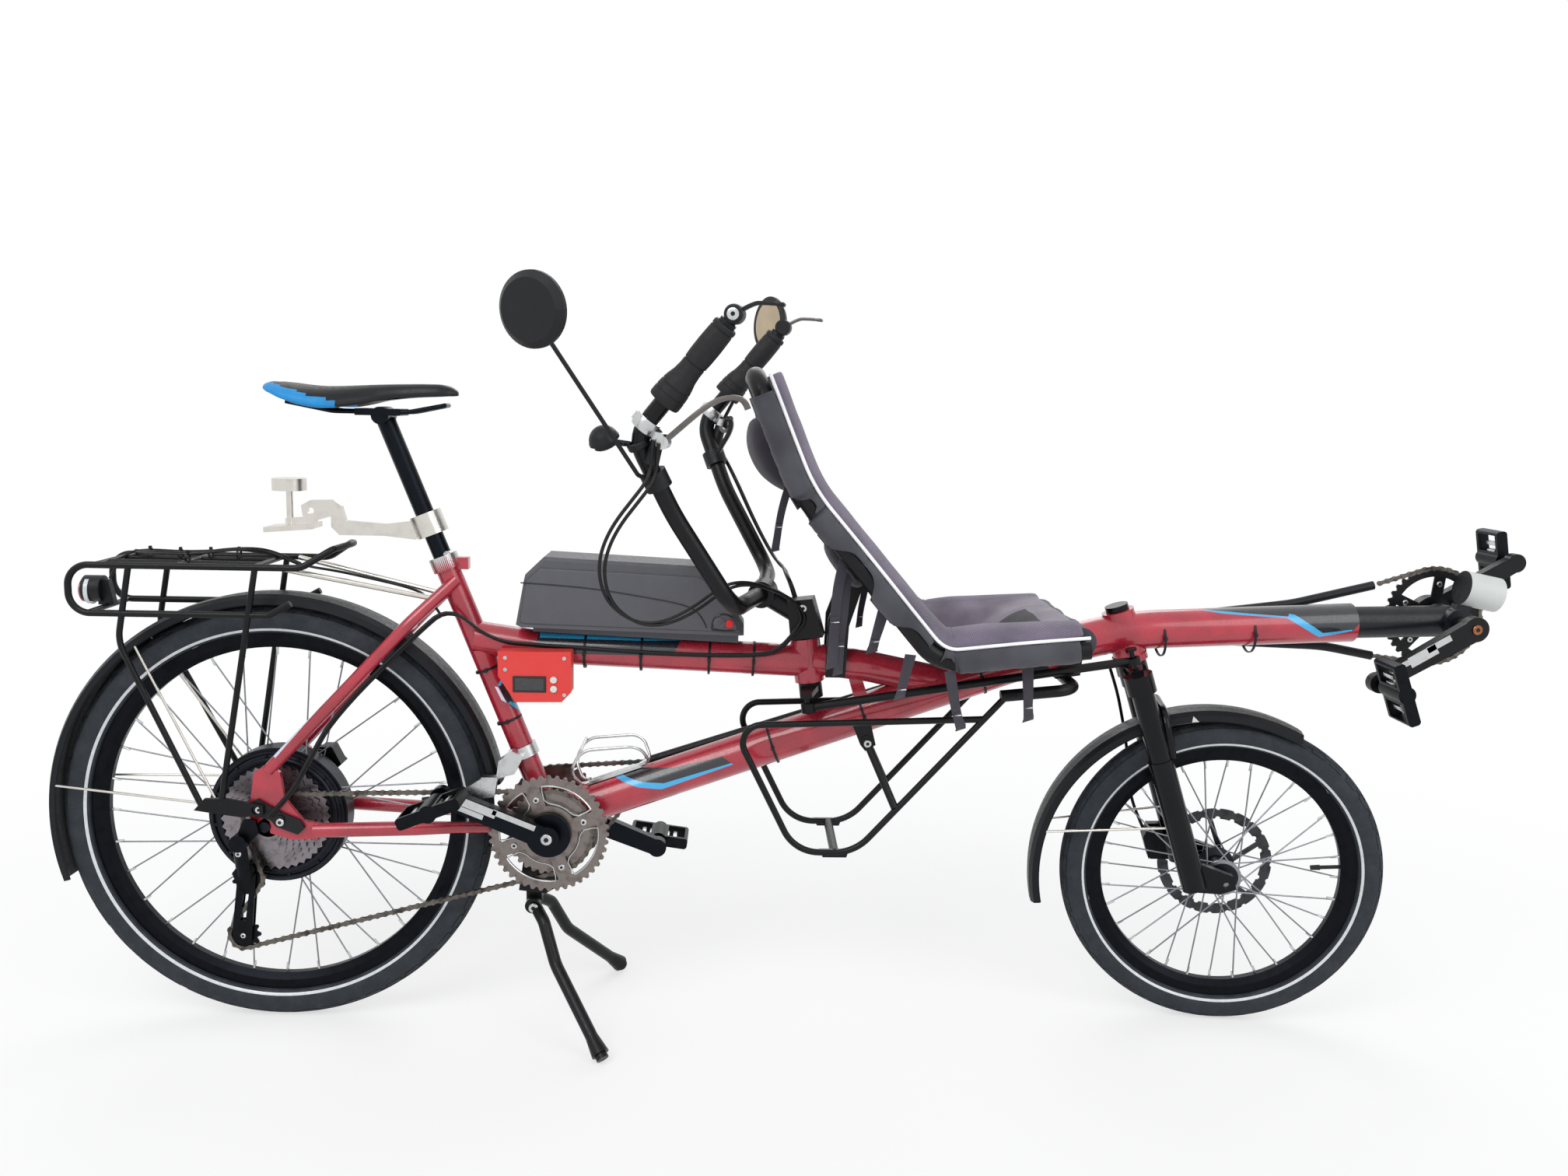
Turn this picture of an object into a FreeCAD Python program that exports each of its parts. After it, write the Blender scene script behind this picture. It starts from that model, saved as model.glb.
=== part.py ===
"""Two-rider recumbent bicycle: a rider's seat in front, a saddle behind, one steered front wheel.

Frame of the model: X forward, Y to the rider's left, Z up from the ground, millimetres.
The drive side is -Y. Stations along X are given from the rear axle.
"""
import FreeCAD
import Part
import math
import os
import Sketcher
from FreeCAD import Placement, Rotation, Vector

doc = FreeCAD.newDocument("recumbent_bicycle")
sheet = doc.addObject("Spreadsheet::Sheet", "Dimensions")

DIMENSIONS = {
    # wheels and stance
    "rear_axle_back": (815, "rear axle behind the origin"),
    "rear_wheel_radius": (328, "ground to rear axle"),
    "front_wheel_radius": (250, "ground to front axle"),
    "wheelbase": (1478, "axle to axle"),
    "rear_tyre_width": (50, ""),
    "front_tyre_width": (47, ""),
    "rear_rim_radius": (285, "outer flange"),
    "front_rim_radius": (209, "outer flange"),
    "rim_depth": (24, ""),
    "rim_width": (25, ""),
    "fit_gap": (0.3, "clearance between pieces that seat on each other"),
    "spoke_diameter": (2.4, ""),
    "spoke_count": (32, "per wheel"),
    "rear_axle_spacing": (135, "between the rear dropouts"),
    "front_axle_spacing": (100, "between the fork dropouts"),
    "motor_radius": (106, "hub motor shell"),
    "motor_width": (46, ""),
    "front_hub_radius": (29, "spoke flange"),
    "front_hub_width": (62, "across the flanges"),
    "front_rotor_radius": (90, ""),
    "rear_rotor_radius": (80, ""),
    "rotor_thickness": (2, ""),
    "rear_rotor_line": (40, "disc from the middle plane"),
    "front_rotor_line": (37, "disc from the middle plane"),
    # frame
    "crank_axis_x": (420, "rear crank axis ahead of the rear axle"),
    "crank_axis_z": (315, ""),
    "shell_radius": (21, "rear crank shell"),
    "shell_width": (68, ""),
    "seat_tube_diameter": (36, ""),
    "seat_tube_lean": (21.8, "degrees back from upright"),
    "seat_tube_length": (444, ""),
    "top_tube_diameter": (50, ""),
    "top_tube_start": (300, "up the seat tube from the crank axis"),
    "main_tube_diameter": (60, ""),
    "boom_bend_back": (194, "where the main tube levels out, behind the front axle"),
    "boom_bend_z": (634, ""),
    "boom_bend_radius": (520, ""),
    "boom_end_ahead": (184, "front end of the red tube, ahead of the front axle"),
    "boom_end_z": (653, ""),
    "link_tube_diameter": (48, "rear head tube to main tube"),
    "stay_diameter": (22, "chain stays at the dropouts"),
    "stay_front_diameter": (18, "chain stays beside the chainrings"),
    "seat_stay_diameter": (19, ""),
    "dropout_thickness": (8, ""),
    # steering
    "front_head_lean": (18, "degrees back from upright"),
    "front_head_length": (82, ""),
    "front_head_diameter": (50, ""),
    "fork_offset": (48, "axle ahead of the steering axis"),
    "fork_length": (371, "axle to the lower end of the head tube"),
    "rear_head_lean": (8, "degrees back from upright"),
    "rear_head_x": (816, "lower end of the rear head tube"),
    "rear_head_z": (548, ""),
    "rear_head_length": (68, ""),
    "rear_head_diameter": (46, ""),
    "steerer_diameter": (28.6, ""),
    "park_steer": (9, "degrees to the right, as it is parked"),
    "steer_arm": (54, "steering axis to tie rod ball"),
    "tie_rod_diameter": (13, ""),
    "stud_diameter": (8, "tie rod studs"),
    "eye_play": (2.5, "radial play of the front rod eye"),
    # fork
    "leg_spread": (62, "leg centre from the middle"),
    "leg_diameter": (38, ""),
    "stanchion_diameter": (34, "with its boot"),
    "crown_height": (30, ""),
    # drive
    "crank_length": (170, "rear"),
    "front_crank_length": (165, ""),
    "crank_park": (158, "degrees, rear drive side arm from straight ahead"),
    "front_crank_park": (211, "degrees, front drive side arm from straight ahead"),
    "arm_inner": (66, "rear crank arm inner face from the middle"),
    "arm_thickness": (17, ""),
    "ring_teeth": (44, "outer chainring"),
    "middle_ring_teeth": (32, ""),
    "inner_ring_teeth": (22, ""),
    "front_ring_teeth": (38, ""),
    "timing_ring_teeth": (38, "far side of the rear crank"),
    "chain_pitch": (12.7, ""),
    "roller_lead": (36, "first roller from the end of a free run"),
    "chain_line": (48, "middle chainring from the middle plane"),
    "ring_spacing": (7, ""),
    "front_chain_line": (47, "front chainring from the middle plane"),
    "boom_crank_ahead": (339, "front crank axis, ahead of the front axle"),
    "boom_crank_z": (658, ""),
    "boom_tube_diameter": (49, "sliding front boom"),
    "pedal_length": (96, ""),
    "pedal_width": (62, ""),
    "pedal_height": (18, ""),
    "pedal_inner": (104, "inner edge of the pedals from the middle plane"),
    "pedal_axle_diameter": (14, ""),
    # stand
    "stand_x": (390, "pivot ahead of the rear axle"),
    "stand_z": (187, ""),
    "stand_tube_diameter": (19, ""),
    "stand_foot_reach": (124, "foot ahead of the pivot"),
    "stand_foot_spread": (165, "foot from the middle plane"),
    # saddle and post
    "post_diameter": (28, ""),
    "post_out": (224, "seat post above the seat tube"),
    # luggage racks
    "rack_tube_diameter": (10, ""),
    "rack_half_width": (70, ""),
    "rack_top_z": (719, ""),
    "rack_low_z": (648, ""),
    "low_rack_half_width": (76, ""),
    "low_rack_tube_diameter": (10, ""),
    "low_rack_bar_diameter": (18, ""),
    # mudguards
    "rear_guard_gap": (15, "tyre to mudguard"),
    "front_guard_gap": (24, "tyre to mudguard, where it is set back"),
    "guard_half_width": (29, ""),
    "guard_thickness": (2, ""),
    # handlebar
    "bar_diameter": (25, ""),
    "grip_diameter": (34, ""),
    "mirror_radius": (48, ""),
    # front seat
    "seat_half_width": (180, ""),
    "seat_tube_size": (28, "seat frame tube"),
    "sling_thickness": (16, ""),
    # fittings
    "battery_width": (88, ""),
    "battery_nose_radius": (26, "clears the turning handlebar"),
    "box_depth": (32, ""),
    "lamp_radius": (27, ""),
    "bottle_place": (112, "bottle cage up the main tube from the rear crank"),
    "cable_diameter": (5, ""),
}

for row, (alias, (value, note)) in enumerate(DIMENSIONS.items(), start=1):
    sheet.set(f"A{row}", alias)
    sheet.set(f"B{row}", str(value))
    sheet.set(f"C{row}", note)
    sheet.setAlias(f"B{row}", alias)
doc.recompute()


def dim(alias):
    """Value of one cell of the sheet."""
    return float(sheet.get(alias))


def at(x, y, z):
    """Point given from the rear axle's station."""
    return Vector(x - dim("rear_axle_back"), y, z)


def polar(centre, radius, degrees, y=0.0):
    """Point on a circle in the XZ plane about a centre (x, z)."""
    a = math.radians(degrees)
    return at(centre[0] + radius * math.cos(a), y, centre[1] + radius * math.sin(a))


# driving places worked out from the sheet
GAP = dim("fit_gap")
REAR_AXLE = (0.0, dim("rear_wheel_radius"))
FRONT_AXLE = (dim("wheelbase"), dim("front_wheel_radius"))
CRANK = (dim("crank_axis_x"), dim("crank_axis_z"))
BOOM_CRANK = (dim("wheelbase") + dim("boom_crank_ahead"), dim("boom_crank_z"))
BOOM_BEND = (dim("wheelbase") - dim("boom_bend_back"), dim("boom_bend_z"))
BOOM_END = (dim("wheelbase") + dim("boom_end_ahead"), dim("boom_end_z"))
SEAT_LEAN = math.radians(dim("seat_tube_lean"))


def up_seat_tube(distance, y=0.0):
    """Point on the seat tube's centre line, measured from the crank axis."""
    return at(CRANK[0] - distance * math.sin(SEAT_LEAN), y, CRANK[1] + distance * math.cos(SEAT_LEAN))


def beside(place, offsets):
    """Stations (x, z) that keep their offsets from a place."""
    return [(place.x + dim("rear_axle_back") + dx, place.z + dz) for dx, dz in offsets]


def head_axes(lean_alias):
    """Forward and upward unit vectors of a head tube."""
    a = math.radians(dim(lean_alias))
    return Vector(math.cos(a), 0, math.sin(a)), Vector(-math.sin(a), 0, math.cos(a))


FRONT_AHEAD, FRONT_UP = head_axes("front_head_lean")
REAR_AHEAD, REAR_UP = head_axes("rear_head_lean")
FRONT_HEAD = at(FRONT_AXLE[0], 0, FRONT_AXLE[1]) - FRONT_AHEAD * dim("fork_offset") + FRONT_UP * dim("fork_length")
REAR_HEAD = at(dim("rear_head_x"), 0, dim("rear_head_z"))
FRONT_STEER = Placement(Vector(), Rotation(FRONT_UP, -dim("park_steer")), FRONT_HEAD)
REAR_STEER = Placement(Vector(), Rotation(REAR_UP, -dim("park_steer")), REAR_HEAD)
SIDES = (-1, 1)


def front_local(ahead, y, up):
    """Point in the fork's own directions, from the lower end of the front head tube."""
    return FRONT_HEAD + FRONT_AHEAD * ahead + FRONT_UP * up + Vector(0, y, 0)


def rear_local(ahead, y, up):
    """Point in the stem's own directions, from the lower end of the rear head tube."""
    return REAR_HEAD + REAR_AHEAD * ahead + REAR_UP * up + Vector(0, y, 0)


made = []


def feature(label, shape, placement=None):
    """Document object for a shape that no parametric feature makes well."""
    obj = doc.addObject("Part::Feature", label)
    obj.Label = label
    obj.Shape = shape
    if placement is not None:
        obj.Placement = placement.multiply(shape.Placement)
    made.append(obj)
    return obj


def fused(shapes):
    """One shape from shapes that touch or cross."""
    first, rest = shapes[0], shapes[1:]
    return first.multiFuse(rest).removeSplitter() if rest else first


def rod(start, end, diameter):
    """Straight round bar between two points."""
    axis = end - start
    return Part.makeCylinder(diameter / 2, axis.Length, start, axis)


def bent_path(points, radius):
    """Wire of straight runs with a tangent arc at each inner point.

    radius is one number or one for each inner point.
    """
    radii = radius if isinstance(radius, (list, tuple)) else [radius] * (len(points) - 2)
    edges = []
    start = points[0]
    for before, corner, after, r in zip(points, points[1:], points[2:], radii):
        into = (corner - before).normalize()
        out = (after - corner).normalize()
        turn = into.getAngle(out)
        back = r * math.tan(turn / 2)
        arc_in = corner - into * back
        arc_out = corner + out * back
        inward = (out - into).normalize()
        centre = corner + inward * (r / math.cos(turn / 2))
        middle = centre - inward * r
        if (arc_in - start).Length > 1e-4:
            edges.append(Part.LineSegment(start, arc_in).toShape())
        edges.append(Part.Arc(arc_in, middle, arc_out).toShape())
        start = arc_out
    edges.append(Part.LineSegment(start, points[-1]).toShape())
    return Part.Wire(edges)


def bent_tube(points, radius, diameter):
    """Round bar bent along a path."""
    path = bent_path(points, radius)
    direction = points[1] - points[0]
    profile = Part.Wire(Part.makeCircle(diameter / 2, points[0], direction))
    return path.makePipeShell([profile], True, False)


def plate(points, thickness, y):
    """Flat plate in an XZ plane: outline points (x, z), from y towards +Y."""
    outline = [at(x, y, z) for x, z in points]
    face = Part.Face(Part.makePolygon(outline + outline[:1]))
    return face.extrude(Vector(0, thickness, 0))


def toothed_face(teeth, pitch_radius, height, flats, y):
    """Face with sprocket teeth about the local origin, in the XZ plane at y."""
    points = []
    step = 2 * math.pi / teeth
    for tooth in range(teeth):
        a = tooth * step
        if flats:
            profile = ((-0.40, -1), (-0.14, 1), (0.14, 1), (0.40, -1))
        else:
            profile = ((-0.25, -1), (0.25, 1))
        for share, side in profile:
            r = pitch_radius + side * height / 2
            points.append(Vector(r * math.cos(a + share * step), y, r * math.sin(a + share * step)))
    return Part.Face(Part.makePolygon(points + points[:1]))


def pitch_radius(teeth):
    """Pitch radius of a sprocket for the chain's pitch."""
    return dim("chain_pitch") * teeth / (2 * math.pi)


def sprocket(teeth, thickness, y, hole_radius, flats=True):
    """Toothed ring with a round hole, centred on the origin."""
    ring = toothed_face(teeth, pitch_radius(teeth), 5.0, flats, y - thickness / 2).extrude(Vector(0, thickness, 0))
    hole = Part.makeCylinder(hole_radius, thickness + 2, Vector(0, y - thickness / 2 - 1, 0), Vector(0, 1, 0))
    return ring.cut(hole)


def moved(shape, x, z):
    """Shape made about the origin, put at a station (x, z) from the rear axle."""
    copy = shape.copy()
    copy.translate(at(x, 0, z))
    return copy


# parametric bodies: each sketch vertex and each pad is bound to the sheet

def body_plane(body, role):
    """Origin plane of a body by its role."""
    return next(f for f in body.Origin.OriginFeatures if f.Role == role)


def bound_outline(body, name, role, vertices):
    """Closed sketch of straight lines whose vertices are pairs of expressions."""
    sketch = body.newObject("Sketcher::SketchObject", name)
    sketch.AttachmentSupport = [(body_plane(body, role), "")]
    sketch.MapMode = "FlatFace"
    values = [(evaluate(u), evaluate(v)) for u, v in vertices]
    count = len(values)
    for i in range(count):
        a, b = values[i], values[(i + 1) % count]
        sketch.addGeometry(Part.LineSegment(Vector(a[0], a[1], 0), Vector(b[0], b[1], 0)), False)
    for i in range(count):
        sketch.addConstraint(Sketcher.Constraint("Coincident", i, 2, (i + 1) % count, 1))
    for i, (u, v) in enumerate(vertices):
        for kind, text, value in (("DistanceX", u, values[i][0]), ("DistanceY", v, values[i][1])):
            index = sketch.addConstraint(Sketcher.Constraint(kind, -1, 1, i, 1, value))
            sketch.setExpression(f"Constraints[{index}]", bound(text))
    return sketch


def bound(text):
    """Expression with each alias written as a cell of the sheet."""
    words = []
    for word in text.replace("(", " ( ").replace(")", " ) ").split():
        words.append(f"Dimensions.{word}" if word in DIMENSIONS else word)
    return " ".join(words)


def evaluate(text):
    """Number that an expression over the sheet gives."""
    return float(sheet.evalExpression(bound(text).replace("Dimensions.", "")))


def new_body(label, placement):
    """Empty body with its label and place."""
    body = doc.addObject("PartDesign::Body", label)
    body.Label = label
    body.Placement = placement
    made.append(body)
    return body


def revolved_body(label, vertices, placement):
    """Body turned about its local Z axis from (radius, height) expressions."""
    body = new_body(label, placement)
    sketch = bound_outline(body, label + "_profile", "XZ_Plane", vertices)
    turn = body.newObject("PartDesign::Revolution", label + "_turn")
    turn.Profile = sketch
    turn.ReferenceAxis = (sketch, ["V_Axis"])
    turn.Angle = 360
    return body


def wheel_place(axle):
    """Placement that lays a body's local Z along Y at an axle."""
    return Placement(at(axle[0], 0, axle[1]), Rotation(Vector(1, 0, 0), -90))


def tyre_body(label, radius, width, rim, placement):
    """Tyre of round section that closes on the rim's flanges."""
    body = new_body(label, placement)
    sketch = body.newObject("Sketcher::SketchObject", label + "_section")
    sketch.AttachmentSupport = [(body_plane(body, "XZ_Plane"), "")]
    sketch.MapMode = "FlatFace"
    outer, half, base = evaluate(radius), evaluate(width) / 2, evaluate(rim) + GAP
    centre = outer - half
    reach = math.acos((base - centre) / half)
    circle = Part.Circle(Vector(centre, 0, 0), Vector(0, 0, 1), half)
    sketch.addGeometry(Part.ArcOfCircle(circle, -reach, reach), False)
    low = Vector(base, -half * math.sin(reach), 0)
    high = Vector(base, half * math.sin(reach), 0)
    sketch.addGeometry(Part.LineSegment(high, low), False)
    sketch.addConstraint(Sketcher.Constraint("Coincident", 0, 2, 1, 1))
    sketch.addConstraint(Sketcher.Constraint("Coincident", 1, 2, 0, 1))
    sketch.addConstraint(Sketcher.Constraint("PointOnObject", 0, 3, -1))
    sketch.addConstraint(Sketcher.Constraint("Vertical", 1))
    for constraint, text in (
        (Sketcher.Constraint("Radius", 0, half), f"{width} / 2"),
        (Sketcher.Constraint("DistanceX", -1, 1, 0, 3, centre), f"{radius} - {width} / 2"),
        (Sketcher.Constraint("DistanceX", -1, 1, 1, 1, base), f"{rim} + fit_gap"),
    ):
        index = sketch.addConstraint(constraint)
        sketch.setExpression(f"Constraints[{index}]", bound(text))
    turn = body.newObject("PartDesign::Revolution", label + "_turn")
    turn.Profile = sketch
    turn.ReferenceAxis = (sketch, ["V_Axis"])
    turn.Angle = 360
    return body


# wheels

def rim_vertices(rim):
    """Double-wall rim section."""
    half = "rim_width / 2"
    return [
        (rim, f"0 - {half}"), (rim, half), (f"{rim} - 14", f"{half} - 1"),
        (f"{rim} - rim_depth", f"{half} - 7"), (f"{rim} - rim_depth", f"7 - {half}"),
        (f"{rim} - 14", f"1 - {half}"),
    ]


def spokes(flange_radius, flange_half, rim_radius, crossing):
    """Spokes laced from both flanges to the middle of the rim, about the origin with the axle along Y."""
    count = int(dim("spoke_count"))
    step = 360.0 / count
    bars = []
    for i in range(count):
        side = 1 if i % 2 == 0 else -1
        pull = crossing if i % 4 < 2 else -crossing
        rim_at = math.radians(i * step)
        hub_at = math.radians(i * step + pull)
        start = Vector(flange_radius * math.cos(hub_at), side * flange_half, flange_radius * math.sin(hub_at))
        end = Vector(rim_radius * math.cos(rim_at), side * 2.0, rim_radius * math.sin(rim_at))
        bars.append(rod(start, end, dim("spoke_diameter")))
    return bars


def turned(profile):
    """Solid turned about Y through the origin from (radius, y) points."""
    points = [Vector(r, y, 0) for r, y in profile]
    face = Part.Face(Part.makePolygon(points + points[:1]))
    return face.revolve(Vector(), Vector(0, 1, 0), 360)


def rotor(radius, y, placement_xz):
    """Brake disc with a scalloped edge and a drilled track, on five arms."""
    t = dim("rotor_thickness")
    disc = Part.makeCylinder(radius, t, Vector(0, y - t / 2, 0), Vector(0, 1, 0))
    inner = Part.makeCylinder(radius - 17, t + 2, Vector(0, y - t / 2 - 1, 0), Vector(0, 1, 0))
    ring = disc.cut(inner)
    cuts = []
    for i in range(20):
        a = math.radians(18 * i)
        for r, size in ((radius + 1.5, 4.0), (radius - 17, 4.0)):
            base = Vector(r * math.cos(a), y - t, r * math.sin(a))
            cuts.append(Part.makeCylinder(size, 2 * t, base, Vector(0, 1, 0)))
    ring = ring.cut(Part.makeCompound(cuts))
    hub = Part.makeCylinder(26, t, Vector(0, y - t / 2, 0), Vector(0, 1, 0))
    hub = hub.cut(Part.makeCylinder(17, t + 2, Vector(0, y - t / 2 - 1, 0), Vector(0, 1, 0)))
    arms = []
    for i in range(5):
        a, b = math.radians(72 * i), math.radians(72 * i + 28)
        start = Vector(22 * math.cos(a), y - t / 2, 22 * math.sin(a))
        end = Vector((radius - 13) * math.cos(b), y - t / 2, (radius - 13) * math.sin(b))
        along = (end - start).normalize()
        across = along.cross(Vector(0, 1, 0)) * 4
        corners = [start + across, end + across, end - across, start - across]
        arms.append(Part.Face(Part.makePolygon(corners + corners[:1])).extrude(Vector(0, t, 0)))
    return moved(fused([ring, hub] + arms), *placement_xz)


def rear_wheel():
    """Rear tyre, rim, laced hub motor, cassette and brake disc."""
    place = wheel_place(REAR_AXLE)
    tyre_body("rear_tyre", "rear_wheel_radius", "rear_tyre_width", "rear_rim_radius", place)
    revolved_body("rear_rim", rim_vertices("rear_rim_radius"), place)
    half = dim("motor_width") / 2
    big = dim("motor_radius")
    free = dim("rear_axle_spacing") / 2 + dim("dropout_thickness") + 3.5
    line = dim("rear_rotor_line")
    shell = turned([
        (8, -20 - half), (19, -20 - half), (19, -2 - half), (70, -2 - half), (big - 12, 3 - half), (big - 6, 5 - half),
        (big - 6, 6 - half), (big, 6 - half), (big, half - 6), (big - 6, half - 6), (big - 6, half - 5),
        (big - 12, half - 3), (34, half), (30, half + 12), (21, half + 13),
        (21, line - 1 - GAP), (17 - GAP, line - 1 - GAP), (17 - GAP, line + 2), (8, line + 2),
    ])
    axle = Part.makeCylinder(8, 2 * free, Vector(0, -free, 0), Vector(0, 1, 0))
    rim_inner = dim("rear_rim_radius") - dim("rim_depth") - GAP
    bars = spokes(big - 3, half - 8, rim_inner, 14)
    feature("rear_hub", moved(fused([shell, axle] + bars), *REAR_AXLE))
    # eleven to forty teeth, big ones inboard
    stack = []
    teeth = (40, 35, 31, 27, 24, 21, 18, 15, 13, 11)
    pitch = 3.9
    first = -half - 5.5
    for i, count in enumerate(teeth):
        stack.append(sprocket(count, 1.8, first - pitch * i, 19.6, flats=False))
    core = Part.makeCylinder(22.5, pitch * 9 + 1.8, Vector(0, first - pitch * 9 - 0.9, 0), Vector(0, 1, 0))
    core = core.cut(Part.makeCylinder(19.6, 60, Vector(0, first - pitch * 9 - 10, 0), Vector(0, 1, 0)))
    feature("cassette", moved(fused([core] + stack), *REAR_AXLE))
    feature("rear_disc", rotor(dim("rear_rotor_radius"), dim("rear_rotor_line"), REAR_AXLE))


def front_wheel():
    """Front tyre, rim, laced hub and brake disc, turned with the fork."""
    place = FRONT_STEER.multiply(wheel_place(FRONT_AXLE))
    tyre_body("front_tyre", "front_wheel_radius", "front_tyre_width", "front_rim_radius", place)
    revolved_body("front_rim", rim_vertices("front_rim_radius"), place)
    half = dim("front_hub_width") / 2
    flange = dim("front_hub_radius")
    free = dim("front_axle_spacing") / 2 + 8
    shell = turned([
        (4.5, -half - 8), (12, -half - 8), (14, -half - 2), (flange, -half), (flange, 3 - half), (18, 8 - half),
        (18, half - 12), (flange, half - 7), (flange, half - 4), (22, half - 2), (22, half + 2), (12, half + 6),
        (4.5, half + 6),
    ])
    axle = Part.makeCylinder(4.5, 2 * free, Vector(0, -free, 0), Vector(0, 1, 0))
    rim_inner = dim("front_rim_radius") - dim("rim_depth") - GAP
    bars = spokes(flange - 2.5, half - 2, rim_inner, 52)
    feature("front_hub", moved(fused([shell, axle] + bars), *FRONT_AXLE), FRONT_STEER)
    feature("front_disc", rotor(dim("front_rotor_radius"), dim("front_rotor_line"), FRONT_AXLE), FRONT_STEER)


# frame

def bore(base, direction, diameter, length):
    """Cutter for a round hole."""
    return Part.makeCylinder(diameter / 2, length, base - direction * 1.0, direction)


def frame_tubes():
    """Red welded frame, tube by tube, each cut to its neighbour."""
    main_d = dim("main_tube_diameter")
    shell_w = dim("shell_width")
    boom_bend = (BOOM_BEND[0], BOOM_BEND[1])
    boom_end = at(BOOM_END[0], 0, BOOM_END[1])
    main_path = [at(CRANK[0], 0, CRANK[1] + 12), at(boom_bend[0], 0, boom_bend[1]), boom_end]
    main = bent_tube(main_path, dim("boom_bend_radius"), main_d)
    shell = Part.makeCylinder(dim("shell_radius"), shell_w, at(CRANK[0], -shell_w / 2, CRANK[1]), Vector(0, 1, 0))
    head_length = dim("front_head_length")
    head = rod(front_local(0, 0, 0), front_local(0, 0, head_length), dim("front_head_diameter"))
    collar = rod(front_local(0, 0, 0), front_local(0, 0, 10), dim("front_head_diameter") + 4)
    steerer_room = dim("steerer_diameter") + 2 * GAP
    front_bore = bore(front_local(0, 0, -2), FRONT_UP, steerer_room, head_length + 20)
    crank_bore = Part.makeCylinder(12.3, shell_w + 4, at(CRANK[0], -shell_w / 2 - 2, CRANK[1]), Vector(0, 1, 0))
    sleeve_room = dim("boom_tube_diameter") + 2 * GAP
    back = (main_path[1] - main_path[2]).normalize()
    sleeve = rod(boom_end - back * 1, boom_end + back * 120, sleeve_room)
    main = fused([main, shell, head, collar]).cut(front_bore).cut(crank_bore).cut(sleeve)
    feature("main_tube", main)

    seat_d = dim("seat_tube_diameter")
    seat_top = dim("seat_tube_length")
    seat_tube = rod(up_seat_tube(0), up_seat_tube(seat_top), seat_d)
    post_bore = rod(up_seat_tube(seat_top - 150), up_seat_tube(seat_top + 15), dim("post_diameter") + 2 * GAP)
    collar = rod(up_seat_tube(seat_top - 16), up_seat_tube(seat_top + 6), seat_d + 8)
    lug = Part.makeBox(24, 16, 18, up_seat_tube(seat_top - 5) + Vector(12, -8, -9))
    seat_tube = fused([seat_tube, collar, lug])
    seat_tube = seat_tube.cut(post_bore).cut(main).cut(rod(up_seat_tube(-30), up_seat_tube(18), 46))
    feature("seat_tube", largest(seat_tube))

    top_d = dim("top_tube_diameter")
    head_mid = rear_local(0, 0, dim("rear_head_length") * 0.46)
    start = up_seat_tube(dim("top_tube_start") + 16)
    corner = Vector(start.x + 96, 0, head_mid.z + 16)
    top = bent_tube([start, corner, head_mid], 160, top_d)
    rear_head = rod(rear_local(0, 0, 0), rear_local(0, 0, dim("rear_head_length")), dim("rear_head_diameter"))
    link_d = dim("link_tube_diameter")
    link_start = rear_local(8, 0, dim("rear_head_length") * 0.5)
    link = bent_tube([link_start, at(905, 0, 572), at(1040, 0, 545)], 220, link_d)
    rear_bore = bore(rear_local(0, 0, -2), REAR_UP, steerer_room, dim("rear_head_length") + 20)
    upper = fused([top, rear_head, link]).cut(rear_bore).cut(main).cut(rod(up_seat_tube(0), up_seat_tube(seat_top), seat_d))
    brace = plate([(874, 560), (896, 556), (925, 470), (903, 462)], 20, -10)
    feature("top_tube", largest(largest(upper).fuse(brace.cut(main)).removeSplitter()))


def largest(shape):
    """Biggest solid of a shape."""
    return max(shape.Solids, key=lambda s: s.Volume)


def seat_stay_bar(side, diameter):
    """One seat stay's round bar."""
    y_end = side * (dim("rear_axle_spacing") + dim("dropout_thickness")) / 2
    return bent_tube([at(6, y_end, 414), at(212, side * 44, 636), at(276, side * 12, 698)], 140, diameter)


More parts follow.
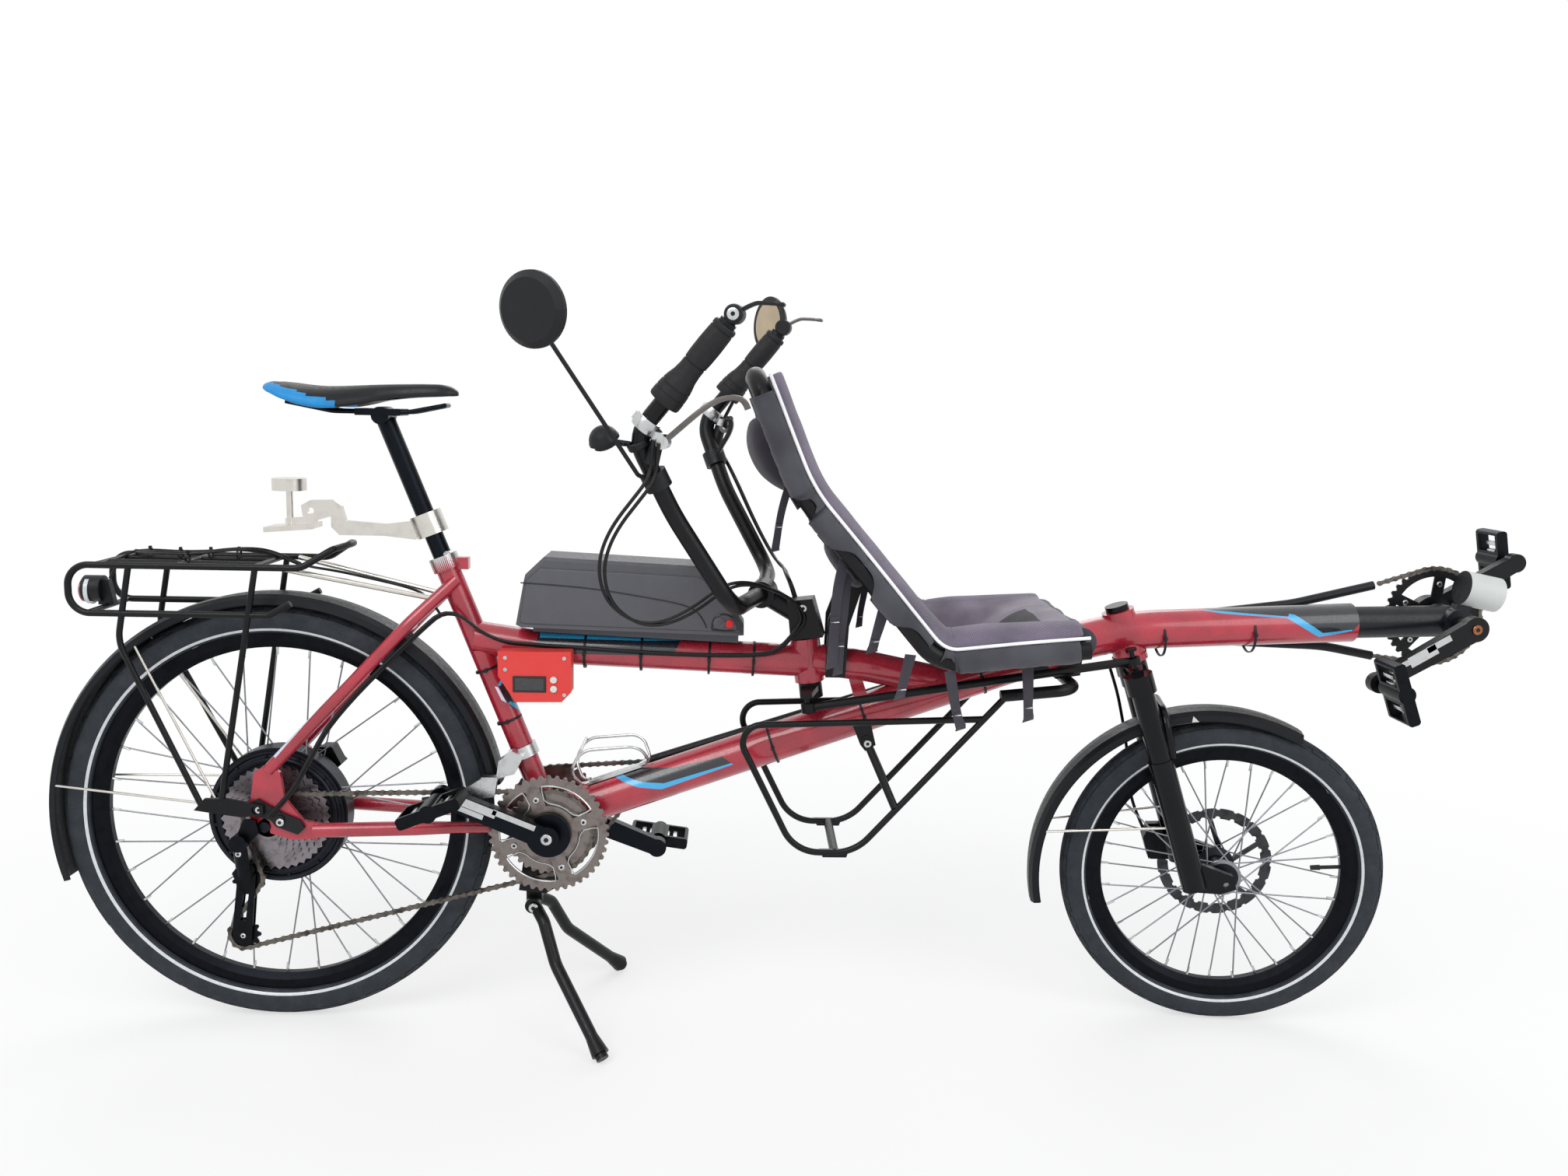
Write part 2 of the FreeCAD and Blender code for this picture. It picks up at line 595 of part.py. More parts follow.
def rear_triangle():
    """Chain stays, seat stays and dropout plates of the rear wheel."""
    spacing = dim("rear_axle_spacing") / 2
    t = dim("dropout_thickness")
    seat_tube_room = rod(up_seat_tube(0), up_seat_tube(dim("seat_tube_length")), dim("seat_tube_diameter"))
    crank_shell = Part.makeCylinder(dim("shell_radius"), 200, at(CRANK[0], -100, CRANK[1]), Vector(0, 1, 0))
    main_room = bent_tube([at(CRANK[0], 0, CRANK[1] + 12), at(BOOM_BEND[0], 0, BOOM_BEND[1]),
                           at(BOOM_END[0], 0, BOOM_END[1])], dim("boom_bend_radius"), dim("main_tube_diameter"))
    stays, seat_stays, plates = [], [], []
    for side in SIDES:
        y_end = side * (spacing + t / 2)
        plate_y = side * spacing if side > 0 else side * spacing - t
        outline = [
            (-14, 412), (4, 424), (24, 412), (30, 372), (56, 338), (78, 333), (78, 310), (40, 308), (8, 318),
            (-2, 332), (-20, 336), (-26, 352), (-20, 372),
        ]
        lug = plate(outline, t, plate_y)
        slot = plate([(-9, 318), (7, 318), (7, 336), (-1, 342), (-9, 336)], t + 2, plate_y - 1)
        lug = lug.cut(slot).cut(Part.makeCylinder(8 + GAP, t + 2, at(0, plate_y - 1, REAR_AXLE[1]), Vector(0, 1, 0)))
        plates.append(lug)
        thick, thin = dim("stay_diameter"), dim("stay_front_diameter")
        root, bend = at(70, y_end, 322), at(306, side * 39, 319)
        along = (bend - root).normalize()
        taper = Part.makeCone(thick / 2, thin / 2, 60, root + along * 150, along)
        front = bent_tube([root + along * 205, bend, at(372, side * 24, 316), at(402, side * 20, CRANK[1])], [60, 60], thin)
        stay = fused([rod(root, root + along * 150, thick), taper, front]).cut(crank_shell).cut(main_room)
        stays.append(largest(fused([largest(stay), lug])))
        seat_stay = seat_stay_bar(side, dim("seat_stay_diameter")).cut(seat_tube_room)
        seat_stays.append(largest(largest(seat_stay).cut(lug)))
    bridge_r = (dim("rear_wheel_radius") + dim("rear_guard_gap")) + dim("guard_thickness") + 1.5 + 7 + GAP
    bridge_at = polar(REAR_AXLE, bridge_r, 55.93)
    bridge = rod(bridge_at - Vector(0, 45, 0), bridge_at + Vector(0, 45, 0), 14)
    feature("chain_stays", Part.makeCompound(stays))
    feature("seat_stays", largest(fused(seat_stays + [bridge])))
    inserts = []
    for side in SIDES:
        outer = side * (spacing + t)
        y = outer + GAP if side > 0 else outer - GAP - 5
        shape = plate([(-22, 366), (-8, 372), (26, 352), (54, 340), (60, 328), (50, 318), (18, 330), (10, 340), (-12, 346)], 5, y)
        for x, z in ((-9, 357), (25, 342)):
            shape = shape.fuse(Part.makeCylinder(6, 8, at(x, y if side > 0 else y - 3, z), Vector(0, 1, 0)))
        inserts.append(shape.removeSplitter())
    feature("dropout_inserts", Part.makeCompound(inserts))


# stand

STAND_PIVOT = (dim("stand_x"), dim("stand_z"))


def stand():
    """Two-legged stand on its bracket under the rear crank shell."""
    px, pz = STAND_PIVOT
    d = dim("stand_tube_diameter")
    shell = Part.makeCylinder(dim("shell_radius") + GAP, 200, at(CRANK[0], -100, CRANK[1]), Vector(0, 1, 0))
    block = plate([(px + 8, pz + 112), (px + 48, pz + 112), (px + 44, pz + 34), (px + 20, pz + 19), (px - 22, pz + 24), (px - 12, pz + 90)],
                  40, -20)
    lug = plate([(px - 12, pz + 30), (px + 12, pz + 30), (px + 12, pz), (px - 12, pz)], 18, -9)
    lug = lug.fuse(Part.makeCylinder(12, 18, at(px, -9, pz), Vector(0, 1, 0)))
    bracket = fused([block, lug]).cut(shell).cut(Part.makeCylinder(6, 60, at(px, -30, pz), Vector(0, 1, 0)))
    feature("stand_bracket", largest(bracket))
    legs = []
    reach, spread = dim("stand_foot_reach"), dim("stand_foot_spread")
    for side in SIDES:
        foot = at(px + reach, side * spread, d * 0.35)
        bend = at(px + 42, side * 71, 112)
        root = at(px + 4, side * 20, pz - 2)
        leg = bent_tube([root, at(px + 20, side * 42, pz - 18), bend, foot], [24, 60], d)
        pad = Part.makeCone(d / 2, d / 2 + 4, 30, foot + (bend - foot).normalize() * 38, (foot - bend).normalize())
        floor_cut = Part.makeBox(400, 600, 100, at(px, -300, -100))
        legs.append(fused([leg, pad]).cut(floor_cut))
    pin = Part.makeCylinder(6 - GAP, 40, at(px, -20, pz), Vector(0, 1, 0))
    knuckles = []
    for side in SIDES:
        near = 9 + GAP
        knuckles.append(Part.makeCylinder(12, 16, at(px, near if side > 0 else -near - 16, pz), Vector(0, 1, 0)))
    feature("stand", fused([pin] + knuckles + legs))


# drive

def crank_arm(length, angle, side, centre, inner, thickness):
    """Tapered arm from a crank axis to its pedal."""
    a = math.radians(angle)
    along = Vector(math.cos(a), 0, math.sin(a))
    base = at(centre[0], 0, centre[1])
    y = side * inner if side > 0 else side * inner - thickness
    offset = Vector(0, y, 0)
    depth = Vector(0, 1, 0)
    root = Part.makeCylinder(19, thickness, base + offset, depth)
    tip = Part.makeCylinder(15, thickness, base + offset + along * length, depth)
    across = Vector(-along.z, 0, along.x)
    corners = [
        base + offset + across * 17, base + offset + along * length + across * 13,
        base + offset + along * length - across * 13, base + offset - across * 17,
    ]
    web = Part.Face(Part.makePolygon(corners + corners[:1])).extrude(depth * thickness)
    return fused([root, tip, web])


def rear_cranks():
    """Triple chainset and both rear arms."""
    inner, t = dim("arm_inner"), dim("arm_thickness")
    angle = dim("crank_park")
    length = dim("crank_length")
    arms = []
    for side, turn in ((-1, angle), (1, angle + 180)):
        arms.append(crank_arm(length, turn, side, CRANK, inner, t))
    spindle = Part.makeCylinder(12, 2 * inner, at(CRANK[0], -inner, CRANK[1]), Vector(0, 1, 0))
    line, gap = dim("chain_line"), dim("ring_spacing")
    spider = Part.makeCylinder(34, inner - line + 1, at(CRANK[0], -inner, CRANK[1]), Vector(0, 1, 0))
    feature("rear_cranks", fused(arms + [spindle, spider]))
    rings = []
    outer_y, middle_y, inner_y = -line - gap, -line, -line + gap
    outer_r = pitch_radius(dim("ring_teeth"))
    outer = sprocket(int(dim("ring_teeth")), 3, outer_y, outer_r - 15)
    arms4 = []
    for i in range(4):
        a = math.radians(90 * i + 20)
        start = Vector(30 * math.cos(a), outer_y - 1.5, 30 * math.sin(a))
        end = Vector((outer_r - 10) * math.cos(a), outer_y - 1.5, (outer_r - 10) * math.sin(a))
        across = (end - start).normalize().cross(Vector(0, 1, 0)) * 11
        corners = [start + across, end + across, end - across, start - across]
        arms4.append(Part.Face(Part.makePolygon(corners + corners[:1])).extrude(Vector(0, 3, 0)))
    rings.append(fused([outer] + arms4))
    rings.append(sprocket(int(dim("middle_ring_teeth")), 2.4, middle_y, 38))
    rings.append(sprocket(int(dim("inner_ring_teeth")), 2.4, inner_y, 30))
    carrier = Part.makeCylinder(44, 2 * gap + 2.6, Vector(0, outer_y - 1.3, 0), Vector(0, 1, 0))
    rings.append(carrier)
    stack = moved(fused(rings), *CRANK)
    room = Part.makeCylinder(34 + GAP, 200, at(CRANK[0], -200 - line + 1.5, CRANK[1]), Vector(0, 1, 0))
    tube_room = Part.makeCylinder(12 + GAP, 200, at(CRANK[0], -100, CRANK[1]), Vector(0, 1, 0))
    shell_room = Part.makeCylinder(26, 200, at(CRANK[0], -dim("shell_width") / 2 - 4, CRANK[1]), Vector(0, 1, 0))
    near_rings = stack.cut(room).cut(tube_room).cut(shell_room)
    far_y = dim("front_chain_line")
    teeth = int(dim("timing_ring_teeth"))
    ring = sprocket(teeth, 3, far_y, pitch_radius(teeth) - 20)
    web = Part.makeCylinder(pitch_radius(teeth) - 18, 3, Vector(0, far_y - 1.5, 0), Vector(0, 1, 0))
    boss = Part.makeCylinder(30, inner - far_y + 1.5 - GAP, Vector(0, far_y - 1.5, 0), Vector(0, 1, 0))
    far_ring = moved(fused([ring, web, boss]), *CRANK).cut(tube_room)
    feature("rear_chainrings", Part.makeCompound([near_rings, far_ring]))


def front_cranks():
    """Front chainring on the far side and both front arms."""
    inner, t = dim("arm_inner"), dim("arm_thickness")
    angle = dim("front_crank_park")
    length = dim("front_crank_length")
    arms = [crank_arm(length, angle, -1, BOOM_CRANK, inner, t), crank_arm(length, angle + 180, 1, BOOM_CRANK, inner, t)]
    spindle = Part.makeCylinder(12, 2 * inner, at(BOOM_CRANK[0], -inner, BOOM_CRANK[1]), Vector(0, 1, 0))
    feature("front_cranks", fused(arms + [spindle]))
    y = dim("front_chain_line")
    teeth = int(dim("front_ring_teeth"))
    radius = pitch_radius(teeth)
    ring = sprocket(teeth, 3, y, radius - 13)
    arms5 = []
    for i in range(5):
        a = math.radians(72 * i + 12)
        start = Vector(26 * math.cos(a), y - 1.5, 26 * math.sin(a))
        end = Vector((radius - 9) * math.cos(a), y - 1.5, (radius - 9) * math.sin(a))
        across = (end - start).normalize().cross(Vector(0, 1, 0)) * 9
        corners = [start + across, end + across, end - across, start - across]
        arms5.append(Part.Face(Part.makePolygon(corners + corners[:1])).extrude(Vector(0, 3, 0)))
    boss = Part.makeCylinder(32, inner - y + 1.5 - GAP, Vector(0, y - 1.5, 0), Vector(0, 1, 0))
    whole = moved(fused([ring, boss] + arms5), *BOOM_CRANK)
    feature("front_chainring", whole.cut(Part.makeCylinder(12 + GAP, 200, at(BOOM_CRANK[0], -100, BOOM_CRANK[1]), Vector(0, 1, 0))))


PEDALS = (
    # label, crank centre, arm length alias, arm angle, side, platform tilt in degrees
    ("rear_right_pedal", CRANK, "crank_length", dim("crank_park"), -1, 21),
    ("rear_left_pedal", CRANK, "crank_length", dim("crank_park") + 180, 1, -8),
    ("front_right_pedal", BOOM_CRANK, "front_crank_length", dim("front_crank_park"), -1, -70),
    ("front_left_pedal", BOOM_CRANK, "front_crank_length", dim("front_crank_park") + 180, 1, 100),
)


def pedal(label, centre, length_alias, angle, side, tilt):
    """Cage pedal about its axle: two side plates, end plates and a barrel."""
    inner = dim("pedal_inner")
    arm_out = dim("arm_inner") + dim("arm_thickness")
    long, wide, high = dim("pedal_length"), dim("pedal_width"), dim("pedal_height")
    axle_d = dim("pedal_axle_diameter")
    stub = Part.makeCylinder(axle_d / 2, inner - arm_out - GAP + 4, Vector(0, arm_out + GAP, 0), Vector(0, 1, 0))
    barrel = Part.makeCylinder(13, wide, Vector(0, inner, 0), Vector(0, 1, 0))
    outer = Part.makeBox(long, wide, high, Vector(-long / 2, inner, -high / 2))
    outer = outer.makeFillet(high * 0.3, [e for e in outer.Edges if abs(e.BoundBox.YLength - wide) < 1e-6])
    windows = []
    for sign in SIDES:
        x = 14 if sign > 0 else -long / 2 + 6
        windows.append(Part.makeBox(long / 2 - 20, wide - 12, high + 2, Vector(x, inner + 6, -high / 2 - 1)))
    body = fused([outer.cut(Part.makeCompound(windows)), barrel, stub])
    if side < 0:
        body = body.mirror(Vector(), Vector(0, 1, 0))
    body.rotate(Vector(), Vector(0, 1, 0), -tilt)
    a = math.radians(angle)
    body.translate(at(centre[0] + dim(length_alias) * math.cos(a), 0, centre[1] + dim(length_alias) * math.sin(a)))
    feature(label, body)


# fork

def leg(side):
    """One fork leg with its dropout, in the unsteered pose."""
    spread = side * dim("leg_spread")
    drop = -dim("fork_length")
    upper = rod(front_local(0, spread, -22), front_local(0, spread, -170), dim("stanchion_diameter"))
    lower = rod(front_local(0, spread, -148), front_local(0, spread, drop + 8), dim("leg_diameter"))
    inner = side * (dim("front_axle_spacing") / 2)
    y = inner if side > 0 else inner - 12
    tab = Part.Face(Part.makePolygon([front_local(*p) for p in (
        (-10, y, drop + 60), (20, y, drop + 42), (dim("fork_offset") + 13, y, drop + 12), (dim("fork_offset") + 13, y, drop - 10),
        (dim("fork_offset") - 12, y, drop - 12), (-12, y, drop + 4), (-10, y, drop + 60))])).extrude(Vector(0, 12, 0))
    slot = rod(front_local(dim("fork_offset"), inner - 30, drop), front_local(dim("fork_offset"), inner + 30, drop), 9 + 2 * GAP)
    return upper, fused([lower, tab]).cut(slot)


def fork():
    """Suspension fork: crown with steering arm above, cast lower legs with their arch."""
    spread = dim("leg_spread")
    height = dim("crown_height")
    steerer = rod(front_local(0, 0, -12), front_local(0, 0, dim("front_head_length") + 6), dim("steerer_diameter"))
    cap = rod(front_local(0, 0, dim("front_head_length") + 1), front_local(0, 0, dim("front_head_length") + 9), 36)
    parts = [steerer, cap, rod(front_local(0, 0, -1), front_local(0, 0, -8 - height), 46)]
    for side in SIDES:
        parts.append(rod(front_local(0, side * spread, -8), front_local(0, side * spread, -8 - height), 44))
    bar = Part.Face(Part.makePolygon([front_local(*p) for p in (
        (-17, -spread, -8), (17, -spread, -8), (17, spread, -8), (-17, spread, -8), (-17, -spread, -8))]))
    parts.append(bar.extrude(FRONT_UP * -height))
    reach = dim("steer_arm")
    arm = Part.Face(Part.makePolygon([front_local(*p) for p in (
        (-16, 0, -9), (16, 0, -9), (9, -reach - 9, -9), (-9, -reach - 9, -9), (-16, 0, -9))])).extrude(FRONT_UP * 7)
    stud = rod(front_local(0, -reach, -3), front_local(0, -reach, 32), dim("stud_diameter"))
    head = rod(front_local(0, -reach, 28), front_local(0, -reach, 32), 18)
    uppers, lowers = zip(*(leg(side) for side in SIDES))
    top = fused(parts + [arm, stud, head] + list(uppers))
    lower_legs = [low.cut(top) for low in lowers]
    arch_points = [front_local(18, -spread + 2, -150), front_local(24, -spread + 8, -80), front_local(24, spread - 8, -80),
                   front_local(18, spread - 2, -150)]
    arch = bent_tube(arch_points, 30, 15)
    feature("fork_upper", top, FRONT_STEER)
    feature("fork_lowers", largest(fused(lower_legs + [arch]).cut(top)), FRONT_STEER)


def guard(centre, radius, start, end, half, name, placement=None, extra=()):
    """Rolled mudguard of curved section from one angle to another."""
    t = dim("guard_thickness")
    step = math.radians(start)
    section = [(radius - 14, -half - 2), (radius - 5, -half), (radius, -half + 9), (radius + 1.5, 0), (radius, half - 9),
               (radius - 5, half), (radius - 14, half + 2)]
    outer = [(r + t, y * (1 + t / half)) for r, y in section]
    loop = section + outer[::-1]
    points = [at(centre[0] + r * math.cos(step), y, centre[1] + r * math.sin(step)) for r, y in loop]
    face = Part.Face(Part.makePolygon(points + points[:1]))
    shell = face.revolve(at(centre[0], 0, centre[1]), Vector(0, -1, 0), end - start)
    feature(name, fused([shell] + list(extra)), placement)


# handlebar

BAR_POINTS = ((740, 0, 683), (724, 184, 688), (643, 216, 823), (597, 250, 930), (724, 258, 1084))
BAR_RADII = (48, 300, 46)


def bar_halves(diameter):
    """Both halves of the bar's path as one round bar."""
    halves = []
    for side in SIDES:
        points = [at(x, side * y, z) for x, y, z in BAR_POINTS]
        halves.append(bent_tube(points, list(BAR_RADII), diameter))
    return fused(halves)


def handlebar():
    """Stem on the rear head tube, U-shaped bar, grips and controls, built straight ahead and turned as parked."""
    length = dim("rear_head_length")
    steerer = rod(rear_local(0, 0, -26), rear_local(0, 0, length + 58), dim("steerer_diameter"))
    block = Part.Face(Part.makePolygon([rear_local(*p) for p in (
        (-20, -19, length + 1), (30, -19, length + 1), (21, -19, length + 62), (-18, -19, length + 62),
        (-20, -19, length + 1))])).extrude(Vector(0, 38, 0))
    bar_d = dim("bar_diameter")
    centre = at(*[BAR_POINTS[0][i] for i in (0, 1, 2)])
    stem = rod(rear_local(0, 0, length + 34), centre, 32)
    clamp = Part.makeCylinder(bar_d / 2 + 8, 46, centre - Vector(0, 23, 0), Vector(0, 1, 0))
    reach = dim("steer_arm")
    arm = Part.Face(Part.makePolygon([rear_local(*p) for p in (
        (-15, 0, -14), (15, 0, -14), (9, -reach - 9, -14), (-9, -reach - 9, -14), (-15, 0, -14))])).extrude(REAR_UP * 8)
    hub = rod(rear_local(0, 0, -26), rear_local(0, 0, -2), 36)
    stud = rod(rear_local(0, -reach, -8), rear_local(0, -reach, -40), dim("stud_diameter"))
    bar = bar_halves(bar_d)
    bar_room = bar_halves(bar_d + 2 * GAP)
    feature("stem", fused([steerer, block, stem, clamp, arm, hub, stud]).cut(bar_room), REAR_STEER)
    grips, controls = [], []
    for side in SIDES:
        low, high = [at(x, side * y, z) for x, y, z in BAR_POINTS[3:]]
        along = (high - low).normalize()
        grip_start = low + along * 62
        outer = rod(grip_start, high - along * 6, dim("grip_diameter"))
        flare = Part.makeCone(dim("grip_diameter") / 2 + 5, dim("grip_diameter") / 2, 26, grip_start, along)
        grips.append(fused([outer, flare]).cut(rod(low, high + along * 20, bar_d + 2 * GAP)))
    feature("handlebar", bar, REAR_STEER)
    feature("grips", Part.makeCompound(grips), REAR_STEER)
    for side in SIDES:
        low, high = [at(x, side * y, z) for x, y, z in BAR_POINTS[3:]]
        along = (high - low).normalize()
        ahead = Vector(along.z, 0, -along.x).normalize()
        body = rod(low + along * 24 + ahead * 22, low - along * 14 + ahead * 40, 22)
        ring = rod(low + along * 14, low + along * 34, bar_d + 14).cut(rod(low, low + along * 60, bar_d + 2 * GAP))
        neck = rod(low + along * 24 + ahead * (bar_d / 2 + 4), low + along * 24 + ahead * 26, 14)
        blade_path = [low + along * 10 + ahead * 34, low + along * 20 + ahead * 62, low + along * 96 + ahead * 58]
        blade = bent_tube(blade_path, 16, 9)
        controls.append(fused([body, ring, neck, blade]))
        pod = rod(high + Vector(0, -17, 0) + along * 12, high + Vector(0, 17, 0) + along * 12, 26)
        plug = rod(high + along * GAP, high + along * 12, bar_d - 3)
        lever = bent_tube([high + along * 12, high + along * 12 + Vector(30, 0, 14), high + along * 12 + Vector(66, 0, 12)], 20, 7)
        controls.append(fused([pod, plug, lever]))
    controls.append(bell())
    feature("bar_controls", Part.makeCompound([largest(c.cut(bar_room)) for c in controls]), REAR_STEER)


def bell():
    """Domed bell on a band below the near grip."""
    bar_d = dim("bar_diameter")
    bend, before = (at(x, -y, z) for x, y, z in (BAR_POINTS[3], BAR_POINTS[2]))
    down = (before - bend).normalize()
    band = rod(bend + down * 6, bend + down * 16, bar_d + 10).cut(rod(bend - down * 10, bend + down * 40, bar_d + 2 * GAP))
    spot = bend + down * 11
    base = spot + Vector(-46, -4, 4)
    arm = rod(spot + Vector(-bar_d / 2 - 2, 0, 0), base, 7)
    dome = Part.makeSphere(21, base, Vector(-0.3, -0.35, 0.9).normalize(), 0, 90, 360)
    return fused([band, arm, dome])


def mirrors():
    """Two round mirrors on wire stalks, with their bar clamps."""
    radius = dim("mirror_radius")
    bar_d = dim("bar_diameter")
    spec = ((-1, (499, 1090, 386), Vector(0.28, 0.94, 0.1)), (1, (700, 1100, 328), Vector(-0.75, -0.62, 0.05)))
    solids = []
    for side, (x, z, y), facing in spec:
        bend, _ = [at(px, side * py, pz) for px, py, pz in BAR_POINTS[3:]]
        before = at(BAR_POINTS[2][0], side * BAR_POINTS[2][1], BAR_POINTS[2][2])
        down = (before - bend).normalize()
        spot = bend + down * 72
        clamp = rod(spot - down * 18, spot + down * 6, bar_d + 12).cut(rod(spot - down * 40, spot + down * 40, bar_d + 2 * GAP))
        centre = at(x, side * y, z)
        normal = facing.normalize()
        head = Part.makeCone(radius * 0.82, radius, 9, centre - normal * 9, normal).fuse(
            Part.makeCylinder(radius, 5, centre, normal))
        outward = Vector(-0.5, side * 0.6, 0.3).normalize() * (bar_d / 2 + 4)
        stalk_start = spot + outward
        stalk = bent_tube([stalk_start, stalk_start + outward * 1.2, centre - normal * 5], 10, 6)
        solids.append(largest(fused([clamp, stalk, head]).cut(bar_halves(bar_d + 2 * GAP))))
    feature("mirrors", Part.makeCompound(solids), REAR_STEER)


def tie_rod():
    """Rod from the stem's arm to the fork's arm, with an eye at each end."""
    reach = dim("steer_arm")
    rear = REAR_STEER.multVec(rear_local(0, -reach, -30))
    front = FRONT_STEER.multVec(front_local(0, -reach, 12))
    d = dim("tie_rod_diameter")
    along = (front - rear).normalize()
    stud = dim("stud_diameter")
    rear_up = REAR_STEER.Rotation.multVec(REAR_UP)
    front_up = FRONT_STEER.Rotation.multVec(FRONT_UP)
    rear_eye = rod(rear - rear_up * 7, rear + rear_up * 7, stud + 14).cut(rod(rear - rear_up * 20, rear + rear_up * 20, stud + 2 * GAP))
    front_eye = rod(front - front_up * 5, front + front_up * 5, stud + 2 * dim("eye_play") + 8)
    front_eye = front_eye.cut(rod(front - front_up * 20, front + front_up * 20, stud + 2 * dim("eye_play")))
    shank = rod(rear + along * (stud / 2 + 4), front - along * (stud / 2 + dim("eye_play") + 2), d)
    feature("tie_rod", fused([shank, rear_eye, front_eye]))
    return rear, front


# chain runs

def belt_edges(circles, offset, closed):
    """Edges of a line drawn round circles (x, z, radius, sense), offset outwards.

    sense is 1 where the run passes anticlockwise, -1 where it passes clockwise.
    """
    rounds = [(x, z, r + s * offset, s) for x, z, r, s in circles]
    count = len(rounds)
    legs = []
    for i in range(count if closed else count - 1):
        x1, z1, r1, s1 = rounds[i]
        x2, z2, r2, s2 = rounds[(i + 1) % count]
        dx, dz = x2 - x1, z2 - z1
        length = math.hypot(dx, dz)
        heading = math.atan2(dz, dx) - math.asin((s2 * r2 - s1 * r1) / length)
        nx, nz = -math.sin(heading), math.cos(heading)
        legs.append(((x1 - s1 * r1 * nx, z1 - s1 * r1 * nz), (x2 - s2 * r2 * nx, z2 - s2 * r2 * nz), heading))
    edges = []
    for i, (start, end, heading) in enumerate(legs):
        edges.append(Part.LineSegment(at(start[0], 0, start[1]), at(end[0], 0, end[1])).toShape())
        if not closed and i == len(legs) - 1:
            break
        after = legs[(i + 1) % len(legs)]
        cx, cz, r, s = rounds[(i + 1) % count]
        a_in = math.atan2(end[1] - cz, end[0] - cx)
        a_out = math.atan2(after[0][1] - cz, after[0][0] - cx)
        turn = (a_out - a_in) % (2 * math.pi) if s > 0 else -((a_in - a_out) % (2 * math.pi))
        mid = a_in + turn / 2
        middle = at(cx + r * math.cos(mid), 0, cz + r * math.sin(mid))
        edges.append(Part.Arc(at(end[0], 0, end[1]), middle, at(after[0][0], 0, after[0][1])).toShape())
    return edges, legs


def chain(circles, y, closed=True):
    """Chain as two rows of side plates, joined by rollers along its free runs."""
    half_high, inner, outer = 4.0, 1.7, 2.8
    if closed:
        outer_face, inner_face = (Part.Face(Part.Wire(belt_edges(circles, side * half_high, True)[0])) for side in (1, -1))
        face = outer_face.cut(inner_face).Faces[0]
    else:
        out_edges, _ = belt_edges(circles, half_high, False)
        in_edges, _ = belt_edges(circles, -half_high, False)
        ends = []
        for pick in (0, -1):
            a = out_edges[pick].Vertexes[0 if pick == 0 else -1].Point
            b = in_edges[pick].Vertexes[0 if pick == 0 else -1].Point
            ends.append(Part.LineSegment(a, b).toShape())
        face = Part.Face(Part.Wire(Part.__sortEdges__(out_edges + in_edges + ends)))
    face.translate(Vector(0, y, 0))
    rows = []
    for side in SIDES:
        row = face.extrude(Vector(0, side * (outer - inner), 0))
        row.translate(Vector(0, side * inner, 0))
        rows.append(row)
    _, legs = belt_edges(circles, 0, closed)
    pitch = dim("chain_pitch")
    rollers = []
    lead = dim("roller_lead")
    for start, end, heading in legs:
        length = math.hypot(end[0] - start[0], end[1] - start[1])
        for i in range(int((length - 2 * lead) // pitch) + 1):
            x = start[0] + math.cos(heading) * (lead + pitch * i)
            z = start[1] + math.sin(heading) * (lead + pitch * i)
            block = Part.makeBox(5, 2 * inner, 5, Vector(-2.5, -inner, -2.5))
            block.rotate(Vector(), Vector(0, 1, 0), -math.degrees(heading))
            block.translate(at(x, y, z))
            rollers.append(block)
    return rows[0].multiFuse([rows[1]] + rollers)


GUIDE_PULLEY = (-38, 238)
TENSION_PULLEY = (-46, 148)
PULLEY_TEETH = 11
PARK_SPROCKET_TEETH = 21


def rear_drive():
    """Rear chain and the derailleur that tensions it."""
    y = -dim("chain_line")
    pulley_r = pitch_radius(PULLEY_TEETH)
    circles = [
        (*CRANK, pitch_radius(dim("middle_ring_teeth")), 1),
        (*REAR_AXLE, pitch_radius(PARK_SPROCKET_TEETH), 1),
        (*GUIDE_PULLEY, pulley_r, -1),
        (*TENSION_PULLEY, pulley_r, 1),
    ]
    feature("rear_chain", chain(circles, y))
    pieces = []
    for x, z in (GUIDE_PULLEY, TENSION_PULLEY):
        wheel = sprocket(PULLEY_TEETH, 2.4, y, 3)
        pieces.append(moved(wheel, x, z))
        pieces.append(Part.makeCylinder(4, 14, at(x, y - 7, z), Vector(0, 1, 0)))
    for side in SIDES:
        outer_y = y + side * 4.6
        outline = [(-54, 252), (-38, 258), (-24, 246), (-26, 226), (-32, 160), (-34, 138), (-46, 130), (-60, 140), (-62, 160),
                   (-54, 226)]
        cage = plate(outline, 1.8, outer_y if side > 0 else outer_y - 1.8)
        window = plate([(-44, 214), (-36, 214), (-42, 172), (-50, 172)], 4, outer_y - 2)
        pieces.append(cage.cut(window))
    knuckle = Part.makeCylinder(13, 20, at(-38, y - 26, 252), Vector(0, 1, 0))
    link = rod(at(-38, y - 18, 252), at(-36, -84, 306), 20)
    upper = Part.makeCylinder(13, 22, at(-34, -98, 308), Vector(0, 1, 0))
    hanger = plate([(-46, 300), (-26, 298), (-6, 322), (-10, 342), (-28, 342)], 5.9, -87)
    feature("rear_derailleur", fused(pieces + [knuckle, link, upper, hanger]))


FRONT_TUBE_Y = dim("front_chain_line")
UPPER_TUBE = ((BOOM_CRANK[0] - 101, 706), (BOOM_CRANK[0] - 231, 674), (BOOM_BEND[0] + 46, 641), (1010, 551), (560, 402))
LOWER_TUBE = ((BOOM_CRANK[0] - 95, 592), (BOOM_CRANK[0] - 177, 607), (BOOM_BEND[0] + 46, 617), (1010, 527), (560, 372))


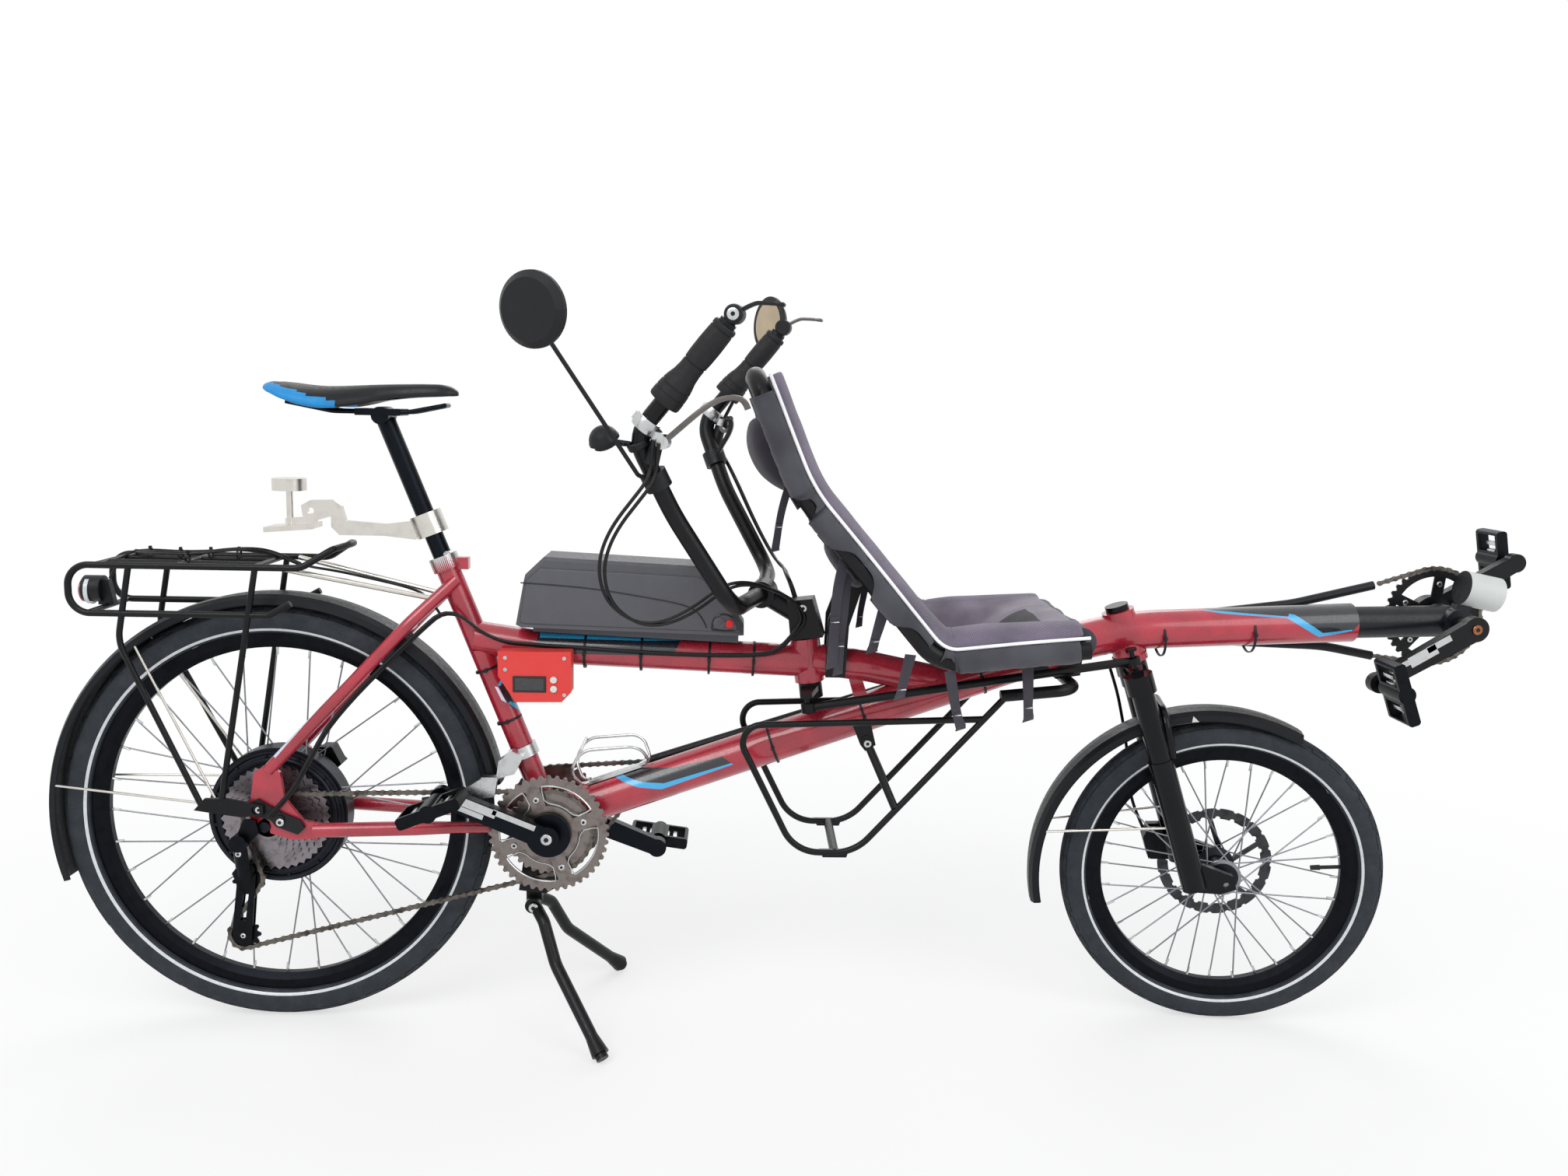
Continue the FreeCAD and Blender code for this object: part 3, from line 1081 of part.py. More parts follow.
def front_drive():
    """Front chain at its two rings, and the tubes that guide it along the frame."""
    y = FRONT_TUBE_Y
    tubes = []
    for route in (UPPER_TUBE, LOWER_TUBE):
        points = [at(x, y, z) for x, z in route]
        tubes.append(bent_tube(points, [300, 500, 900], 14))
    tubes = Part.makeCompound(tubes)
    feature("chain_tubes", tubes)
    ring_r = pitch_radius(dim("front_ring_teeth"))
    front = [(*LOWER_TUBE[0], 0, 1), (*BOOM_CRANK, ring_r, 1), (*UPPER_TUBE[0], 0, 1)]
    rear = [(*UPPER_TUBE[-1], 0, 1), (*CRANK, pitch_radius(dim("timing_ring_teeth")), 1), (*LOWER_TUBE[-1], 0, 1)]
    feature("front_chain", Part.makeCompound([largest(chain(run, y, False).cut(tubes)) for run in (front, rear)]))


# front boom

def front_boom():
    """Sliding boom with the front crank shell and its lamp."""
    end = at(BOOM_CRANK[0], 0, BOOM_CRANK[1])
    base = at(BOOM_END[0], 0, BOOM_END[1])
    back = (at(BOOM_BEND[0], 0, BOOM_BEND[1]) - base).normalize()
    d = dim("boom_tube_diameter")
    tube = rod(base + back * 116, base, d).fuse(rod(base, end, d))
    shell = Part.makeCylinder(23, dim("shell_width"), at(BOOM_CRANK[0], -dim("shell_width") / 2, BOOM_CRANK[1]), Vector(0, 1, 0))
    hole = Part.makeCylinder(12 + GAP, 200, at(BOOM_CRANK[0], -100, BOOM_CRANK[1]), Vector(0, 1, 0))
    bracket = plate(beside(end, [(5, 18), (29, 14), (35, 32), (13, 42)]), 16, -8)
    lamp_r = dim("lamp_radius")
    back_of_lamp, front_of_lamp = end + Vector(17, 0, 53), end + Vector(73, 0, 42)
    lamp = rod(back_of_lamp, front_of_lamp, 2 * lamp_r)
    reach = (front_of_lamp - back_of_lamp).normalize() * 4
    boom = fused([tube, shell, bracket]).cut(hole).cut(rod(back_of_lamp - reach, front_of_lamp + reach, 2 * lamp_r + 2 * GAP))
    feature("front_boom", largest(boom))
    feature("front_lamp", lamp)


# racks and mudguards

def rear_rack():
    """Tubular luggage rack with its legs, struts and tail lamp."""
    d = dim("rack_tube_diameter")
    half, top, low = dim("rack_half_width"), dim("rack_top_z"), dim("rack_low_z")
    rail = [(46, half, low + 18), (14, half, low), (-274, half, low), (-274, half, top), (62, half, top), (102, 50, top + 26),
            (122, 0, top + 31)]
    radii = [20, 30, 30, 30, 14]
    mirrored = [(x, -y, z) for x, y, z in reversed(rail[:-1])]
    parts = [bent_tube([at(*p) for p in rail + mirrored], radii + [60] + radii[::-1], d)]
    for side in SIDES:
        y = side * half
        parts.append(bent_tube([at(-4, y, top), at(-58, y + side * 6, 396), at(-60, side * 84, 362)], 20, d - 1))
        parts.append(bent_tube([at(-186, y, top), at(-206, y, 606), at(-90, side * 84, 364)], 60, d - 1))
        foot = plate([(-100, 356), (-84, 374), (-52, 374), (2, 364), (2, 350), (-30, 346), (-60, 350)], 6, side * 84.1 - 3)
        parts.append(foot.cut(Part.makeCylinder(6 + GAP, 200, at(-9, -100, 357), Vector(0, 1, 0))))
    for x in (-236, -120, -8):
        parts.append(rod(at(x, -half, top), at(x, half, top), d - 2))
    parts.append(rod(at(-250, -half, low), at(-250, half, low), d - 2))
    for y in (-26, 26):
        parts.append(rod(at(-236, y, top), at(-8, y, top), d - 3))
    feature("rear_rack", fused(parts))
    lamp = rod(at(-250 - d / 2 - GAP, 0, low + 26), at(-282, 0, low + 26), 40)
    ear = plate([(-262, low + 2), (-238, low + 2), (-246, low + 40), (-262, low + 40)], 12, -6)
    lamp = fused([lamp, ear]).cut(rod(at(-250, -20, low), at(-250, 20, low), d - 2 + 2 * GAP))
    feature("tail_lamp", lamp)
    struts = []
    for side in SIDES:
        strut = rod(at(18, side * (half - d / 2 - 4 - GAP), top), at(246, side * 28, 671), 8)
        struts.append(largest(strut.cut(seat_stay_bar(side, dim("seat_stay_diameter") + 2 * GAP))))
    feature("rack_struts", Part.makeCompound(struts))


def mudguards():
    """Both mudguards with their wire stays."""
    half = dim("guard_half_width")
    radius = (dim("rear_wheel_radius") + dim("rear_guard_gap"))
    wires = []
    for side in SIDES:
        for angle in (172, 127):
            tip = polar(REAR_AXLE, radius - 6, angle, side * (half + 1))
            wires.append(rod(tip, at(-66, side * (81.1 - 2 - GAP), 362), 4))
    guard(REAR_AXLE, radius, 9, 198, half, "rear_mudguard", None, wires)
    centre = (FRONT_AXLE[0] - 24, FRONT_AXLE[1] - 8)
    radius = (dim("front_wheel_radius") + dim("front_guard_gap"))
    half = half - 2
    lower = rod(front_local(0, 0, -148), front_local(0, 0, -380), dim("leg_diameter") + 2 * GAP)
    wires = []
    for side in SIDES:
        room = lower.copy()
        room.translate(Vector(0, side * dim("leg_spread"), 0))
        wires.append(rod(polar(centre, radius - 6, 166, side * (half + 1)), at(1390, side * 49, 334), 4).cut(room))
    tab = rod(front_local(24, 0, -98), front_local(24, 0, -80 - 15 / 2 - GAP), 12)
    guard(centre, radius, 62, 192, half, "front_mudguard", FRONT_STEER, wires + [tab])


def low_rack():
    """Low loops either side of the frame, their bridge, plates and cross bar."""
    half = dim("low_rack_half_width")
    d = dim("low_rack_tube_diameter")
    bar = dim("low_rack_bar_diameter")
    parts = []
    for side in SIDES:
        y = side * half
        loop = [at(1106, y, 541), at(886, y, 297), at(795, y, 297), at(697, y, 493), at(1074, y, 508)]
        parts.append(bent_tube(loop, [70, 60, 28], d))
        web = plate([(832, 302), (878, 302), (874, 290), (838, 290)], 6, y - 3)
        parts.append(web)
        top = side * 34
        upper = plate([(880, 490), (910, 488), (918, 456), (902, 446), (894, 456)], 4, top if side > 0 else top - 4)
        arm = rod(at(905, side * 36, 458), at(946, side * half, 368), 12)
        bolt = Part.makeCylinder(7, 12, at(903, side * 28 if side > 0 else -40, 464), Vector(0, 1, 0))
        parts.extend([upper, arm, bolt])
    parts.append(rod(at(856, -half, 296), at(856, half, 296), 14))
    cross = [at(1100, -half, 544), at(1216, -half, 556), at(1216, half, 556), at(1100, half, 544)]
    parts.append(bent_tube(cross, 32, bar))
    clamp = plate([(1196, 560), (1234, 566), (1236, 590), (1200, 600)], 40, -20)
    parts.append(clamp)
    path = [at(CRANK[0], 0, CRANK[1] + 12), at(BOOM_BEND[0], 0, BOOM_BEND[1]), at(BOOM_END[0], 0, BOOM_END[1])]
    tube_room = bent_tube(path, dim("boom_bend_radius"), dim("main_tube_diameter") + 2 * GAP)
    feature("low_rack", largest(fused(parts).cut(tube_room)))


# saddle

def saddle():
    """Seat post with its clamp and the saddle's rails, and the saddle."""
    top = dim("seat_tube_length")
    out = dim("post_out")
    d = dim("post_diameter")
    post = rod(up_seat_tube(top - 140), up_seat_tube(top + out), d)
    head = up_seat_tube(top + out + 8)
    barrel = Part.makeCylinder(13, 50, head - Vector(0, 25, 0), Vector(0, 1, 0))
    cradle = Part.makeBox(66, 54, 10, head + Vector(-36, -27, 0))
    rails = []
    tail, bend, rise, nose = beside(head, [(-135, 18.3), (-69, 5.3), (41, 5.3), (93, 16.3)])
    for side in SIDES:
        y = side * 22
        route = [at(tail[0], side * 30, tail[1]), at(bend[0], y, bend[1]), at(rise[0], y, rise[1]), at(nose[0], side * 10, nose[1])]
        rails.append(bent_tube(route, 60, 7))
    rails = fused(rails + [rod(at(nose[0], -14, nose[1]), at(nose[0], 14, nose[1]), 7)])
    feature("seat_post", fused([post, barrel, cradle, rails]))
    stations = (
        # ahead of the clamp, half width, top above the clamp, depth, droop of the wings
        (-167, 34, 42.3, 16, 4), (-151, 60, 47.3, 24, 10), (-117, 74, 48.3, 26, 16), (-73, 66, 44.3, 24, 16), (-29, 42, 38.3, 23, 8),
        (21, 27, 36.3, 20, 4), (71, 22, 37.3, 18, 3), (99, 18, 37.3, 16, 2), (108, 9, 35.3, 10, 0),
    )
    wires = []
    for ahead, wide, above, deep, droop in stations:
        (x, high), = beside(head, [(ahead, above)])
        points = []
        for k in range(12):
            a = math.radians(30 * k)
            y = wide * math.copysign(abs(math.cos(a)) ** 0.7, math.cos(a))
            z = high - deep / 2 + deep / 2 * math.copysign(abs(math.sin(a)) ** 0.7, math.sin(a))
            points.append(at(x, y, z - droop * abs(y / wide) ** 3))
        wires.append(Part.makePolygon(points + points[:1]))
    feature("saddle", Part.makeLoft(wires, True, True))


PIN_OFFSET = (-175.6, 0, 16.9)


def hitch():
    """Trailer arm clamped to the seat post."""
    clamp_at = up_seat_tube(dim("seat_tube_length") + 58)
    axis = (up_seat_tube(10) - up_seat_tube(0)).normalize()
    d = dim("post_diameter")
    clamp = rod(clamp_at - axis * 17, clamp_at + axis * 17, d + 20).cut(rod(clamp_at - axis * 40, clamp_at + axis * 40, d + 2 * GAP))
    arm = plate(beside(clamp_at, [
        (-11.6, 5.9), (-19.6, -24.1), (-65.6, -19.1), (-133.6, -19.1), (-145.6, -7.1), (-145.6, 8.9), (-171.6, 0.9), (-187.6, 8.9),
        (-189.6, 24.9), (-175.6, 32.9), (-141.6, 33.9), (-129.6, 24.9), (-123.6, 2.9), (-63.6, -1.1)]), 10, -5)
    arm = arm.cut(rod(clamp_at - axis * 40, clamp_at + axis * 40, d + 10))
    pin = clamp_at + Vector(*PIN_OFFSET)
    bore_cut = Part.makeCylinder(5, 30, pin - Vector(0, 15, 0), Vector(0, 1, 0))
    pad = plate(beside(clamp_at, [(-239.6, -15.1), (-167.6, -9.1), (-167.6, -1.1), (-239.6, -7.1)]), 50, -25)
    foot = clamp_at + Vector(-207.6, 0, -5.1)
    post = rod(foot, foot + Vector(0, 0, 58), 10)
    knob = rod(foot + Vector(0, 0, 52), foot + Vector(0, 0, 70), 50)
    rib = plate(beside(clamp_at, [(-213.6, -5.1), (-167.6, -1.1), (-167.6, 8.9), (-213.6, 4.9)]), 8, -4)
    feature("trailer_hitch", fused([clamp, arm.cut(bore_cut), pad, post, knob, rib]))


# battery and display

def electrics():
    """Battery on the top tube and the display box below it."""
    half = dim("battery_width") / 2
    case = plate([(370, 636), (384, 712), (412, 739), (640, 729), (664, 712), (712, 640), (712, 624), (378, 632)], 2 * half, -half)
    front = [e for e in case.Edges if abs(e.BoundBox.YLength) < 1e-6 and e.BoundBox.ZMin < 645 and e.BoundBox.ZMax > 705
             and e.BoundBox.XMin > at(600, 0, 0).x]
    case = case.makeFillet(dim("battery_nose_radius"), front)
    case = case.makeFillet(6, [e for e in case.Edges if e.BoundBox.YLength < 1e-6 and e.BoundBox.ZMax > 735 and e.BoundBox.XLength > 20])
    crest = dim("top_tube_diameter") / 2 + 2 * GAP
    rail = plate([(392, 596.2 + crest), (704, 583.2 + crest), (704, 628), (392, 636)], 40, -20)
    feature("battery_pack", fused([case, largest(rail)]))
    depth = dim("box_depth")
    y = -dim("top_tube_diameter") / 2 - GAP - depth
    box = plate([(345, 597), (454, 598), (454, 536), (440, 521), (371, 520), (345, 560)], depth, y)
    feature("display_box", box)


# front seat

SEAT_PATH = ((722, 1010), (790, 846), (990, 611), (1207, 634))
SEAT_CROSS = (1194, 645)


# upper end, lower end and near edge of each hanging strap tail
SEAT_STRAPS = (
    ((838, 830), (757, 752), -112), ((933, 700), (933, 558), -178), ((1025, 640), (1025, 510), -178),
    ((1126, 650), (1126, 523), -178), ((886, 730), (852, 640), 60),
)
SEAT_FRONT = [(736, 1018), (794, 904), (858, 812), (935, 722), (1000, 664), (1040, 650), (1150, 662), (1184, 657)]
SEAT_POCKETS = ([(772, 948), (794, 904), (832, 850)], [(878, 788), (916, 745)])


def offset_line(points, distance):
    """Points (x, z) of a line moved to its right by a distance."""
    out = []
    for i, (x, z) in enumerate(points):
        a = points[max(0, i - 1)]
        b = points[min(len(points) - 1, i + 1)]
        length = math.hypot(b[0] - a[0], b[1] - a[1])
        out.append((x + (b[1] - a[1]) / length * distance, z - (b[0] - a[0]) / length * distance))
    return out


def front_seat():
    """Seat frame, sling cover, back bracket and front clamp."""
    d = dim("seat_tube_size")
    y = dim("seat_half_width") - d / 2
    points = [at(SEAT_PATH[3][0], -y, SEAT_PATH[3][1])]
    points += [at(x, -y, z) for x, z in SEAT_PATH[2::-1]]
    points += [at(x, y, z) for x, z in SEAT_PATH[:3]]
    points.append(at(SEAT_PATH[3][0], y, SEAT_PATH[3][1]))
    loop = bent_tube(points, [62, 260, 44, 44, 260, 62], d)
    parts = [loop]
    parts.append(rod(at(SEAT_CROSS[0], -y, SEAT_CROSS[1]), at(SEAT_CROSS[0], y, SEAT_CROSS[1]), 18))
    parts.append(rod(at(886, -y, 733), at(886, y, 733), 20))
    feature("seat_frame", fused(parts))
    half = dim("seat_half_width") - 2
    t = dim("sling_thickness")
    room = [bent_tube(points, [62, 260, 44, 44, 260, 62], d + 2 * GAP)]
    room.append(rod(at(SEAT_CROSS[0], -y, SEAT_CROSS[1]), at(SEAT_CROSS[0], y, SEAT_CROSS[1]), 18 + 2 * GAP))
    room.append(rod(at(886, -y, 733), at(886, y, 733), 20 + 2 * GAP))
    cover = plate(SEAT_FRONT + offset_line(SEAT_FRONT, t)[::-1], 2 * half, -half)
    pockets = []
    for front, near, far, depth in ((SEAT_POCKETS[0], -120, 20, 40), (SEAT_POCKETS[1], -130, -40, 30)):
        outline = offset_line(front, t - 3) + offset_line(front, t + depth)[::-1]
        pockets.append(plate(outline, far - near, near))
    cover = fused([cover] + pockets)
    for tube in room:
        cover = largest(cover.cut(tube))
    feature("seat_cover", cover)
    plates = []
    for side in SIDES:
        near = 26 if side > 0 else -34
        outline = [(838, 560), (868, 560), (872, 640), (898, 722), (896, 745), (876, 745), (866, 722), (840, 650)]
        slab = plate(outline, 8, near)
        slot = plate([(850, 600), (856, 600), (858, 660), (852, 660)], 12, near - 2)
        slab = slab.cut(slot).cut(rod(at(886, -60, 733), at(886, 60, 733), 20 + 2 * GAP))
        plates.append(slab)
    bolt = Part.makeCylinder(7, 76, at(854, -38, 588), Vector(0, 1, 0))
    top_tube = next(s.Shape for s in made if s.Label == "top_tube")
    cover_room = plate(SEAT_FRONT + offset_line(SEAT_FRONT, t + GAP)[::-1], 2 * half, -half)
    bracket = fused(plates + [bolt]).cut(top_tube).cut(cover_room)
    path = [at(CRANK[0], 0, CRANK[1] + 12), at(BOOM_BEND[0], 0, BOOM_BEND[1]), at(BOOM_END[0], 0, BOOM_END[1])]
    tube_room = bent_tube(path, dim("boom_bend_radius"), dim("main_tube_diameter") + 2 * GAP)
    axis = (path[1] - path[0]).normalize()
    middle = at(1160, 0, 590)
    ring = rod(middle - axis * 17, middle + axis * 17, dim("main_tube_diameter") + 10).cut(tube_room)
    prop = plate([(1150, 616), (1176, 622), (1204, 634), (1204, 637), (1184, 637), (1150, 630)], 30, -15).cut(tube_room)
    clamp = largest(fused([ring, prop]).cut(rod(at(SEAT_CROSS[0], -60, SEAT_CROSS[1]), at(SEAT_CROSS[0], 60, SEAT_CROSS[1]), 18 + 2 * GAP)))
    feature("seat_bracket", Part.makeCompound(bracket.Solids + [clamp]))
    straps = []
    for (x1, z1), (x2, z2), y in SEAT_STRAPS:
        strap = plate([(x1 - 1.2, z1), (x1 + 1.2, z1), (x2 + 1.2, z2), (x2 - 1.2, z2)], 20, y).cut(cover_room)
        for tube in room:
            strap = min(strap.cut(tube).Solids, key=lambda piece: piece.BoundBox.ZMin)
        straps.append(strap)
    feature("seat_straps", Part.makeCompound(straps))


def soft_tube(points, diameter):
    """Round bar of short runs with arcs as large as their neighbours allow."""
    radii = []
    for before, corner, after in zip(points, points[1:], points[2:]):
        turn = (corner - before).getAngle(after - corner)
        shorter = min((corner - before).Length, (after - corner).Length)
        radii.append(0.45 * shorter / math.tan(turn / 2))
    return bent_tube(points, radii, diameter)


def calipers():
    """Brake calipers beside both discs, the front one with its hose."""
    y = dim("rear_rotor_line")
    pads = [(34, 392), (66, 380), (84, 396), (60, 420), (38, 418)]
    rear = [plate(pads, 17, y + 6.5), plate(pads, 4.5, y - 11.5)]
    rear.append(plate([(64, 402), (84, 396), (70, 424), (52, 424)], 30, y - 11.5))
    outer = dim("rear_axle_spacing") / 2 - GAP
    rear.append(plate([(10, 398), (28, 380), (60, 392), (50, 418), (24, 410)], 10, outer - 10))
    feature("rear_caliper", fused(rear))
    y = dim("front_rotor_line")
    front = []
    for near, wide in ((y + 6.5, 13), (y - 10.5, 4)):
        outline = [(-50, -338), (-21, -346), (-19, -290), (-40, -285)]
        corners = [front_local(a, near, u) for a, u in outline]
        front.append(Part.Face(Part.makePolygon(corners + corners[:1])).extrude(Vector(0, wide, 0)))
    outline = [(-52, -338), (-52, -300), (-38, -284), (-44, -330)]
    corners = [front_local(a, y - 10.5, u) for a, u in outline]
    front.append(Part.Face(Part.makePolygon(corners + corners[:1])).extrude(Vector(0, 30, 0)))
    spread = dim("leg_spread")
    front.append(rod(front_local(-28, spread - 10, -310), front_local(-12, spread, -310), 14))
    body = fused(front).cut(rod(front_local(0, spread, -148), front_local(0, spread, -380), dim("leg_diameter") + 2 * GAP))
    hose = soft_tube([front_local(*p) for p in ((-46, 50, -300), (-53, 60, -240), (-36, 58, -150), (-30, 44, -60), (-32, 34, -8))], 5)
    feature("front_caliper", fused([largest(body), hose]), FRONT_STEER)


def front_derailleur():
    """Cage over the rear chain's upper run, on a band round the seat tube."""
    y = -dim("chain_line")
    up = 124
    band = rod(up_seat_tube(up - 9), up_seat_tube(up + 9), dim("seat_tube_diameter") + 8)
    band = band.cut(rod(up_seat_tube(up - 30), up_seat_tube(up + 30), dim("seat_tube_diameter") + 2 * GAP))
    body = plate([(338, 396), (366, 404), (380, 432), (362, 440), (342, 424)], 22, y + 6)
    cage = [(292, 362), (338, 372), (342, 402), (318, 400), (294, 384)]
    plates = [plate(cage, 1.6, y + 5), plate(cage, 1.6, y - 6.6), plate([(318, 396), (342, 396), (342, 402), (318, 402)], 16, y - 6.6)]
    tube_room = rod(up_seat_tube(0), up_seat_tube(300), dim("seat_tube_diameter") + 2 * GAP)
    feature("front_derailleur", fused([band, body.cut(tube_room)] + plates))


def bottle_cage():
    """Wire cage on the main tube's upper side."""
    along = (at(BOOM_BEND[0], 0, BOOM_BEND[1]) - at(CRANK[0], 0, CRANK[1] + 12)).normalize()
    base = at(CRANK[0], 0, CRANK[1] + 12) + along * dim("bottle_place")
    up = Vector(-along.z, 0, along.x)
    lift = dim("main_tube_diameter") / 2 + GAP

    def spot(a, y, u):
        return base + along * a + up * (lift + u) + Vector(0, y, 0)
    across = [spot(-45, -9, 0), spot(45, -9, 0), spot(45, 9, 0), spot(-45, 9, 0)]
    parts = [Part.Face(Part.makePolygon(across + across[:1])).extrude(up * 4)]
    for side in SIDES:
        wire = [spot(-40, side * 6, 3), spot(-52, side * 14, 6), spot(-58, side * 36, 34), spot(-30, side * 38, 62),
                spot(56, side * 37, 40), spot(60, side * 12, 6), spot(42, side * 6, 3)]
        parts.append(soft_tube(wire, 5))
    parts.append(rod(spot(-30, -38, 62), spot(-30, 38, 62), 5))
    feature("bottle_cage", fused(parts))


BAR_CABLE = ((627, 255.5, 889), (657, 232, 842), (700, 204, 762), (744, 176, 706), (764, 120, 700), (770, 50, 702), (786, 26, 690), (802, 24, 652))
CABLE_LOOP = ((583, -231.5, 886), (577, -238, 866), (557, -240, 840), (535, -236, 811), (519, -224, 781), (511, -216, 750), (514, -206, 717),
              (526, -192, 690),
              (553, -176, 667), (581, -162, 661), (610, -148, 667), (641, -134, 683), (667, -120, 702), (692, -106, 714),
              (723, -86, 712), (759, -56, 696), (786, -26, 676), (802, -24, 650))
REAR_HOSE = ((802, 27, 604), (770, 29, 590), (600, 29, 592), (400, 29, 603), (330, 27, 608), (268, 30, 662), (222, 46, 622), (100, 64, 496),
             (66, 60, 446), (59, 54, 426))
FRONT_HOSE = ((812, 27, 596), (834, 41, 570), (884, 41, 564), (960, 34, 552), (1080, 32.9, 561), (1160, 38, 564), (1240, 36, 590), (1300, 32, 598))


def cables():
    """Brake hoses and gear cables, in two pieces that meet near the stem's axis."""
    d = dim("cable_diameter")
    far = soft_tube([at(*p) for p in BAR_CABLE], d)
    far.Placement = REAR_STEER.multiply(far.Placement)
    near = soft_tube([at(*p) for p in CABLE_LOOP], d)
    feature("bar_cables", Part.makeCompound([far, near]))
    feature("frame_cables", Part.makeCompound([soft_tube([at(*p) for p in route], d) for route in (REAR_HOSE, FRONT_HOSE)]))


def check_and_write():
    """Recompute, test every sub-part and write one STEP file each."""
    doc.recompute()
    for obj in doc.Objects:
        if "Invalid" in obj.State or "Error" in obj.State:
            raise RuntimeError(f"{obj.Name} failed: {obj.State}")
    os.makedirs("parts", exist_ok=True)
    for obj in made:
        shape = obj.Shape
        if shape.isNull() or not shape.isValid() or not shape.Solids:
            raise RuntimeError(f"{obj.Label} has no valid shape")
        shape.exportStep(f"parts/{obj.Label}.step")
    print(len(made), "sub-parts written")


rear_wheel()
front_wheel()
frame_tubes()
rear_triangle()
stand()
rear_cranks()
front_cranks()
for row in PEDALS:
    pedal(*row)
fork()
handlebar()
mirrors()
tie_rod()
rear_drive()
front_drive()
front_boom()
rear_rack()
mudguards()
low_rack()
saddle()
hitch()
electrics()
front_seat()
calipers()
front_derailleur()
bottle_cage()
cables()
check_and_write()
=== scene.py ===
"""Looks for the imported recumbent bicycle: finishes for the CAD nodes, and the soft and fine pieces."""

import logging
import math
from collections.abc import Callable, Sequence
from dataclasses import dataclass, field, replace
from enum import Enum

import bmesh
import bpy
from mathutils import Matrix, Vector


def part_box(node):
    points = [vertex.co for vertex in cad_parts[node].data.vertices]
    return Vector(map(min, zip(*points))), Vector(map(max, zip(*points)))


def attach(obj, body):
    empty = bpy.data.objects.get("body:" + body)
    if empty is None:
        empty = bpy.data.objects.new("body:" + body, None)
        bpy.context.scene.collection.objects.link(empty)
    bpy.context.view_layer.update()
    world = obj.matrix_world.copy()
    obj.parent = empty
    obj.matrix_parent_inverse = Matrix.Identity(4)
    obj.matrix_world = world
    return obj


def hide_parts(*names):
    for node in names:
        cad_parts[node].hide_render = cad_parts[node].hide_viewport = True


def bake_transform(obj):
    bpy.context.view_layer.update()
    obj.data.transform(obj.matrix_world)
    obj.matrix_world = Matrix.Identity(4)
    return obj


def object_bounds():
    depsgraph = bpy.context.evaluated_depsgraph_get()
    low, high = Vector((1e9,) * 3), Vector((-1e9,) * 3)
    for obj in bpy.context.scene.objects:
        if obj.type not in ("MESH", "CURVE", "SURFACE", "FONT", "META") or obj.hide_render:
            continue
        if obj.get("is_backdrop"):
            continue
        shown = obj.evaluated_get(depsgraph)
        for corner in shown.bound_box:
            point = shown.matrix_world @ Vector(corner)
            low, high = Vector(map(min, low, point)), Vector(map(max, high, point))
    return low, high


log = logging.getLogger("bicycle")

REAR_AXLE = (0.0, 328.0)
FRONT_AXLE = (1478.0, 250.0)
ORIGIN_AHEAD = 815.0
# degrees that the fork and the rear bar's stem lean back, and the turn that the steering is parked at
FORK_LEAN, STEM_LEAN, PARKED_TURN = 18.0, 8.0, -9.0
# metres from the front axle back to the steering axis, and up along it to the pivot
FORK_OFFSET, FORK_LENGTH = 0.048, 0.371
TOP_TUBE_WAY, SEAT_TUBE_WAY, MAIN_TUBE_WAY = (0.998, 0, -0.04), (-0.371, 0, 0.928), (0.942, 0, 0.335)
CHAIN_PITCH = 12.7
REAR_CRANK, BOOM_CRANK = (420, 315), (1817, 658)
DUST = "9C958C"


def at(x: float, y: float, z: float) -> Vector:
    """Point in metres from a station ahead of the rear axle, a side offset and a height in millimetres."""
    return Vector(((x - ORIGIN_AHEAD) / 1000, y / 1000, z / 1000))


def mirrored(spot: tuple[float, float, float], side: int) -> Vector:
    """Point in metres for a spot given on the far side: there with side 1, on the near side with -1."""
    return at(spot[0], side * spot[1], spot[2])


def linear(colour: str) -> tuple[float, float, float, float]:
    """Turns an sRGB hex colour into linear RGBA.

    Args:
        colour: Six hex digits, with or without a leading hash.

    Returns:
        Linear red, green, blue and an alpha of 1.
    """
    digits = colour.lstrip("#")
    shares = [int(digits[i:i + 2], 16) / 255 for i in (0, 2, 4)]
    return (*(c / 12.92 if c <= 0.04045 else ((c + 0.055) / 1.055) ** 2.4 for c in shares), 1.0)


def per_metre(millimetres: float) -> float:
    """Noise or wave scale whose features are about that many millimetres wide."""
    return 1000.0 / millimetres


def clamped(value: float) -> float:
    """Value kept between 0 and 1."""
    return min(1.0, max(0.0, value))


def eased(share: float) -> float:
    """Share that starts and ends gently."""
    return share * share * (3 - 2 * share)


def flattened(value: float, power: float) -> float:
    """Value raised to a power with its sign kept; powers below 1 make a ball boxy."""
    return math.copysign(abs(value) ** power, value)


# finishes


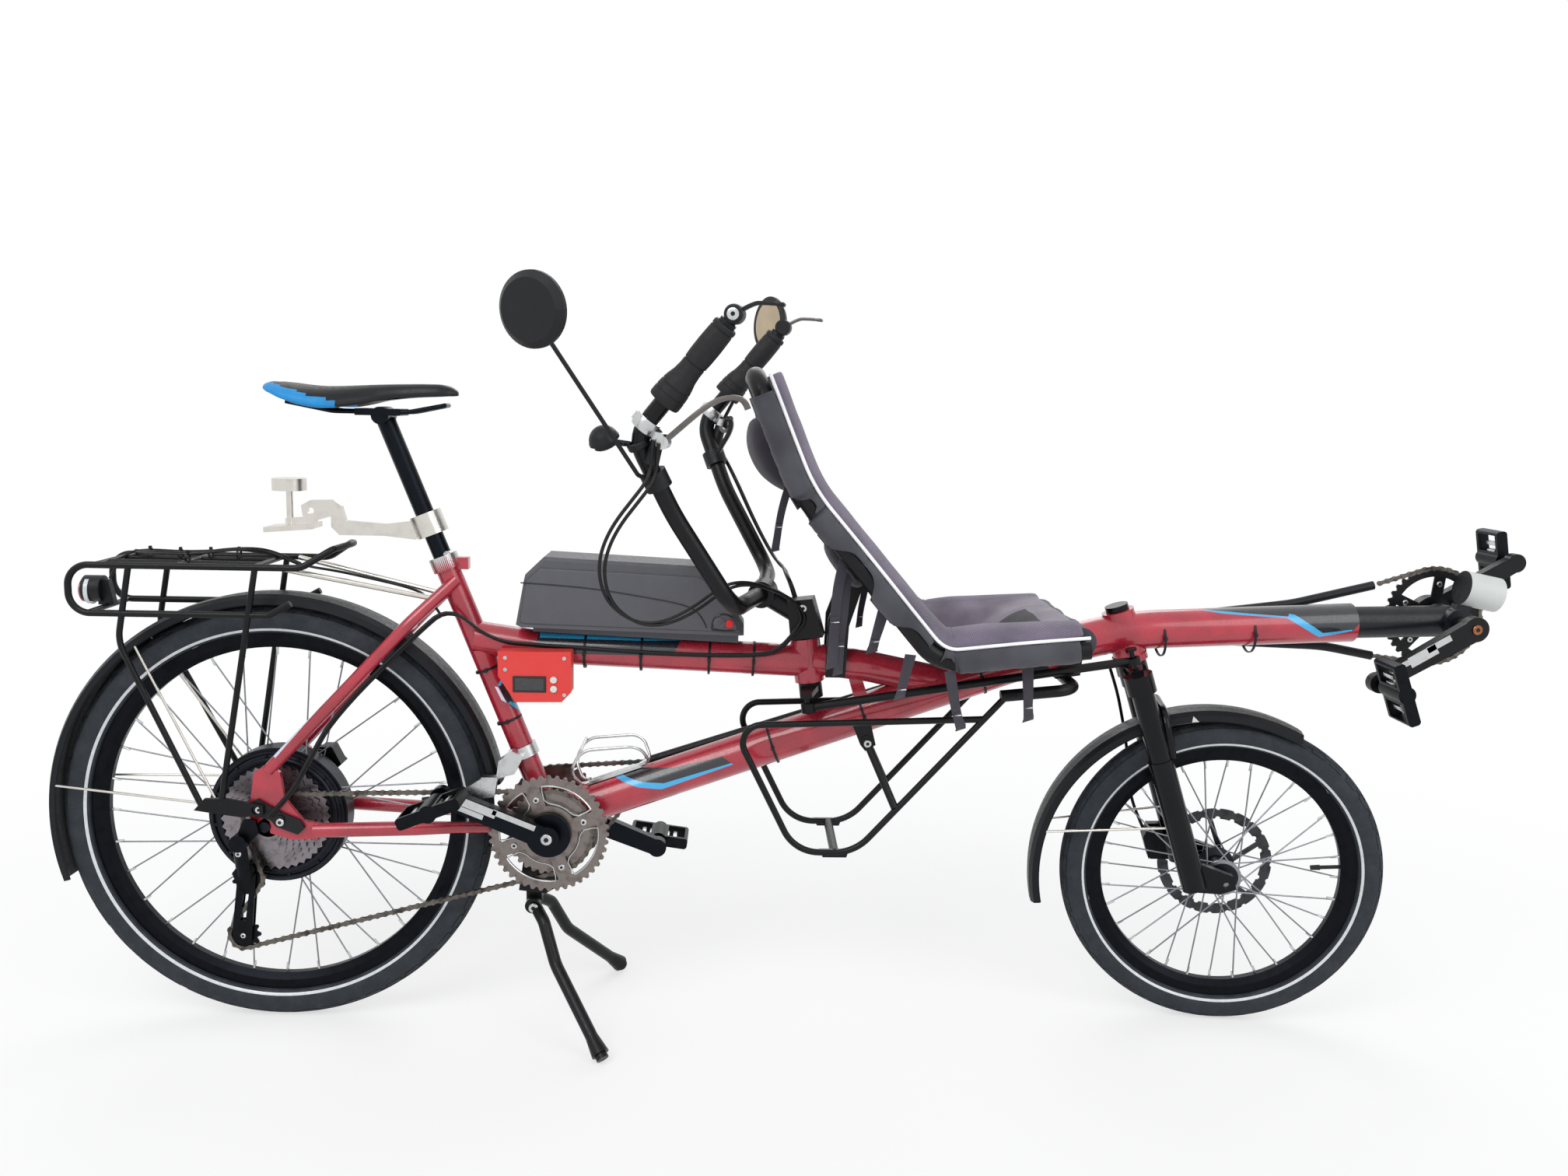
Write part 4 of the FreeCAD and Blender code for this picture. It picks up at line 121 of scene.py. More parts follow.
class Tree:
    """Node tree of one material or world, with one call that adds a node."""

    def __init__(self, owner: bpy.types.Material | bpy.types.World) -> None:
        """Starts an empty tree.

        Args:
            owner: New material or world.
        """
        self.owner = owner
        owner.use_nodes = True
        self.nodes = owner.node_tree.nodes
        self.links = owner.node_tree.links
        self.nodes.clear()

    def add(self, kind: str, inputs: dict | None = None, **settings: object) -> bpy.types.Node:
        """Adds a node with its settings and fills its inputs.

        Args:
            kind: Node type name without the ShaderNode prefix.
            inputs: Input name or index to a value, or to the output socket that feeds it.
            settings: Properties of the node.

        Returns:
            The new node.
        """
        node = self.nodes.new("ShaderNode" + kind)
        for key, value in settings.items():
            setattr(node, key, value)
        for key, value in (inputs or {}).items():
            if isinstance(value, bpy.types.NodeSocket):
                self.links.new(value, node.inputs[key])
            else:
                node.inputs[key].default_value = value
        return node

    def blend(self, share: object, first: object, second: object) -> bpy.types.NodeSocket:
        """Colour that goes from first to second with a share; returns its socket."""
        mix = self.add("Mix", {0: share, 6: first, 7: second}, data_type="RGBA")
        return mix.outputs[2]

    def spread(self, value: object, low: float, high: float, out_low: float, out_high: float) -> bpy.types.NodeSocket:
        """Value mapped from one range to another and clamped; returns its socket."""
        node = self.add("MapRange", {0: value, 1: low, 2: high, 3: out_low, 4: out_high})
        return node.outputs[0]

    def noise(self, where: object, millimetres: float, detail: float = 3.0) -> bpy.types.NodeSocket:
        """Noise with features of a real size; returns its value socket."""
        node = self.add("TexNoise", {"Vector": where, "Scale": per_metre(millimetres), "Detail": detail})
        return node.outputs[0]

    def bump(self, height: object, millimetres: float, strength: float = 1.0,
             under: object = None) -> bpy.types.NodeSocket:
        """Bump of a real depth.

        Args:
            height: Value or socket that is raised.
            millimetres: Depth of the relief.
            strength: Share of the depth that shows.
            under: Normal that it is laid over.

        Returns:
            Normal socket.
        """
        inputs = {"Height": height, "Distance": millimetres / 1000, "Strength": strength}
        if under is not None:
            inputs["Normal"] = under
        return self.add("Bump", inputs).outputs[0]

    def math(self, operation: str, first: object, second: object = 0.0) -> bpy.types.NodeSocket:
        """Result of one sum; returns its value socket."""
        return self.add("Math", {0: first, 1: second}, operation=operation).outputs[0]

    def background(self) -> bpy.types.NodeSocket:
        """Share that picks out the rays that show a background: camera, mirror and glass rays.

        Returns:
            Socket that is 1 for them.
        """
        ray = self.add("LightPath").outputs
        seen = self.math("MAXIMUM", ray["Is Camera Ray"], ray["Is Glossy Ray"])
        return self.math("MAXIMUM", seen, ray["Is Transmission Ray"])

    def finish(self, shader: bpy.types.Node) -> bpy.types.Material | bpy.types.World:
        """Joins a shader to the output.

        Args:
            shader: Last node of the tree.

        Returns:
            The material or world.
        """
        self.add("OutputWorld" if isinstance(self.owner, bpy.types.World) else "OutputMaterial",
                 {"Surface": shader.outputs[0]})
        return self.owner


@dataclass(frozen=True)
class Mark:
    """Flat painted stripe: a convex outline of stations and heights in millimetres, seen from the side."""

    colour: str
    outline: tuple[tuple[float, float], ...]

    def mask(self, tree: Tree, position: bpy.types.NodeSocket) -> bpy.types.NodeSocket:
        """Adds the nodes that are 1 inside the outline.

        Args:
            tree: Tree that gets the nodes.
            position: Object coordinates in metres.

        Returns:
            Socket with 1 inside and 0 outside.
        """
        inside = None
        count = len(self.outline)
        sides = [(*self.outline[i], *self.outline[(i + 1) % count]) for i in range(count)]
        area = sum(x1 * z2 - x2 * z1 for x1, z1, x2, z2 in sides)
        for x1, z1, x2, z2 in sides:
            long = math.hypot(x2 - x1, z2 - z1) * (1 if area > 0 else -1)
            across = (-(z2 - z1) / long, 0.0, (x2 - x1) / long)
            corner = at(x1, 0, z1)
            start = across[0] * corner.x + across[2] * corner.z
            dot = tree.add("VectorMath", {0: position, 1: across}, operation="DOT_PRODUCT").outputs["Value"]
            past = tree.math("GREATER_THAN", dot, start)
            inside = past if inside is None else tree.math("MULTIPLY", inside, past)
        return inside


@dataclass(frozen=True)
class Paint:
    """Enamel or powder coat sprayed on aluminium or steel tube.

    Wet-looking top coat with a slight orange peel, a little dust on what faces up and fine rubbed marks.
    """

    name: str
    colour: str
    shade: str
    roughness: float = 0.3
    coat: float = 0.6
    dust: float = 0.10
    peel: float = 0.03
    gloss: float = 0.5
    marks: tuple[Mark, ...] = ()

    def make(self) -> bpy.types.Material:
        """Builds the material.

        Returns:
            The material.
        """
        tree = Tree(bpy.data.materials.new(self.name))
        where = tree.add("TexCoord").outputs["Object"]
        colour = tree.blend(tree.spread(tree.noise(where, 45), 0.35, 0.65, 0, 1), linear(self.shade),
                            linear(self.colour))
        for mark in self.marks:
            colour = tree.blend(mark.mask(tree, where), colour, linear(mark.colour))
        normal_up = tree.add("SeparateXYZ", {0: tree.add("NewGeometry").outputs["Normal"]}).outputs["Z"]
        lying = tree.spread(normal_up, 0.2, 1.0, 0.0, self.dust)
        speck = tree.math("MULTIPLY", lying, tree.spread(tree.noise(where, 9, 5), 0.4, 0.62, 0.2, 1.0))
        colour = tree.blend(speck, colour, linear(DUST))
        rub = tree.spread(tree.noise(where, 3.5, 6), 0.35, 0.7, self.roughness - 0.05, self.roughness + 0.14)
        shader = tree.add("BsdfPrincipled", {
            "Base Color": colour, "Roughness": rub, "Normal": tree.bump(tree.noise(where, 2.2, 2), self.peel),
        })
        shader.inputs["Coat Weight"].default_value = self.coat
        shader.inputs["Coat Roughness"].default_value = 0.08
        shader.inputs["Specular IOR Level"].default_value = self.gloss
        return tree.finish(shader)


class Working(Enum):
    """How the surface of a bare metal was made."""

    BRUSHED = "drawn along one way"
    CAST = "cast or blasted"
    TURNED = "turned or rolled"


@dataclass(frozen=True)
class BareMetal:
    """Bare or anodised metal.

    Reflections are broken up by the way it was worked, and old grease darkens it in patches.
    """

    name: str
    colour: str
    grime: str = "3A332D"
    roughness: float = 0.32
    working: Working = Working.TURNED
    dirt: float = 0.25
    grain: float = 1.2

    def make(self) -> bpy.types.Material:
        """Builds the material.

        Returns:
            The material.
        """
        tree = Tree(bpy.data.materials.new(self.name))
        where = tree.add("TexCoord").outputs["Object"]
        stretch = (1.0, 1.0, 14.0) if self.working is Working.BRUSHED else (1.0, 1.0, 1.0)
        drawn = tree.add("Mapping", {"Vector": where, "Scale": stretch}).outputs[0]
        grain = tree.noise(drawn, self.grain, 4)
        patch = tree.spread(tree.noise(where, 14, 5), 0.48, 0.68, 0.0, self.dirt)
        colour = tree.blend(patch, linear(self.colour), linear(self.grime))
        rough = tree.spread(grain, 0.3, 0.7, self.roughness - 0.07, self.roughness + 0.13)
        depth = 0.05 if self.working is Working.CAST else 0.015
        shader = tree.add("BsdfPrincipled",
                          {"Base Color": colour, "Roughness": rough, "Normal": tree.bump(grain, depth)})
        shader.inputs["Metallic"].default_value = 1.0
        return tree.finish(shader)


@dataclass(frozen=True)
class Moulded:
    """Injection-moulded plastic or rubber.

    A fine spark-eroded grain, no metal, and a grey bloom where hands and dust reach.
    """

    name: str
    colour: str
    worn: str
    roughness: float = 0.5
    grain: float = 0.8
    depth: float = 0.06
    bloom: float = 0.25
    coat: float = 0.0
    gloss: float = 0.3

    def make(self) -> bpy.types.Material:
        """Builds the material, with its grain drawn coarser than the real 0.2 mm so that it shows.

        Returns:
            The material.
        """
        tree = Tree(bpy.data.materials.new(self.name))
        where = tree.add("TexCoord").outputs["Object"]
        normal_up = tree.add("SeparateXYZ", {0: tree.add("NewGeometry").outputs["Normal"]}).outputs["Z"]
        patch = tree.spread(tree.noise(where, 22, 5), 0.42, 0.66, 0.0, self.bloom)
        lying = tree.spread(normal_up, 0.1, 1.0, 0.35, 1.0)
        share = tree.math("MULTIPLY", patch, lying)
        colour = tree.blend(share, linear(self.colour), linear(self.worn))
        grain = tree.noise(where, self.grain, 2)
        rough = tree.spread(tree.noise(where, 6, 3), 0.3, 0.7, self.roughness - 0.06, self.roughness + 0.1)
        shader = tree.add("BsdfPrincipled",
                          {"Base Color": colour, "Roughness": rough, "Normal": tree.bump(grain, self.depth)})
        shader.inputs["Specular IOR Level"].default_value = self.gloss
        shader.inputs["Coat Weight"].default_value = self.coat
        shader.inputs["Coat Roughness"].default_value = 0.06
        return tree.finish(shader)


@dataclass(frozen=True)
class Cloth:
    """Woven or knitted polyester. Reads the piece's own UV map, which is in metres along the surface.

    Threads cross at a real pitch, the low places between them are darkened by a painted shade colour that is deepest in
    the holes of open meshes, and the weave has a soft sheen.
    """

    name: str
    thread: str
    # painted shade colour for the low places between threads and the holes of open meshes
    gap: str
    pitch: float = 1.6
    depth: float = 0.35
    # how much deeper the painted shade gets in the open holes
    holes: float = 0.0
    sheen: float = 0.25
    roughness: float = 0.85
    across: float = 1.0

    def make(self) -> bpy.types.Material:
        """Builds the material.

        Returns:
            The material.
        """
        tree = Tree(bpy.data.materials.new(self.name))
        place = tree.add("UVMap").outputs[0]
        warp = tree.add("SeparateXYZ", {0: place})
        turns = 2 * math.pi * per_metre(self.pitch)
        along = tree.math("SINE", tree.math("MULTIPLY", warp.outputs[0], turns))
        over = tree.math("SINE", tree.math("MULTIPLY", warp.outputs[1], turns * self.across))
        weave = tree.math("MULTIPLY", along, over)
        raised = tree.spread(weave, -1.0, 1.0, 0.0, 1.0)
        where = tree.add("TexCoord").outputs["Object"]
        faded = tree.spread(tree.noise(where, 60, 4), 0.35, 0.65, 0.0, 1.0)
        thread = tree.blend(faded, linear(self.thread), linear(self.thread_faded()))
        # painted shade: the low places of the weave are blended towards the shade colour, most in open meshes
        dark = tree.spread(raised, 0.0, 0.45, 0.35 + 0.65 * self.holes, 0.0)
        colour = tree.blend(dark, thread, linear(self.gap))
        fuzz = tree.noise(where, 0.9, 3)
        height = tree.math("ADD", raised, fuzz)
        shader = tree.add("BsdfPrincipled",
                          {"Base Color": colour, "Roughness": self.roughness, "Normal": tree.bump(height, self.depth)})
        shader.inputs["Sheen Weight"].default_value = self.sheen
        shader.inputs["Sheen Roughness"].default_value = 0.5
        shader.inputs["Specular IOR Level"].default_value = 0.25
        return tree.finish(shader)

    def thread_faded(self) -> str:
        """Thread colour a little lighter, as sun and wear leave it."""
        digits = self.thread.lstrip("#")
        return "".join(f"{min(255, int(int(digits[i:i + 2], 16) * 1.18 + 6)):02X}" for i in (0, 2, 4))


@dataclass(frozen=True)
class Glassy:
    """Clear or coloured plastic lens, or silvered glass, smooth with faint moulding waves."""

    name: str
    colour: str
    roughness: float = 0.08
    metallic: float = 0.0
    wave: float = 6.0

    def make(self) -> bpy.types.Material:
        """Builds the material.

        Returns:
            The material.
        """
        tree = Tree(bpy.data.materials.new(self.name))
        where = tree.add("TexCoord").outputs["Object"]
        ripple = tree.noise(where, self.wave, 1)
        smear = tree.spread(tree.noise(where, 12, 4), 0.4, 0.7, self.roughness, self.roughness + 0.12)
        shade = tree.blend(tree.spread(ripple, 0.3, 0.7, 0.0, 0.15), linear(self.colour), linear("50545A"))
        shader = tree.add("BsdfPrincipled",
                          {"Base Color": shade, "Roughness": smear, "Normal": tree.bump(ripple, 0.03)})
        shader.inputs["Metallic"].default_value = self.metallic
        if not self.metallic:
            shader.inputs["IOR"].default_value = 1.5
            shader.inputs["Coat Weight"].default_value = 0.8
        return tree.finish(shader)


Finish = Paint | BareMetal | Moulded | Cloth | Glassy
_made: dict[str, bpy.types.Material] = {}


def material(finish: Finish) -> bpy.types.Material:
    """Material of a finish, made once.

    Args:
        finish: Finish that is asked for.

    Returns:
        Its material.
    """
    if finish.name not in _made:
        _made[finish.name] = finish.make()
    return _made[finish.name]


# finishes of this bicycle

BLUE, SLATE, PALE = "35A8DC", "1A1D24", "D9DCEC"
BOOM_MARKS = (
    Mark(SLATE, ((1370, 720), (1664, 720), (1664, 668), (1554, 665), (1452, 669), (1370, 675))),
    Mark(SLATE, ((1553, 669), (1664, 669), (1662, 657), (1652, 643), (1605, 637), (1554, 664))),
    Mark(BLUE, ((1404, 672), (1452, 669.5), (1554, 667.5), (1551, 662), (1452, 666.5))),
    Mark(BLUE, ((1550, 662), (1554, 668.5), (1563, 667), (1609, 638.5), (1603, 633), (1594, 637))),
    Mark(BLUE, ((1601, 633), (1606, 640), (1652, 646.5), (1652, 644))),
    Mark(SLATE, ((518, 398), (552, 407), (610, 413), (610, 392), (593, 388), (557, 389))),
    Mark(SLATE, ((609, 413), (682, 432), (697, 422), (609, 391))),
    Mark(BLUE, ((511, 394), (519, 398), (558, 390), (552, 382))),
    Mark(BLUE, ((557, 390), (594, 389), (590, 379), (551, 382))),
    Mark(BLUE, ((593, 389), (697, 422.5), (699, 420), (590, 379))),
)
TOP_MARKS = (
    Mark(SLATE, ((400, 620), (617, 611), (603, 588), (394, 589))),
    Mark(BLUE, ((400, 624), (555, 616), (555, 609), (402, 612))),
    Mark(BLUE, ((554, 616), (618, 611), (617, 609.5), (554, 609))),
)
SEAT_TUBE_MARKS = (
    Mark(SLATE, ((347, 552), (338, 537), (349, 512), (356, 505), (373, 490), (372, 514))),
    Mark(BLUE, ((347, 554), (337, 537), (341, 535), (349, 549))),
    Mark(BLUE, ((353, 509), (373, 490), (372, 498), (356, 511))),
    Mark(PALE, ((333, 535), (338, 534), (351, 509), (343, 514))),
)
STAY_MARKS = (
    Mark(BLUE, ((85, 523), (88.5, 520.5), (16, 436), (9, 443))),
    Mark(PALE, ((88, 521), (90, 519), (19, 435), (15.5, 437))),
)

RED = Paint("red_enamel_on_aluminium", "B02236", "981B2D", 0.27, 0.7, 0.04)
RED_BOOM = replace(RED, name="red_enamel_with_boom_stripes", marks=BOOM_MARKS)
RED_TOP = replace(RED, name="red_enamel_with_top_bar", marks=TOP_MARKS)
RED_SEAT_TUBE = replace(RED, name="red_enamel_with_seat_tube_stripes", marks=SEAT_TUBE_MARKS)
RED_STAYS = replace(RED, name="red_enamel_with_stay_stripe", marks=STAY_MARKS)
BLACK = Paint("black_powder_coat_on_steel", "0E0F13", "090A0C", 0.36, 0.05, 0.02, gloss=0.22)
GLOSS = Paint("gloss_black_enamel_on_magnesium", "08090C", "0C0D11", 0.16, 0.10, 0.01, 0.015, gloss=0.16)
BOOM = Paint("black_anodised_boom", "12161D", "0D1015", 0.33, 0.05, 0.03, gloss=0.3)
DARK_ALLOY = BareMetal("black_anodised_aluminium", "1C1F24", "101113", 0.30, Working.CAST, 0.2)
ALLOY = BareMetal("machined_aluminium", "C9CBCC", "7A7670", 0.26, Working.TURNED, 0.25)
BRUSHED = BareMetal("brushed_stainless_steel", "D6D2CC", "8A857C", 0.24, Working.BRUSHED, 0.15)
RIM = BareMetal("black_anodised_rim", "1A1C20", "0E0E10", 0.34, Working.TURNED, 0.3)
SPOKE = BareMetal("drawn_stainless_spoke", "8E9196", "4A4846", 0.30, Working.TURNED, 0.3)
HUB = BareMetal("cast_hub_black", "2B2D33", "121316", 0.40, Working.CAST, 0.25)
DISC = BareMetal("ground_steel_disc", "47484B", "2E2824", 0.30, Working.TURNED, 0.5)
COG = BareMetal("nickel_plated_cog", "8B858A", "3A3433", 0.32, Working.TURNED, 0.45)
RING = BareMetal("worn_steel_chainring", "837B77", "4A3F38", 0.32, Working.TURNED, 0.5)
CHAIN = BareMetal("oiled_chain_steel", "6F6A64", "2A231E", 0.38, Working.TURNED, 0.7)
DARK_STEEL = BareMetal("black_oxide_steel", "1E2023", "101010", 0.38, Working.TURNED, 0.35)
TYRE = Moulded("tyre_rubber", "2A2E33", "4A5056", 0.74, 0.9, 0.12, 0.5)
STRIPE = Glassy("reflective_tyre_band", "D8DCDD", 0.35)
GRIP = Moulded("grip_rubber", "1C1C1E", "2E2E30", 0.6, 0.8, 0.14, 0.3)
ABS = Moulded("moulded_black_abs", "131418", "26282C", 0.46, 0.7, 0.05, 0.2)
CASE = Moulded("battery_case_abs", "55555A", "68686C", 0.46, 0.7, 0.06, 0.3)
CASE_TOP = Moulded("battery_lid_polycarbonate", "16171A", "3A3835", 0.24, 0.7, 0.02, 0.25, 0.4)
GUARD = Moulded("mudguard_polycarbonate", "0C1015", "1C2228", 0.40, 1.6, 0.03, 0.25, 0.0, 0.22)
RED_ABS = Moulded("red_printed_plastic", "D8403C", "E66A60", 0.50, 0.6, 0.09, 0.2)
LENS = Glassy("frosted_lamp_lens", "D5DCDE", 0.3)
RED_LENS = Glassy("red_lamp_lens", "7C0D12", 0.12)
MIRROR = Glassy("silvered_mirror_glass", "B9A88E", 0.03, 1.0, 30.0)
SADDLE = Moulded("saddle_vinyl", "121316", "26282C", 0.36, 1.1, 0.06, 0.2)
SADDLE_BLUE = Moulded("blue_saddle_vinyl", "1F86C6", "4FA9DC", 0.45, 1.1, 0.12, 0.2)
HOSE = Moulded("cable_housing_plastic", "141416", "2C2C2E", 0.42, 0.8, 0.03, 0.2)
# each weave's second colour is painted shade for the low places between its threads
MESH = Cloth("knitted_spacer_mesh", "655D6D", "2A2730", 4.0, 0.8, 0.45, 0.3)
PANEL = Cloth("plain_seat_weave", "6A626E", "423D47", 1.3, 0.25, 0.1, 0.35)
BAND = Cloth("coated_side_weave", "3E3E44", "2B2B30", 1.5, 0.25, 0.1, 0.2, 0.7)
OPEN_MESH = Cloth("open_black_mesh", "24232A", "08080A", 3.0, 0.9, 0.9, 0.2)
PIPING = Cloth("reflective_piping", "F4F3F6", "DCDBDF", 1.0, 0.15, 0.0, 0.2, 0.7)
WEBBING = Cloth("polyester_webbing", "35323A", "201E24", 1.7, 0.3, 0.2, 0.25)
POUCH = Cloth("ripstop_pouch", "2F2C34", "211F26", 1.4, 0.3, 0.1, 0.3)
PALE_CAP = Moulded("pale_lamp_housing", "C6C9C6", "B2B5B1", 0.42, 0.8, 0.03, 0.2)
COPPER = BareMetal("bronzed_crank_bolt", "A0694A", "4A3226", 0.32, Working.TURNED, 0.3)
# black nylon for the valve, and painted shade inside the bolts' hexagon sockets
BLACK_CAP_AND_SOCKET_SHADE = Moulded("black_nylon_cap_and_painted_socket_shade", "161618", "2C2C2E", 0.5)
RED_BUTTON = Moulded("red_silicone_button", "D42A2E", "E06A60", 0.4, 0.8, 0.03, 0.1)
WHITE_BUTTON = Moulded("white_silicone_button", "D8D6D0", "B5B2AC", 0.4, 0.8, 0.03, 0.2)
SCREEN = Glassy("smoked_display_window", "0B0C10", 0.08)
LEVER = BareMetal("forged_lever_alloy", "6E6A68", "3E3A38", 0.36, Working.CAST, 0.2)
TIE = Moulded("nylon_cable_tie", "17171A", "333336", 0.4, 0.8, 0.02, 0.1)

NODES_OF = (
    (TYRE, "rear_tyre front_tyre"), (RIM, "rear_rim front_rim"), (HUB, "rear_hub front_hub"), (COG, "cassette"),
    (DISC, "rear_disc front_disc"), (GLOSS, "fork_upper fork_lowers"), (GRIP, "grips"), (RING, "rear_chainrings"),
    (DARK_STEEL, "front_caliper rear_caliper rear_derailleur"),
    (DARK_STEEL, "rear_right_pedal rear_left_pedal front_right_pedal front_left_pedal"),
    (GUARD, "front_mudguard rear_mudguard"), (DARK_ALLOY, "bar_controls rear_cranks seat_post"),
    (BLACK, "stem handlebar tie_rod stand front_cranks front_chainring"), (BLACK, "stand_bracket rear_rack low_rack"),
    (BLACK, "seat_frame seat_bracket"),
    (ABS, "mirrors dropout_inserts chain_tubes front_lamp tail_lamp"), (HOSE, "bar_cables frame_cables"),
    (RED_BOOM, "main_tube"), (RED_SEAT_TUBE, "seat_tube"), (RED_TOP, "top_tube"), (RED, "chain_stays"),
    (RED_STAYS, "seat_stays"),
    (CHAIN, "rear_chain front_chain"), (ALLOY, "front_derailleur bottle_cage"), (BOOM, "front_boom"),
    (BRUSHED, "rack_struts trailer_hitch"), (SADDLE, "saddle"), (CASE, "battery_pack"), (RED_ABS, "display_box"),
    (PANEL, "seat_cover"), (WEBBING, "seat_straps"),
)
NODE_FINISH = {node: finish for finish, nodes in NODES_OF for node in nodes.split()}


# mesh tools


def placed(name: str, bm: bmesh.types.BMesh, finishes: Sequence[Finish], body: str, stands_for: Sequence[str] = (),
           sharp: float = 40.0, outward: bool = True) -> bpy.types.Object:
    """Turns a bmesh into a finished piece that rides on a body.

    Args:
        name: Name of the piece.
        bm: Mesh in the frame's metres. It is freed.
        finishes: Finishes of the material slots, in order.
        body: CAD body that carries it.
        stands_for: CAD nodes that it replaces.
        sharp: Edges that turn by more degrees than this stay sharp.
        outward: Whether to recalculate the normals.

    Returns:
        The new object.
    """
    if outward:
        bmesh.ops.recalc_face_normals(bm, faces=bm.faces)
    mesh = bpy.data.meshes.new(name)
    bm.to_mesh(mesh)
    bm.free()
    mesh.shade_smooth()
    mesh.set_sharp_from_angle(angle=math.radians(sharp))
    for finish in finishes:
        mesh.materials.append(material(finish))
    obj = bpy.data.objects.new(name, mesh)
    bpy.context.scene.collection.objects.link(obj)
    if body:
        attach(obj, body)
    if stands_for:
        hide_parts(*stands_for)
    log.info("%s: %d faces on %s", name, len(mesh.polygons), body)
    return obj


def frame_along(direction: Vector) -> Matrix:
    """Rotation whose Z is a direction, with X as near as it can be to straight up.

    Args:
        direction: New Z.

    Returns:
        4 by 4 rotation.
    """
    lean = Vector((0, 0, 1))
    z = direction.normalized()
    x = lean - z * lean.dot(z)
    if x.length < 1e-6:
        x = Vector((1, 0, 0)) - z * z.x
    x.normalize()
    return Matrix((x, z.cross(x), z)).transposed().to_4x4()


def add_rod(bm: bmesh.types.BMesh, start: Vector, end: Vector, diameter: float, sides: int = 16, index: int = 0,
            end_diameter: float | None = None) -> list[bmesh.types.BMFace]:
    """Adds a round bar or cone between two points.

    Args:
        bm: Mesh that gets it.
        start: One end, in metres.
        end: Other end.
        diameter: In millimetres.
        sides: Faces round it.
        index: Material slot.
        end_diameter: Diameter at the other end, in millimetres.

    Returns:
        The new faces.
    """
    axis = end - start
    matrix = Matrix.Translation((start + end) / 2) @ frame_along(axis)
    made = bmesh.ops.create_cone(bm, cap_ends=True, segments=sides, radius1=diameter / 2000,
                                 radius2=(end_diameter or diameter) / 2000, depth=axis.length, matrix=matrix)
    faces = list({f for v in made["verts"] for f in v.link_faces})
    for face in faces:
        face.material_index = index
    return faces


def add_block(bm: bmesh.types.BMesh, centre: Vector, size: tuple[float, float, float], turn: Matrix | None = None,
              bevel: float = 1.0,
              index: int = 0) -> None:
    """Adds a block with rounded edges.

    Args:
        bm: Mesh that gets it.
        centre: In metres.
        size: Length, width and height in millimetres.
        turn: Rotation about its centre.
        bevel: Width of the rounded edges in millimetres.
        index: Material slot.
    """
    matrix = Matrix.Translation(centre) @ (turn or Matrix.Identity(4)) @ Matrix.Diagonal((*(s / 1000 for s in size), 1))
    made = bmesh.ops.create_cube(bm, size=1, matrix=matrix)
    faces = {f for v in made["verts"] for f in v.link_faces}
    for face in faces:
        face.material_index = index
    if bevel:
        edges = list({e for v in made["verts"] for e in v.link_edges})
        bmesh.ops.bevel(bm, geom=edges, offset=bevel / 1000, offset_type="OFFSET", affect="EDGES", segments=2,
                        profile=0.5, material=-1)


def add_ring(bm: bmesh.types.BMesh, centre: Vector, axis: Vector, section: Sequence[tuple[float, float]],
             steps: int = 48,
             indices: Sequence[int] = ()) -> None:
    """Spins a closed section of (radius, along) millimetres round an axis.

    Args:
        bm: Mesh that gets it.
        centre: Point on the axis, in metres.
        axis: Direction of the axis.
        section: Closed outline.
        steps: Segments round.
        indices: Material slot of each side of the section.
    """
    turn = Matrix.Translation(centre) @ frame_along(axis)
    verts = [bm.verts.new(turn @ Vector((r / 1000, 0, a / 1000))) for r, a in section]
    edges = [bm.edges.new((verts[i], verts[(i + 1) % len(verts)])) for i in range(len(verts))]
    before = set(bm.faces)
    bmesh.ops.spin(bm, geom=verts + edges, cent=centre, axis=axis.normalized(), angle=math.tau, steps=steps,
                   use_merge=True)
    if indices:
        sides = [((section[i][0] + section[(i + 1) % len(section)][0]) / 2,
                  (section[i][1] + section[(i + 1) % len(section)][1]) / 2)
                 for i in range(len(section))]
        back = turn.inverted()
        for face in set(bm.faces) - before:
            spot = back @ face.calc_center_median()
            radius, along = math.hypot(spot.x, spot.y) * 1000, spot.z * 1000
            nearest = min(range(len(sides)), key=lambda i: (sides[i][0] - radius) ** 2 + (sides[i][1] - along) ** 2)
            face.material_index = indices[nearest]


def spline_points(points: Sequence[Vector], resolution: int = 10) -> list[Vector]:
    """Points read from the smooth line that a route's points control.

    Args:
        points: Route in metres.
        resolution: Steps from one point of the route to the next.

    Returns:
        Points of the smooth line, in metres.
    """
    curve = bpy.data.curves.new("route", "CURVE")
    curve.dimensions = "3D"
    spline = curve.splines.new("NURBS")
    spline.points.add(len(points) - 1)
    for p, co in zip(spline.points, points):
        p.co = (*co, 1)
    spline.order_u = 3
    spline.use_endpoint_u = True
    spline.resolution_u = resolution
    holder = bpy.data.objects.new("route", curve)
    bpy.context.scene.collection.objects.link(holder)
    bpy.context.view_layer.update()
    mesh = bpy.data.meshes.new_from_object(holder.evaluated_get(bpy.context.evaluated_depsgraph_get()))
    line = [v.co.copy() for v in mesh.vertices]
    bpy.data.objects.remove(holder)
    bpy.data.curves.remove(curve)
    bpy.data.meshes.remove(mesh)
    return line


